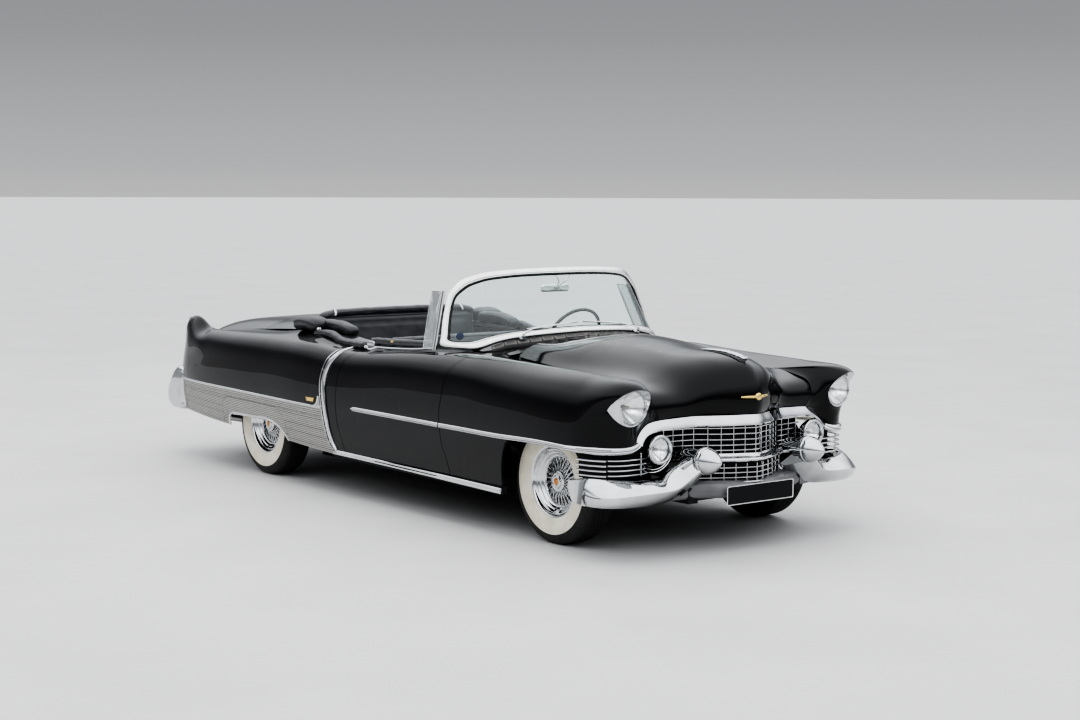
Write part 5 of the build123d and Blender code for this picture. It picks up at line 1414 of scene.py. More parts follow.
rowsW = [
    F_ + back * 34 + zup * 6, F_ + back * 16 - zup * 1, F_ - zup * 2, F_ + (K_ - F_) * 0.05 + fl_ * 3, F_ + (K_ - F_) * 0.25 + fl_ * 9, F_ + (K_ - F_) * 0.5 + fl_ * 12, F_ + (K_ - F_) * 0.75 + fl_ * 9.5, F_ + (K_ - F_) * 0.92 + fl_ * 4.5,
    K_ + outn * 0.6 - zup * 1.5, K_ + fu * 2.0, K_ + (R_ - K_) * 0.07 + fu * 4.5, K_ + (R_ - K_) * 0.25 + fu * 8, K_ + (R_ - K_) * 0.5 + fu * 10, K_ + (R_ - K_) * 0.75 + fu * 8.5, K_ + (R_ - K_) * 0.93 + fu * 5, R_ + fu * 2.5,
    R_ + back * 6 + zup * 1.5, R_ + back * 24 - zup * 1, R_ + back * 34 - zup * 7, R_ + back * 36 - zup * 24,
]
wing = np.stack(rowsW, axis=1)
fb = Soup()
end_c = wing[0].mean(0) * 0.5 + (wing[0, 2] + wing[0, 10]) * 0.25
ends = [end_c + (wing[0] - end_c) * f + np.array([-d_, -d_ * 0.25, 0]) for f, d_ in ((0.25, 20), (0.5, 18), (0.72, 14), (0.88, 8.5), (0.97, 3.5))]
fb.grid(np.concatenate([np.stack(ends), wing]), close_v=True, cap_u=True)
bull = [(0, 104), (6, 102.6), (14, 98), (26, 86), (40, 70), (54, 51), (66, 30), (73, 13), (75.5, 4), (75.5, 1), (72.5, -1.5), (72.5, -6.5), (75.5, -9), (77.5, -14), (78, -26), (76, -40), (70, -52), (62, -60), (60, -74), (58, -120), (54, -180)]
fb.grid(lathe(bull, (2720, 400, 537), (1, 0.0, 0.0), 96), close_v=True)
# pad and bolt where the wing's ridge runs up to the bullet
neck = through([(2600, 505, 500), (2634, 462, 536), (2674, 428, 560), (2700, 404, 568)], 26)
fb.grid(sweep(neck, circle(26, 24, 13), unit(np.array([0.45, 0.25, 0.85])), scale=np.linspace(0.75, 1.25, 26)), close_v=True, cap_u=True)
fb.grid(lathe([(0, 9), (5, 8.2), (9, 5.5), (10, 0), (14, -1), (16, -5)], (2652, 456, 545), unit(np.array([0.45, 0.3, 0.84])), 28))
fb.mirror()
fb.make("front_bumper_bright", ["chrome"], slot="chrome", replaces=["front_bumper"], angle=34)

# apron below the lower grille
va = Soup()
vp = through([(2560, -600), (2590, -520), (2612, -420), (2650, -318), (2690, -258), (2716, -120), (2721, 0), (2716, 120), (2690, 258), (2650, 318), (2612, 420), (2590, 520), (2560, 600)], 90)
rows = []
for z, dx in ((400, -160), (396, -60), (388, -34), (376, -22), (350, -14), (330, -16), (318, -24), (310, -40), (308, -70)):
    rows.append(np.column_stack([vp[:, 0] + dx * np.interp(abs(vp[:, 1]), [0, 300, 600], [1, 0.9, 0.4]), vp[:, 1], np.full(90, z)]))
va.grid(np.array(rows))
va.grid(np.array(rows) - [6, 0, -2])
va.make("front_apron", ["silver_paint"], slot="grey_metal", replaces=["front_valance"])

# number plates: blank black, silver edge
pl = Soup()
for x0, zc_, sgn in ((2722.0, 328.0, 1), (-2812.4, 536.0, -1)):
    o = rounded([(-258, -54), (258, -54), (258, 54), (-258, 54)], 10, 5)
    rows = [np.column_stack([np.full(len(o), x0 + sgn * dx), o[:, 0] * f, o[:, 1] * f2 + zc_]) for dx, f, f2 in ((0, 1, 1), (3.4, 1, 1), (4.4, 0.992, 0.965), (4.4, 0.985, 0.93), (2.8, 0.98, 0.91))]
    pl.grid(np.array(rows), close_v=True, mat=1)
    pl.raw(rows[-1], [tuple(range(len(o)))], 0)
    pl.raw(rows[0], [tuple(range(len(o)))], 1)
pl.make("blank_plates", ["plate_black", "satin_frame"], slot="plate", replaces=["number_plates"])

# ============================================================ lamps
lm = Soup()
# headlamp bezel: bright ring surface from the painted rim's edge in to the glass
inner_r = 90.0
thr = np.radians(th)
rows = []
for k, t in enumerate((0, 0.06, 0.14, 0.5, 0.86, 0.95, 1.0)):
    px = rx * (1 - t) + (2552.0) * t
    pr_ = rr * (1 - t) + inner_r * t
    lift_ = {0: -3.0, 1: 2.0, 2: 3.0, 3: -2.0, 4: 0.0, 5: 2.5, 6: -6.0}[k]
    rows.append(np.column_stack([px + lift_ * 0.8, LAMP[1] + (pr_ + (lift_ if k < 3 else 0) * 0.4) * np.cos(thr), LAMP[2] + (pr_ + (lift_ if k < 3 else 0) * 0.4) * np.sin(thr)]))
lm.grid(np.array(rows), close_v=True)
lm.grid(lathe([(90, 0), (91, 9), (88, 12), (86, 9), (86, 2)], (2543, 798, 844), (1, 0, 0), 72), close_v=True)
# fog lamp body
fogb = [(10, -74), (40, -66), (62, -46), (76, -20), (82, 0), (83.5, 12), (82, 19), (77, 23.5), (71, 24), (67, 21), (66, 14), (66, 4)]
lm.grid(lathe(through(fogb, 40), (2532, 596, 598), (1, 0, 0), 72), close_v=True)
# reflectors
for c_, r_, dep in (((2543, 798, 844), 86, 60), ((2532, 596, 598), 65, 46)):
    pf = [(r_ * t, -dep + dep * t * t + 2) for t in np.linspace(0.04, 1, 16)]
    lm.grid(lathe(pf, c_, (1, 0, 0), 60), close_v=True, mat=1)
    lm.grid(lathe([(0, -dep + 34), (7, -dep + 32), (9, -dep + 24), (8, -dep + 8), (5, -dep)], c_, (1, 0, 0), 20), close_v=True, mat=2)
lm.mirror()
lm.make("lamp_bodies", ["chrome", "reflector", "dial"], slot="chrome", replaces=["lamp_bezels"], angle=34)

le = Soup()


def lens(c_, r_, dome, thick, flutes):
    """A domed glass, smooth outside and fluted inside."""
    n1, seg = 20, 96
    t = np.linspace(0, 1, n1)
    outer_ = np.column_stack([r_ * t, dome * (1 - t ** 2)])
    g1 = lathe(outer_, c_, (1, 0, 0), seg)
    inner_ = np.column_stack([r_ * t, dome * (1 - t ** 2) - thick])

    def fl(rr_, ll_, aa_):
        y_ = rr_ * np.cos(aa_)
        return rr_, ll_ + 1.3 * np.abs(np.sin(y_ / flutes * pi)) * (rr_ < r_ * 0.95)
    g2 = lathe(inner_, c_, (1, 0, 0), seg, wobble=fl)
    le.grid(g1, close_v=True)
    le.grid(g2, close_v=True, flip=True)
    le.grid(np.array([g1[-1], g2[-1]]), close_v=True)


lens((2545, 798, 844), 87.5, 24, 4, 11)
lens((2534, 596, 598), 66, 17, 4, 9)
# reversing lamps below the tail lamps
sl = Soup()
slab(sl, [(-2590, 930), (-2607, 930), (-2632, 868), (-2614, 868)], 822, 852, "y", 4, corner=5)
le.raw(np.vstack(sl.v), sl.f, 0)
le.mirror()
le.make("lamp_glasses", ["lamp_glass"], slot="lens", replaces=["lamp_lenses"], angle=50)

tl = Soup()
slab(tl, [(-2566.5, 1044), (-2586, 1036), (-2598, 1006), (-2604, 965), (-2602, 934), (-2579.5, 934)], 817, 857, "y", 9, corner=9, n=5)
tl.mirror()
tl.make("tail_lamp_glass", ["red_glass"], slot="red_lens", replaces=["tail_lamps"], angle=60)
tb = Soup()
slab(tb, [(-2560, 1052), (-2578, 1050), (-2590, 1036), (-2584, 1030), (-2572, 930), (-2562, 930)], 812, 862, "y", 5, corner=5, n=4)
slab(tb, [(-2572, 938), (-2608, 938), (-2640, 858), (-2610, 852)], 814, 860, "y", 6, corner=5, n=4)
tb.mirror()
tb.make("tail_lamp_housings", ["chrome"], slot="chrome", angle=40)
# dark oval recess on the outer side of each fin
ov = Soup()
ofp = []
aa = np.linspace(0, 2 * pi, 40, endpoint=False)
for f_, dep_ in ((1.0, 1.2), (0.93, 2.0), (0.86, -1.0), (0.0001, -2.0)):
    ox, oz = -2500 + 15 * f_ * np.cos(aa) + 6 * f_ * np.sin(aa), 1008 + 31 * f_ * np.sin(aa)
    pv, nv_ = side_at(ox, np.clip(oz, 900, 1048))
    ofp.append(pv + nv_ * dep_)
ov.grid(np.array(ofp), close_v=True)
pair(ov, "fin_recess", ["gasket"], slot="black_paint")

# ============================================================ windshield
BASE = np.array([(1175, 0), (1162, 200), (1122, 400), (1060, 580), (980, 715), (862, 802), (745, 868)], float)
TOP = np.array([(888, 0), (878, 150), (852, 320), (824, 450), (778, 560), (724, 635), (690, 705)], float)
_s = np.linspace(0, 1, 241)
_b = spline(np.linspace(0, 1, 7), BASE, _s)
_t = spline(np.linspace(0, 1, 7), TOP, _s)


def screen(y, z):
    """Points on the curved windshield surface at (y, z), with normals pointing forward."""
    y, z = np.broadcast_arrays(np.asarray(y, float), np.asarray(z, float))
    shp = y.shape
    yf, zf = y.ravel(), z.ravel()

    def xx(yv, zv):
        f = (zv - 1036) / (1532 - 1036)
        out_ = np.zeros(len(yv))
        for i in range(len(yv)):
            c = _b * (1 - f[i]) + _t * f[i]
            ay = abs(yv[i])
            out_[i] = np.interp(ay, c[:, 1], c[:, 0]) if ay <= c[-1, 1] else c[-1, 0] + (ay - c[-1, 1]) * (c[-1, 0] - c[-2, 0]) / (c[-1, 1] - c[-2, 1])
        return out_
    x0 = xx(yf, zf)
    gy = (xx(yf + 2, zf) - xx(yf - 2, zf)) / 4
    gz = (xx(yf, zf + 2) - xx(yf, zf - 2)) / 4
    n = unit(np.column_stack([np.ones(len(yf)), -gy, -gz]))
    return np.column_stack([x0, yf, zf]).reshape(*shp, 3), n.reshape(*shp, 3)


F_OUT = [(0, 1527), (300, 1522), (505, 1508), (596, 1489), (664, 1461), (708, 1426), (744, 1382), (767, 1330), (788, 1268), (814, 1180), (832, 1112), (844, 1076), (834, 1056), (775, 1048), (700, 1052), (565, 1094), (300, 1122), (0, 1132)]
F_IN = [(0, 1492), (300, 1487), (498, 1472), (580, 1455), (640, 1431), (680, 1402), (716, 1368), (741, 1325), (763, 1267), (789, 1181), (806, 1120), (811, 1099), (796, 1086), (760, 1084), (700, 1095), (565, 1132), (300, 1156), (0, 1165)]
fo, fi = np.array(F_OUT, float), np.array(F_IN, float)
NL = 128
kk = np.linspace(0, 1, len(fo))
fo_h, fi_h = spline(kk, fo, np.linspace(0, 1, NL)), spline(kk, fi, np.linspace(0, 1, NL))
fo_h[:, 0], fi_h[:, 0] = np.maximum(fo_h[:, 0], 0), np.maximum(fi_h[:, 0], 0)
# the whole loop: left side down, then right side back up
lo_ = np.vstack([fo_h, fo_h[::-1][1:-1] * [-1, 1]])
li_ = np.vstack([fi_h, fi_h[::-1][1:-1] * [-1, 1]])


def band_pts(t, depth):
    q = lo_ * (1 - t) + li_ * t
    p_, n_ = screen(q[:, 0], q[:, 1])
    return p_ + n_ * depth


wf_ = Soup()
wf_.grid(np.stack([band_pts(t, d_) for t, d_ in ((0.0, -13), (0.0, 6), (0.02, 10), (0.08, 12.5), (0.2, 14), (0.5, 15.5), (0.74, 14), (0.80, 10.5), (0.86, 12.5), (0.94, 12), (1.0, 8), (1.0, -2), (0.98, -11), (0.9, -14), (0.5, -17), (0.1, -14))]), close_u=True, close_v=True)
wf_.make("windshield_surround", ["satin_frame"], slot="satin_frame", replaces=["windshield_frame"], angle=40)


def inset(loop, mm_):
    c = np.array([0.0, 1300.0])
    t = unit(np.roll(loop, -1, 0) - np.roll(loop, 1, 0))
    n_ = np.column_stack([t[:, 1], -t[:, 0]])
    n_ = np.where(np.sum(n_ * (c - loop), 1, keepdims=True) < 0, -n_, n_)
    return loop + n_ * mm_


def loop_pts(loop, depth):
    p_, n_ = screen(loop[:, 0], loop[:, 1])
    return p_ + n_ * depth


gk = Soup()
i0, i1 = inset(li_, -1.0), inset(li_, 7.0)
gk.grid(np.stack([loop_pts(i0, 5), loop_pts(inset(li_, 2), 7), loop_pts(inset(li_, 5), 6.5), loop_pts(i1, 3), loop_pts(i1, -9), loop_pts(i0, -11)]), close_v=True)
gk.make("windshield_gasket", ["gasket"], slot="black_paint", angle=50)
gl = Soup()
g_half = inset(li_, -4)[:NL]
k_ = int(np.argmax(g_half[:, 0]))
gy_ = g_half[k_, 0] * np.sin(np.linspace(-pi / 2, pi / 2, 97))
zt_ = np.interp(abs(gy_), g_half[:k_ + 1, 0], g_half[:k_ + 1, 1])
zb_ = np.interp(abs(gy_), g_half[k_:][::-1, 0], g_half[k_:][::-1, 1])
rows = []
for w_, d_ in [(w_, 0.5) for w_ in np.linspace(0, 1, 15)] + [(w_, -5.5) for w_ in np.linspace(1, 0, 15)]:
    rows.append(loop_pts(np.column_stack([gy_, zb_ + (zt_ - zb_) * w_]), d_))
gl.grid(np.stack(rows), close_u=True)
gl.make("windshield_pane", ["glass"], slot="glass", replaces=["windshield_glass"], angle=60)

# the mirror on its two stays
mi = Soup()
mcen = np.array([822.0, 0.0, 1394.0])
o = rounded([(-112, -24), (112, -24), (112, 24), (-112, 24)], 20, 7)
rows = []
for dx, f in ((-11, 0.90), (-10, 0.97), (-4, 1.0), (6, 0.985), (13, 0.90), (17, 0.70), (18, 0.2)):
    rows.append(np.column_stack([np.full(len(o), mcen[0] + dx), o[:, 0] * f, mcen[2] + o[:, 1] * f]))
mi.grid(np.array(rows), close_v=True, mat=0)
mi.raw(rows[0] + [0.5, 0, 0], [tuple(range(len(o)))], 1)
for sg in (1, -1):
    e = screen(np.array([62.0 * sg]), np.array([1486.0]))[0][0] - [16, 0, 0]
    tube(mi, through([e, (e[0] + 6, 34 * sg, 1452), (mcen[0] + 12, 4 * sg, 1402)], 14), 3.4, up=(0, 1, 0), n=10)
    mi.grid(lathe([(0, 6), (6, 5), (8, 1), (8, -3)], e, (-0.6, 0, -0.6), 16), close_v=True)
mi.grid(lathe([(0, 12), (7, 10), (10, 4), (10, -4), (7, -10), (0, -12)], (mcen[0] + 14, 0, 1400), (1, 0, 0), 20), close_v=True)
mi.make("rear_view_mirror", ["satin_frame", "reflector"], slot="satin_frame", angle=50)
bd = Soup()
pd, ndv = screen(np.array([-762.0]), np.array([1124.0]))
bd.grid(lathe([(0, 0.9), (20, 0.8), (23, 0.5), (23.5, 0)], pd[0] - ndv[0] * 8.6, -ndv[0], 40), close_v=True)
bd.grid(lathe([(0, 0.9), (20, 0.8), (23, 0.5), (23.5, 0)], pd[0] + ndv[0] * 1.4, ndv[0], 40), close_v=True)
soft("disc_blue", (0.003, 0.014, 0.045), 0.45, 60, 0.05, 0.0002, 0.0, "noise", 1.3, 0.5)
bd.make("blank_disc", ["disc_blue"], slot="plate", angle=50)

# air intake: a row of grey slats along the foot of the windshield
foot_y = np.linspace(-640, 640, 257)
fz = np.interp(abs(foot_y), [0, 300, 565, 700], [1132, 1122, 1094, 1050])
fp, fn = screen(foot_y, fz)
foot_p = fp + fn * 15
fwd = unit(np.column_stack([fn[:, 0], fn[:, 1], np.zeros(257)]))


def intake_z(q, off_):
    """Height of the intake: from the frame's foot down to the cowl."""
    low = np.interp(abs(q[:, 1]), [0, 300, 565, 700], [1114, 1096, 1074, 1040])
    top_ = np.interp(abs(q[:, 1]), [0, 300, 565, 700], [1131, 1121, 1092, 1048])
    return top_ + (low - top_) * min(off_ / 44, 1.2)


vt = Soup()
dl = np.r_[0, np.cumsum(np.linalg.norm(np.diff(foot_p, axis=0), axis=1))]
n_seg = 16
L_ = dl[-1] / n_seg
strip_rows = []
for off_, dz in ((2, 6), (2, 12), (6, 14), (40, 5), (45, 2), (46, -6)):
    q = foot_p + fwd * off_
    q[:, 2] = intake_z(q, off_) + dz - 10
    strip_rows.append(q)
vt.grid(np.array(strip_rows), mat=1)
for k in range(n_seg):
    sa = np.linspace(k * L_ + 5, (k + 1) * L_ - 5, 9)
    base_p = np.column_stack([np.interp(sa, dl, foot_p[:, j]) for j in range(3)])
    fdir = unit(np.column_stack([np.interp(sa, dl, fwd[:, j]) for j in range(3)]))
    rows = []
    for off_, hh in ((8, 4), (8, 8.5), (11, 10.5), (20, 11), (35, 10.5), (38, 8.5), (38, 4)):
        q = base_p + fdir * off_
        q[:, 2] = intake_z(q, off_) - 8 + hh
        rows.append(q)
    vt.grid(np.array(rows), cap_u=True)
    vt.raw(np.array([r_[0] for r_ in rows]), [tuple(range(7))])
    vt.raw(np.array([r_[-1] for r_ in rows]), [tuple(range(7))])
    # dark rods on each slat: painted shade standing for the louvre slots
    for j in range(1, 4):      # louvre lines
        q0 = base_p + fdir * (8 + j * 7.5)
        q0[:, 2] = intake_z(q0, 8 + j * 7.5) + 3.4
        vt.grid(sweep(q0[1:-1], circle(1.1, 6), (0, 0, 1)), close_v=True, mat=1)
vt.make("cowl_air_intake", ["vent_grey", "gasket"], slot="grey_metal", angle=40)

# wipers, parked along the bottom of the glass
wp = Soup()
for sg in (-1, 1):
    i = int(np.argmin(abs(foot_y - 450 * sg)))
    piv = foot_p[i] + fwd[i] * 16 + [0, 0, 4]
    wp.grid(lathe([(0, 30), (6, 29), (8, 25), (8, 20), (11, 18), (13, 10), (15, 4), (19, 0), (20, -6)], piv, unit(fn[i] * 0.8 + [0, 0, 0.6]), 24), close_v=True)
    ys_w = np.linspace(450 * sg, 90 * sg, 16)
    zf_ = np.interp(abs(ys_w), [0, 300, 565, 700], [1165, 1156, 1132, 1095])
    lift_ = 12 * np.sin(np.linspace(0.2, pi * 0.9, 16))
    sp_, sn_ = screen(ys_w, zf_ + 6 + np.linspace(-8, 14, 16))
    arm = sp_ + sn_ * (20 + lift_ * 0.3)[:, None]
    arm[0] = piv + unit(fn[i] * 0.8 + [0, 0, 0.6]) * 24
    arm = through(arm[::3], 24)
    wp.grid(sweep(arm, circle(3.4, 8, 2.2), fn[i], scale=np.linspace(1.3, 0.8, 24)), close_v=True, cap_u=True)
    ys_b = np.linspace(400 * sg, 20 * sg, 24)
    zb = np.interp(abs(ys_b), [0, 300, 565, 700], [1165, 1156, 1132, 1095])
    bp2, bn2 = screen(ys_b, zb + 16 + np.linspace(-4, 12, 24))
    wp.grid(sweep(bp2 + bn2 * 9.5, rounded([(-2.2, -3), (2.2, -3), (2.6, 4), (-2.6, 4)], 1, 2), bn2), close_v=True, cap_u=True)
    wp.grid(sweep(bp2 + bn2 * 4.5, rounded([(-1.2, -4.5), (1.2, -4.5), (2.2, 3), (-2.2, 3)], 1, 1), bn2), close_v=True, cap_u=True, mat=1)
wp.make("wipers", ["chrome", "rubber"], slot="chrome", angle=40)

# quarter-light panes on the doors
vw = Soup()
corners = np.array([(618, 874, 1038), (724, 874, 1038), (644, 752, 1386), (540, 752, 1386)], float)
cc = []
for i in range(4):
    a_, b_2, c_ = corners[i - 1], corners[i], corners[(i + 1) % 4]
    for t in np.linspace(0, 1, 6):
        p1 = b_2 + unit(a_ - b_2) * 14
        p2 = b_2 + unit(c_ - b_2) * 14
        cc.append((1 - t) ** 2 * p1 + 2 * t * (1 - t) * b_2 + t * t * p2)
cc = np.array(cc)
nv_q = unit(np.cross(corners[1] - corners[0], corners[3] - corners[0]))
nv_q = nv_q if nv_q[1] > 0 else -nv_q
cm = cc.mean(0)
vw.grid(np.stack([cm + (cc - cm) * f + nv_q * d_ for f, d_ in ((0.3, 2.6), (0.96, 2.6), (0.985, 2.2), (0.99, 0), (0.985, -2.2), (0.96, -2.6), (0.3, -2.6))]), close_v=True, cap_u=True)
pair(vw, "quarter_light_pane", ["vent_glass"], bodies=("door_left", "door_right"), slot="glass", replaces=(["vent_window_left"], ["vent_window_right"]), angle=50)
vf = Soup()
dense = through(cc, 120, closed=True)
vf.grid(sweep(dense, rounded([(-2.2, -4.6), (2.2, -4.6), (2.2, 4.6), (-2.2, 4.6)], 1.5, 2), nv_q, closed=True), close_u=True, close_v=True)
post_a, post_b = np.array([728.0, 876, 1030]), np.array([647.0, 750, 1392])
post = post_a + (post_b - post_a) * np.linspace(0, 1, 12)[:, None]
vf.grid(sweep(post, rounded([(-4, -6), (4, -6), (4, 6), (-4, 6)], 2, 2), nv_q), close_v=True, cap_u=True)
vf.grid(sweep(post + [13, 0, 0], rounded([(-10, -3), (10, -3), (10, 3), (-10, 3)], 1.5, 2), nv_q), close_v=True, cap_u=True, mat=1)
vf.grid(sweep(post + [24, 0, 0], rounded([(-2, -5), (2, -5), (2, 5), (-2, 5)], 1, 2), nv_q), close_v=True, cap_u=True)
vf.grid(lathe([(0, 7), (5, 6.5), (7, 4), (7, -4), (5, -6.5), (0, -7)], (630, 756, 1374), nv_q, 20), close_v=True)
pair(vf, "quarter_light_frame", ["chrome", "vent_grey"], bodies=("door_left", "door_right"), slot="chrome", angle=40)

# ============================================================ hood dressing
hn = normals_of(hg)
if hn[..., 0].sum() < 0:
    hn = -hn


def on_hood(y, x=None, z=None):
    """The point of the hood's skin at y and either x or z, with its normal."""
    j = int(np.argmin(abs(hg[40, :, 1] - y)))
    col = hg[:, j]
    i = int(np.argmin(abs(col[:, 0] - x))) if x is not None else int(np.argmin(abs(col[:40, 2] - z)))
    return col[i], hn[i, j]


oc = Soup()
ox_ = np.linspace(2212, 2590, 30)
cen, upn_ = [], []
for x in ox_:
    q, n_ = on_hood(0.0, x=x)
    cen.append((x, 0.0, q[2]))
    upn_.append((0, 0, 1))
cen = np.array(cen)
tt_ = np.linspace(0, 1, 30)
height = np.interp(tt_, [0, 0.15, 0.5, 0.85, 1.0], [3, 12, 20, 26, 22])
halfw = np.interp(tt_, [0, 0.1, 0.5, 0.9, 1.0], [3, 9, 15, 21, 8])
rows = []
for i in range(30):
    w_, h_ = halfw[i], height[i]
    z0 = cen[i, 2]
    sec_ = [(-w_ * 0.5, -3), (-w_ * 0.55, h_ * 0.25), (-w_, h_ * 0.52), (-w_ * 0.98, h_ * 0.60), (-w_ * 0.4, h_ * 0.86), (0, h_), (w_ * 0.4, h_ * 0.86), (w_ * 0.98, h_ * 0.60), (w_, h_ * 0.52), (w_ * 0.55, h_ * 0.25), (w_ * 0.5, -3)]
    lead_z = np.interp(tt_[i], [0, 0.8, 1.0], [0, 0, 8])
    rows.append([(cen[i, 0], a_, z0 + b_2 + lead_z) for a_, b_2 in sec_])
rows.append([(2604, a_ * 0.35, cen[-1, 2] + 10 + b_2 * 0.6 + 9) for a_, b_2 in sec_])
oc.grid(np.array(rows, float), close_v=True, cap_u=True)
oc.make("hood_spear", ["chrome"], body="hood", slot="chrome", angle=34)
gb = Soup()
bar_pts, bar_n = [], []
for y in np.linspace(-104, 104, 27):
    q, n_ = on_hood(y, z=868.0)
    bar_pts.append((q[0], y, 868.0))
    bar_n.append(n_)
bar_pts = through(np.array(bar_pts)[::2], 40)
bar_nn = out_dir(bar_pts)
tp_ = 1 - abs(np.linspace(-1, 1, 40)) ** 6
gb.grid(sweep(bar_pts, half_round(15, 8, 9, 5), bar_nn, scale=np.column_stack([0.4 + 0.6 * tp_, 0.5 + 0.5 * tp_])), close_v=True, cap_u=True)
gb.grid(lathe([(0, 12), (12, 11), (18, 8.5), (21, 4), (22, -6)], (bar_pts[20, 0], 0, 868), (1, 0, 0), 36), close_v=True)
gb.make("hood_nose_bar", ["gilt"], body="hood", slot="chrome", angle=34)

# ============================================================ upholstery
def resample(o, n):
    q = np.vstack([o, o[:1]])
    d = np.r_[0, np.cumsum(np.linalg.norm(np.diff(q, axis=0), axis=1))]
    at = np.linspace(0, d[-1], n, endpoint=False)
    return np.column_stack([np.interp(at, d, q[:, j]) for j in range(q.shape[1])])


def out_of(o):
    area2 = np.sum(o[:, 0] * np.roll(o[:, 1], -1) - np.roll(o[:, 0], -1) * o[:, 1])
    n_ = unit(np.column_stack([np.roll(o, -1, 0)[:, 1] - np.roll(o, 1, 0)[:, 1], -(np.roll(o, -1, 0)[:, 0] - np.roll(o, 1, 0)[:, 0])]))
    return n_ * np.sign(area2)


def creases(a, b, seed, amp=1.2):
    """Slow, irregular wrinkles over two lengths in millimetres."""
    rng = np.random.RandomState(seed)
    h = np.zeros(np.broadcast(a, b).shape)
    for _ in range(9):
        th, wl, ph = rng.uniform(0, pi), rng.uniform(45, 190), rng.uniform(0, 2 * pi)
        h = h + np.sin((a * cos(th) + b * sin(th)) * 2 * pi / wl + ph + 0.6 * np.sin(a / 63.0 + ph)) * amp / 3 * (wl / 120)
    return h


def cushion(name, prof, half, faces, replaces, pleat=57.0, rim=78.0, crown=15.0, end=30.0, corner=30, nu=100, dy=9.8, puff=6.0, seats=(340,), dip=7.0, seed=1, body_=ROOT):
    """An upholstered block: a closed (x, z) outline carried across the car. Faces looking along one of `faces` are crowned and pleated inside a plain border with a seam round it; the ends roll in."""
    o = resample(rounded(np.array(prof, float), corner, 6), nu)
    nrm = out_of(o)
    seg_ = np.linalg.norm(np.roll(o, -1, 0) - o, axis=1)
    s_ = np.r_[0, np.cumsum(seg_)[:-1]]
    a_ = np.linspace(0, pi / 2, 7)[:-1]
    t_end = np.linspace(0, 1, 8)[:-1]
    d_end = end * (1 - np.cos(t_end * pi / 2))
    n_mid = int(round((2 * half - 2 * end) / dy))
    yv = np.r_[-half + d_end, np.linspace(-half + end, half - end, n_mid + 1), (half - d_end)[::-1]]
    k_ = np.clip(1 - (half - np.abs(yv)) / end, 0, 1)
    inset_ = end * (1 - np.sqrt(np.clip(1 - k_ ** 2, 0, 1)))
    P = np.zeros((len(yv), nu, 2))
    P[:] = o[None]
    P -= nrm[None] * inset_[:, None, None]
    total = np.zeros((len(yv), nu))
    seams = []
    for fx, fz in faces:
        f_ = unit(np.array([fx, fz], float))
        on = nrm @ f_ > 0.72
        idx = np.where(on)[0]
        if len(idx) < 6:
            continue
        cut = int(np.argmax(np.diff(np.r_[idx, idx[0] + nu]))) + 1
        idx = np.roll(idx, -cut) if cut < len(idx) else idx
        run = np.r_[0, np.cumsum(seg_[idx[:-1]])]
        L0 = run[-1]
        w_ = np.zeros(nu)
        w_[idx] = np.sin(pi * np.clip(run / L0, 0, 1)) ** 0.7
        ycr = np.clip(1 - (np.abs(yv) / half) ** 4, 0, 1)
        total += crown * w_[None] * ycr[:, None]
        m1 = np.zeros(nu)
        r2_ = min(rim, L0 * 0.22)
        m1[idx] = step(r2_, r2_ + 16, run) * (1 - step(L0 - r2_ - 16, L0 - r2_, run))
        m2 = step(-(half - rim), -(half - rim) + 12, yv) * (1 - step(half - rim - 12, half - rim, yv))
        mm_ = m1[None] * m2[:, None]
        ridge = np.abs(np.sin(pi * yv / pleat)) ** 0.55
        total += (puff * (ridge - 0.35))[:, None] * mm_
        # the seam round the pleated field
        dist = np.full(nu, 1e3)
        dist[idx] = np.minimum(np.abs(run - r2_), np.abs(run - (L0 - r2_)))
        seam1 = np.exp(-(dist / 7.0) ** 2)[None] * m2[:, None]
        dy_ = np.abs(np.abs(yv) - (half - rim))
        in1 = np.zeros(nu)
        in1[idx] = step(r2_ - 4, r2_, run) * (1 - step(L0 - r2_, L0 - r2_ + 4, run))
        seam2 = np.exp(-(dy_ / 7.0) ** 2)[:, None] * in1[None]
        total -= 5.5 * np.maximum(seam1, seam2)
        if fz > 0.5:
            for c_ in seats:
                total -= dip * np.exp(-((np.abs(yv) - c_) / 150) ** 2)[:, None] * w_[None]
        total -= 4.0 * np.exp(-(yv / 9.0) ** 2)[:, None] * w_[None] * (1 if dip else 0)
        seams.append((idx[0], idx[-1]))
    total += creases(yv[:, None], s_[None], seed) * (1 - k_[:, None])
    P = P + nrm[None] * total[..., None]
    G3 = np.stack([P[..., 0], np.broadcast_to(yv[:, None], P.shape[:2]), P[..., 1]], -1)
    cs = Soup()
    cs.grid(G3, close_v=True)
    for e_, sg in ((0, -1), (-1, 1)):       # rolled, slightly domed end panels
        ring_ = G3[e_]
        c_ = ring_.mean(0)
        rows_ = [ring_] + [c_ + (ring_ - c_) * f_ + [0, sg * b_3, 0] for f_, b_3 in ((0.93, 0.8), (0.8, 1.8), (0.6, 2.6), (0.35, 3), (0.08, 3))]
        cs.grid(np.array(rows_), close_v=True)
    for i0_, i1_ in seams:                  # piping along the long edges
        for ii in (i0_, i1_):
            pth = G3[6:-6:3, ii] + np.array([nrm[ii][0], 0, nrm[ii][1]]) * 1.4
            cs.grid(sweep(pth, circle(4.2, 8), (nrm[ii][0], 0, nrm[ii][1])), close_v=True, cap_u=True, mat=1)
    ob_ = cs.make(name, ["leather", "leather_piping"], body=body_, slot="leather", replaces=replaces, angle=70)
    return ob_


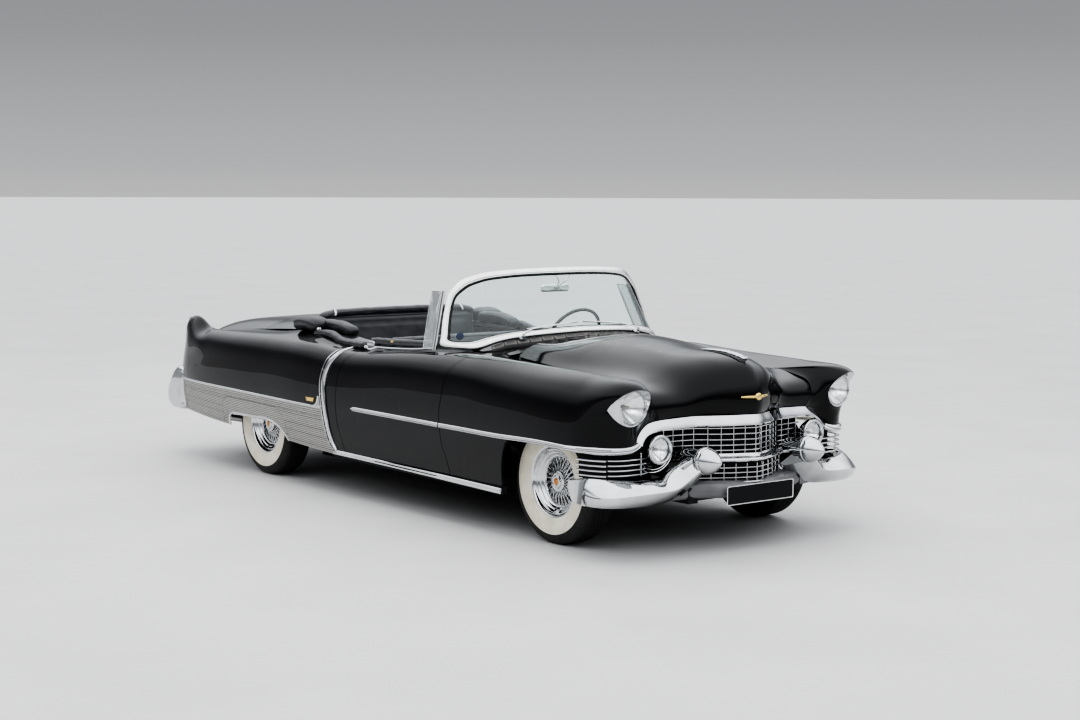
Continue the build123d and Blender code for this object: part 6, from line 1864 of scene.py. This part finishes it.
cushion("front_bench_cushion", [(45, 380), (45, 545), (300, 535), (560, 570), (600, 540), (585, 380)], 650, [(0, 1)], ["front_seat_cushion"], seed=3, crown=16)
cushion("front_bench_back", [(15, 400), (35, 530), (-40, 1000), (-58, 1046), (-122, 1046), (-150, 990), (-105, 400)], 650, [(1, 0.12)], ["front_seat_back"], seed=5, crown=12, end=28, corner=28, dip=0)
cushion("rear_bench_cushion", [(-870, 380), (-878, 540), (-430, 560), (-410, 520), (-420, 380)], 615, [(0, 1)], ["rear_seat_cushion"], seed=7, crown=14, seats=(330,))
cushion("rear_bench_back", [(-884, 400), (-884, 560), (-978, 1106), (-990, 1132), (-1068, 1134), (-1066, 1000), (-996, 620), (-996, 400)], 640, [(1, 0.16)], ["rear_seat_back"], seed=9, crown=12, end=26, corner=20, dip=0, pleat=112, puff=2.4, rim=46)


def bolster(name, path_, ra, rb, section_pow=2.6, seed=1, squeeze=None, nv=40, n=96, tip=46, replaces=()):
    """A stuffed roll along a path: rounded ends, flattened section, creases and a welt along each side."""
    pth = through(path_, n)
    d_ = np.r_[0, np.cumsum(np.linalg.norm(np.diff(pth, axis=0), axis=1))]
    L0 = d_[-1]
    k_ = np.clip(np.minimum(d_, L0 - d_) / tip, 0, 1)
    fat = np.sqrt(np.clip(1 - (1 - k_) ** 2.4, 0.0004, 1))
    if squeeze is not None:
        for at_, by_, wd_ in squeeze:
            fat = fat * (1 - by_ * np.exp(-((d_ / L0 - at_) / wd_) ** 2))
    a = np.linspace(0, 2 * pi, nv, endpoint=False)
    sec = np.column_stack([np.sign(np.cos(a)) * np.abs(np.cos(a)) ** (2 / section_pow) * ra, np.sign(np.sin(a)) * np.abs(np.sin(a)) ** (2 / section_pow) * rb])
    up_ = np.array([0, 0, 1.0])
    g_ = sweep(pth, sec, up_, scale=fat)
    g_ += unit(g_ - pth[:, None]) * (creases(d_[:, None], (a * ra)[None], seed, 1.5) * fat[:, None])[..., None]
    b_ = Soup()
    b_.grid(g_, close_v=True, cap_u=True)
    for q_ in (nv // 16, nv // 2 - nv // 16):
        b_.grid(sweep(g_[3:-3, q_], circle(2.6, 8), up_), close_v=True, cap_u=True, mat=1)
    return b_


roll = bolster("rear_seat_roll", [(-1000, -648, 1118), (-1012, -600, 1134), (-1022, -500, 1145), (-1029, -250, 1150), (-1031, 0, 1151), (-1029, 250, 1150), (-1022, 500, 1145), (-1012, 600, 1134), (-1000, 648, 1118)], 38, 31, 2.2, seed=21, n=200, tip=38)
ob = roll.make("rear_seat_top_roll", ["leather", "leather_piping"], slot="leather", angle=70)
# bright strap at each end of the roll
for sg in (1, -1):
    st = Soup()
    arc_a = np.linspace(rad(-35), rad(150), 22)
    pth = np.column_stack([-1019 + np.cos(arc_a) * 42, 548.0 * sg - np.linspace(0, 26, 22) * sg, 1141 + np.sin(arc_a) * 35])
    st.grid(sweep(pth, rounded([(-8, -1.5), (8, -1.5), (8, 2.2), (-8, 2.2)], 1.4, 2), np.column_stack([np.cos(arc_a), np.zeros(22), np.sin(arc_a)])), close_v=True, cap_u=True)
    st.grid(lathe([(0, 6), (7, 5), (10, 2), (10, -3)], pth[3], (cos(arc_a[3]), 0, sin(arc_a[3])), 20), close_v=True)
    st.make("seat_roll_strap_" + ("left" if sg > 0 else "right"), ["chrome"], slot="chrome")

for sg, side in ((1, "left"), (-1, "right")):
    y_ = 690 * sg
    yr = lambda v: v * sg
    up1 = bolster("rear lobe", [(-1114, yr(742), 1066), (-1060, yr(746), 1086), (-990, yr(747), 1098), (-920, yr(745), 1096), (-860, yr(738), 1084), (-812, yr(728), 1066)], 82, 51, 2.5, seed=31, n=92, nv=44, tip=70)
    fr1 = bolster("front lobe", [(-940, yr(674), 1076), (-860, yr(678), 1086), (-760, yr(680), 1088), (-660, yr(680), 1083), (-570, yr(678), 1068), (-505, yr(676), 1048)], 45, 39, 2.5, seed=32, n=92, nv=38, tip=46)
    lo1 = bolster("foot", [(-1000, yr(690), 1028), (-820, yr(688), 1022), (-700, yr(686), 1018), (-520, yr(682), 1012)], 42, 24, 2.8, seed=33, n=72, tip=34)
    for more in (fr1, lo1):
        up1.raw(np.vstack(more.v), more.f, more.m)
    ob = up1.make("rear_bolster_" + side, ["leather", "leather_piping"], slot="leather", replaces=["rear_side_bolsters"], angle=70)
    qr = bolster("quarter roll", [(-850, yr(772), 1030), (-740, yr(786), 1042), (-640, yr(795), 1044), (-560, yr(801), 1034), (-470, yr(808), 1012), (-360, yr(814), 1002), (-250, yr(818), 1000), (-130, yr(824), 1000)], 30, 24, 2.3, seed=35, n=100, tip=26)
    ob = qr.make("quarter_top_pad_" + side, ["leather", "leather_piping"], slot="leather", angle=70)
    pin = Soup()
    pin.grid(lathe([(0, 20), (8, 19), (12, 14), (12, 4), (15, 2), (15, -6)], (-806, 776 * sg, 1060), unit(np.array([0.35, sg, 0.35])), 24), close_v=True)
    pin.make("bolster_pin_" + side, ["chrome"], slot="chrome")

    # padded trim beside the rear seat, with upright flutes
    tx_ = np.linspace(-936, -292, 96)
    tz_ = np.linspace(264, 983, 46)
    X_, Z_ = np.meshgrid(tx_, tz_, indexing="ij")
    ex = np.minimum(X_ - tx_[0], tx_[-1] - X_)
    ez = np.minimum(Z_ - tz_[0], tz_[-1] - Z_)
    edge_ = np.clip(np.minimum(ex, ez) / 14, 0, 1)
    roundoff = 6 * (1 - np.sqrt(np.clip(1 - (1 - edge_) ** 2, 0, 1)))
    fl = step(18, 34, ex) * step(430, 446, Z_) * (1 - step(850, 866, Z_))
    hgt_ = 12 - roundoff - 3 + fl * (np.abs(np.sin(pi * X_ / 62)) ** 0.5 * 5 - 3) - 3 * np.exp(-((Z_ - 438) / 6) ** 2) - 3 * np.exp(-((Z_ - 858) / 6) ** 2) + creases(X_, Z_, 41, 0.7) * edge_
    outer_ = np.stack([X_, (752 - hgt_) * sg, Z_], -1)
    tr = Soup()
    tr.grid(outer_)
    tr.grid(np.stack([X_, np.full_like(X_, 751.5 * sg), Z_], -1), flip=True)
    ring_ = lambda g: np.vstack([g[0, :-1], g[:-1, -1], g[-1, :0:-1], g[:0:-1, 0]])
    tr.grid(np.stack([ring_(outer_), ring_(np.stack([X_, np.full_like(X_, 751.5 * sg), Z_], -1))]), close_v=True)
    ob = tr.make("rear_side_panel_" + side, ["leather"], slot="leather", replaces=["rear_side_trim"], angle=70)

# the padded roll along each door top
dr = bolster("door_roll", [(-38, 834, 1036), (60, 834, 1041), (250, 834, 1046), (466, 834, 1054), (600, 834, 1060), (668, 833, 1064)], 25, 24, 2.5, seed=51, n=90, tip=22, squeeze=[])
dpl = dr.flipped()
for s_, side in ((dr, "left"), (dpl, "right")):
    ob = s_.make("door_top_roll_" + side, ["leather", "leather_piping"], body="door_" + side, slot="leather", replaces=["door_pad_" + side], angle=70)
db = Soup()
o = rounded([(-13, -7), (13, -7), (15, 0), (13, 7), (-13, 7), (-15, 0)], 3, 3)
dnv = unit(np.array([0, 0.88, 0.47]))
dtz = unit(np.cross((1, 0, 0), dnv))
rows = [[np.array([236, 856, 1053]) + dnv * h_ + np.array([1.0, 0, 0]) * q[0] * f_ + dtz * q[1] * f_ for q in o] for h_, f_ in ((-3, 1), (2.6, 1), (3.6, 0.9), (3.2, 0.74), (3.2, 0.2))]
db.grid(np.array(rows), close_v=True, cap_u=True)
pair(db, "door_roll_badge", ["gilt"], bodies=("door_left", "door_right"), slot="chrome")

# ============================================================ dashboard
dash = Soup()
dprof = np.array([(950, 912), (949, 1052), (918, 1050), (896, 1043), (872, 1024), (856, 1008), (850, 998), (852, 990), (858, 984), (855, 964), (854, 946), (858, 930), (868, 916), (880, 912)], float)
dp_ = resample(rounded(dprof, 12, 4), 76)
yd = np.linspace(-679, 679, 140)
G3 = np.zeros((140, 76, 3))
for i, y_ in enumerate(yd):
    hood_up = 10 * (1 - step(125, 185, abs(y_ - 390)))
    q = dp_.copy()
    q[:, 0] = np.clip(q[:, 0] - hood_up * np.exp(-((q[:, 1] - 1010) / 26) ** 2) * (q[:, 0] < 900), 845.5, 957)
    G3[i, :, 0], G3[i, :, 1], G3[i, :, 2] = q[:, 0], y_, q[:, 1]
dash_mat = np.zeros((139, 76), int)
zc_, xc_ = dp_[:, 1], dp_[:, 0]
dash_mat[:, :] = np.where((zc_ > 996), 1, 0)[None]
dash.grid(G3, close_v=True, cap_u=True, mat=dash_mat)
for z_ in (938, 946, 954, 962, 970):
    dash.grid(sweep(np.column_stack([np.full(60, 853.0), np.linspace(-672, 186, 60), np.full(60, float(z_))]), half_round(5, 2.6, 5, 3), (-1, 0, 0)), close_v=True, cap_u=True, mat=2)
dash.make("dash_panel", ["paint_inner", "leather", "chrome"], slot="black_paint", replaces=["dashboard"], angle=40)
di = Soup()
o = rounded([(-146, 926), (146, 926), (150, 940), (140, 984), (110, 992), (-110, 992), (-140, 984), (-150, 940)], 14, 4)
rows = [[(x_, 390 + q[0] * f_, 958 + (q[1] - 958) * f_) for q in o] for x_, f_ in ((858, 1.0), (848.5, 1.0), (846.4, 0.975), (847.0, 0.95), (851, 0.935), (851, 0.3))]
di.grid(np.array(rows, float), close_v=True, cap_u=True)
di.raw(np.array([(850.6, 390 + q[0] * 0.92, 958 + (q[1] - 958) * 0.9) for q in o], float), [tuple(range(len(o)))], 1)
for k in range(-5, 6):
    a_ = rad(90 + k * 14)
    for r0_, r1_ in ((94, 104),):
        c0_, c1_ = [np.array([850.0, 390 + cos(a_) * r_ * 1.1, 900 + sin(a_) * r_ * 0.78]) for r_ in (r0_, r1_)]
        if abs(c1_[1] - 390) < 128 and 930 < c1_[2] < 986:
            di.grid(sweep(np.array([c0_, c1_]), circle(1.1, 6), (1, 0, 0)), close_v=True, cap_u=True, mat=2)
di.grid(sweep(np.array([(849.4, 390, 932), (849.2, 362, 974)]), circle(1.0, 6), (1, 0, 0), scale=[1.4, 0.5]), close_v=True, cap_u=True, mat=3)
di.grid(lathe([(0, 3), (5, 2.6), (6, 0)], (850, 390, 932), (-1, 0, 0), 20), close_v=True)
for y_, r_ in ((236, 13), (214, 13), (-40, 15), (566, 13), (596, 13)):
    di.grid(lathe([(0, 17), (r_ * 0.7, 16), (r_, 13), (r_ * 0.9, 8), (r_ * 0.5, 4), (r_ * 0.5, -3)], (864, y_, 950), (-1, 0, 0), 28), close_v=True)
di.grid(lathe([(0, 4.2), (31, 4.2), (34, 6.4), (37, 4), (38, -3)], (853, -140, 954), (-1, 0, 0), 48), close_v=True)
di.grid(lathe([(0, 4.6), (30, 4.6)], (853, -140, 954), (-1, 0, 0), 48), close_v=True, mat=1)
for a_, l_ in ((rad(60), 24), (rad(150), 17)):
    di.grid(sweep(np.array([(848, -140, 954), (848, -140 + cos(a_) * l_, 954 + sin(a_) * l_)]), circle(0.9, 6), (1, 0, 0)), close_v=True, cap_u=True, mat=2)
di.make("dash_instruments", ["chrome", "dial", "gasket", "enamel_red"], slot="chrome", angle=40)

# ============================================================ steering wheel and column
SA = np.array([-cos(rad(28)), 0, sin(rad(28))])
SC = np.array([520.0, 390.0, 1045.0])
su = np.array([0.0, 1.0, 0.0])
sv = np.cross(SA, su)
sv = sv if sv[2] > 0 else -sv


def on_wheel(a, r_, h_=0.0):
    a = np.asarray(a, float)
    return SC + (np.cos(a) * r_)[..., None] * su + (np.sin(a) * r_)[..., None] * sv + np.asarray(h_)[..., None] * SA if np.ndim(a) else SC + cos(a) * r_ * su + sin(a) * r_ * sv + h_ * SA


sw = Soup()
aa = np.linspace(0, 2 * pi, 180, endpoint=False)
cir = on_wheel(aa, np.full(180, 208.0), np.zeros(180))
grip = 1 + 0.055 * np.cos(aa * 44) * (np.abs(np.sin(aa)) < 0.995)
sw.grid(sweep(cir, circle(11.0, 16, 12.0), SA, closed=True, scale=grip), close_u=True, close_v=True)
cir2 = on_wheel(aa, np.full(180, 200.0), np.zeros(180))
sw.grid(sweep(cir2, circle(3.0, 8), SA, closed=True), close_u=True, close_v=True, mat=1)
for a_ in (rad(4), rad(176)):
    pts_ = np.array([on_wheel(a_, r_, h_) for r_, h_ in ((34, -16), (80, -17), (140, -12), (180, -4), (204, 0))])
    for off_ in (-9, 0, 9):
        q = through(pts_ + np.cross(SA, unit(pts_[-1] - SC)) * off_ * np.linspace(0.7, 1.2, 5)[:, None], 24)
        sw.grid(sweep(q, circle(3.6, 8, 3.0), SA), close_v=True, cap_u=True, mat=1)
hr_a = np.linspace(rad(188), rad(352), 70)
hr_p = on_wheel(hr_a, np.full(70, 134.0), np.full(70, -2.0))
hr_p = np.vstack([[on_wheel(rad(178), 60, -4), on_wheel(rad(181), 100, -3)], hr_p, [on_wheel(rad(-1), 100, -3), on_wheel(rad(2), 60, -4)]])
sw.grid(sweep(through(hr_p, 110), circle(4.0, 10, 3.4), SA), close_v=True, cap_u=True, mat=1)
sw.grid(lathe([(0, 20), (16, 18.5), (30, 12), (36, 4), (38, -6), (36, -22), (30, -30), (0, -30)], SC, SA, 48, smooth=40), close_v=True, mat=0)
sw.grid(lathe([(0, 22.5), (12, 21.8), (20, 19), (24, 15), (25, 12)], SC, SA, 48), close_v=True, mat=1)
sw.grid(lathe([(37, 2), (40, 0), (41, -4), (38, -8)], SC, SA, 48), close_v=True, mat=1)
sw.make("steering_wheel_rim", ["bakelite", "chrome"], body="steering_wheel", slot="dark_steel", replaces=["steering_wheel"], angle=40)
sl = Soup()
sl.grid(lathe([(0, -31), (26, -32), (29, -36), (29, -60), (26.5, -66), (26, -120), (30, -124), (30, -150), (26, -156), (26, -420), (29, -424), (29, -440), (26, -446), (26, -680), (22, -684), (0, -684)], SC, SA, 48), close_v=True)
sl.grid(lathe([(29.5, -44), (31, -46), (31, -52), (29.5, -54)], SC, SA, 48), close_v=True, mat=1)
sl.make("column_jacket", ["paint_inner", "chrome"], slot="dark_steel", replaces=["steering_column"], angle=34)

# ============================================================ rear bumper
RPOD = np.array([(-2519, 360), (-2519, 660), (-2560, 681), (-2640, 680), (-2725, 630), (-2795, 545), (-2837, 480), (-2832, 410), (-2745, 352)], float)


def pod_span(z):
    """Front and rear x of the pod's side outline at height z."""
    xs_ = []
    for a_, b_3 in zip(RPOD, np.roll(RPOD, -1, 0)):
        if min(a_[1], b_3[1]) - 1e-9 <= z <= max(a_[1], b_3[1]) + 1e-9 and abs(a_[1] - b_3[1]) > 1e-6:
            xs_.append(a_[0] + (b_3[0] - a_[0]) * (z - a_[1]) / (b_3[1] - a_[1]))
    return max(xs_), min(xs_)


for sg, side in ((1, "left"), (-1, "right")):
    rp_s = Soup()
    zz = np.r_[352.5, 353.5, 356, 361, 368, np.linspace(378, 655, 44), 664, 671, 676.5, 679.6, 680.6]
    rows = []
    aa = np.linspace(0, 2 * pi, 72, endpoint=False)
    yc_ = 878.5
    for z in zz:
        xf, xr = pod_span(float(np.clip(z, 360.5, 679)))
        tb = np.clip(min(z - 352, 681 - z) / 30, 0, 1)
        f_ = math.sqrt(max(1 - (1 - tb) ** 2, 0.0))
        hw = 83 * (0.55 + 0.45 * f_) * (1 - 0.16 * float(step(560, 681, z)))
        cx_, hl = (xf + xr) / 2, (xf - xr) / 2 * (0.72 + 0.28 * f_)
        ca, sa = np.cos(aa), np.sin(aa)
        ex_ = np.where(ca < 0, 2 / 2.3, 2 / 6.0)
        rows.append(np.column_stack([cx_ + np.sign(ca) * np.abs(ca) ** ex_ * hl, (yc_ + np.sign(sa) * np.abs(sa) ** (2 / 2.7) * hw) * sg, np.full(72, z)]))
    rp_s.grid(np.array(rows), close_v=True, cap_u=True)
    pod_ob = rp_s.make("tmp_pod_" + side, ["chrome"], body=None, angle=50)
    cut = Soup()
    cut.grid(lathe([(0, 60), (38, 60), (34, 4), (34, -150), (0, -150)], (-2830, 880 * sg, 440), (-1, 0, 0), 48), close_v=True)
    cut_ob = cut.make("tmp_cut_" + side, ["chrome"], body=None)
    md = pod_ob.modifiers.new("bore", "BOOLEAN")
    md.operation, md.object, md.solver = "DIFFERENCE", cut_ob, "EXACT"
    dg = C.evaluated_depsgraph_get()
    me2 = bpy.data.meshes.new_from_object(pod_ob.evaluated_get(dg))
    me2.name = "rear_bumper_pod_" + side
    bpy.data.objects.remove(cut_ob, do_unlink=True)
    bpy.data.objects.remove(pod_ob, do_unlink=True)
    bm = bmesh.new()
    bm.from_mesh(me2)
    for f in bm.faces:
        f.smooth = True
    for e in bm.edges:
        if len(e.link_faces) == 2:
            e.smooth = e.calc_face_angle(0) < rad(42)
    bm.to_mesh(me2)
    bm.free()
    pod_ob = bpy.data.objects.new("rear_bumper_pod_" + side, me2)
    C.scene.collection.objects.link(pod_ob)
    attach(pod_ob, ROOT)
    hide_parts("rear_bumper")
    pr_ = Soup()
    xf, xr = pod_span(440.0)
    pr_.grid(lathe([(33.8, 30), (36, 36), (39.5, 38), (42, 35), (42.5, 30), (40, 26)], (-2796, 880 * sg, 440), (-1, 0, 0), 56), close_v=True)
    pr_.grid(lathe([(33.9, 33), (33.2, 0), (32.8, -110), (0, -112)], (-2796, 880 * sg, 440), (-1, 0, 0), 56), close_v=True, mat=1)
    pr_.make("exhaust_outlet_" + side, ["chrome", "gasket"], slot="chrome", angle=40)

rb = Soup()
ybar = np.linspace(-812, 812, 121)
xo = -2811.5 + 21.5 * (np.abs(ybar) / 800) ** 2.2
rows = []
for d_, z in ((34, 480), (16, 479), (7, 484), (2.5, 494), (0.6, 508), (0, 524), (0, 541), (0, 558), (0.6, 574), (2.5, 588), (7, 598), (16, 603), (34, 602)):
    groove = 2.6 if z == 541 else 0
    rows.append(np.column_stack([np.minimum(xo + d_ + groove, -2752), ybar, np.full(121, float(z))]))
inner_ = [np.column_stack([np.full(121, -2751.0), ybar, np.full(121, float(z))]) for z in (600, 541, 482)]
rb.grid(np.stack(rows + inner_, 1), close_v=True, cap_u=True)
rb.make("rear_bumper_bar", ["chrome"], slot="chrome", replaces=["rear_bumper"], angle=40)

# ============================================================ finishes on the construction parts that stay
STAY = {"chassis_frame": "underseal", "cowl_and_firewall": "paint_inner", "drive_shaft": "bare_steel", "engine_block": "cast", "exhaust_pipes": "bare_steel",
        "floor_pan": "carpet", "inner_fenders": "underseal", "knuckles": "cast", "leaf_springs": "dark_steel", "radiator": "grey_metal", "rear_axle": "dark_steel",
        "sills": "underseal", "suspension_arms": "dark_steel", "fuel_tank": "dark_steel", "front_valance": "silver_paint"}
for node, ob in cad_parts.items():
    if ob.hide_render:
        continue
    for key, mname in STAY.items():
        if node.startswith(key.rstrip("s")) or node == key:
            ob.data.materials.clear()
            ob.data.materials.append(MATS[mname])
            break
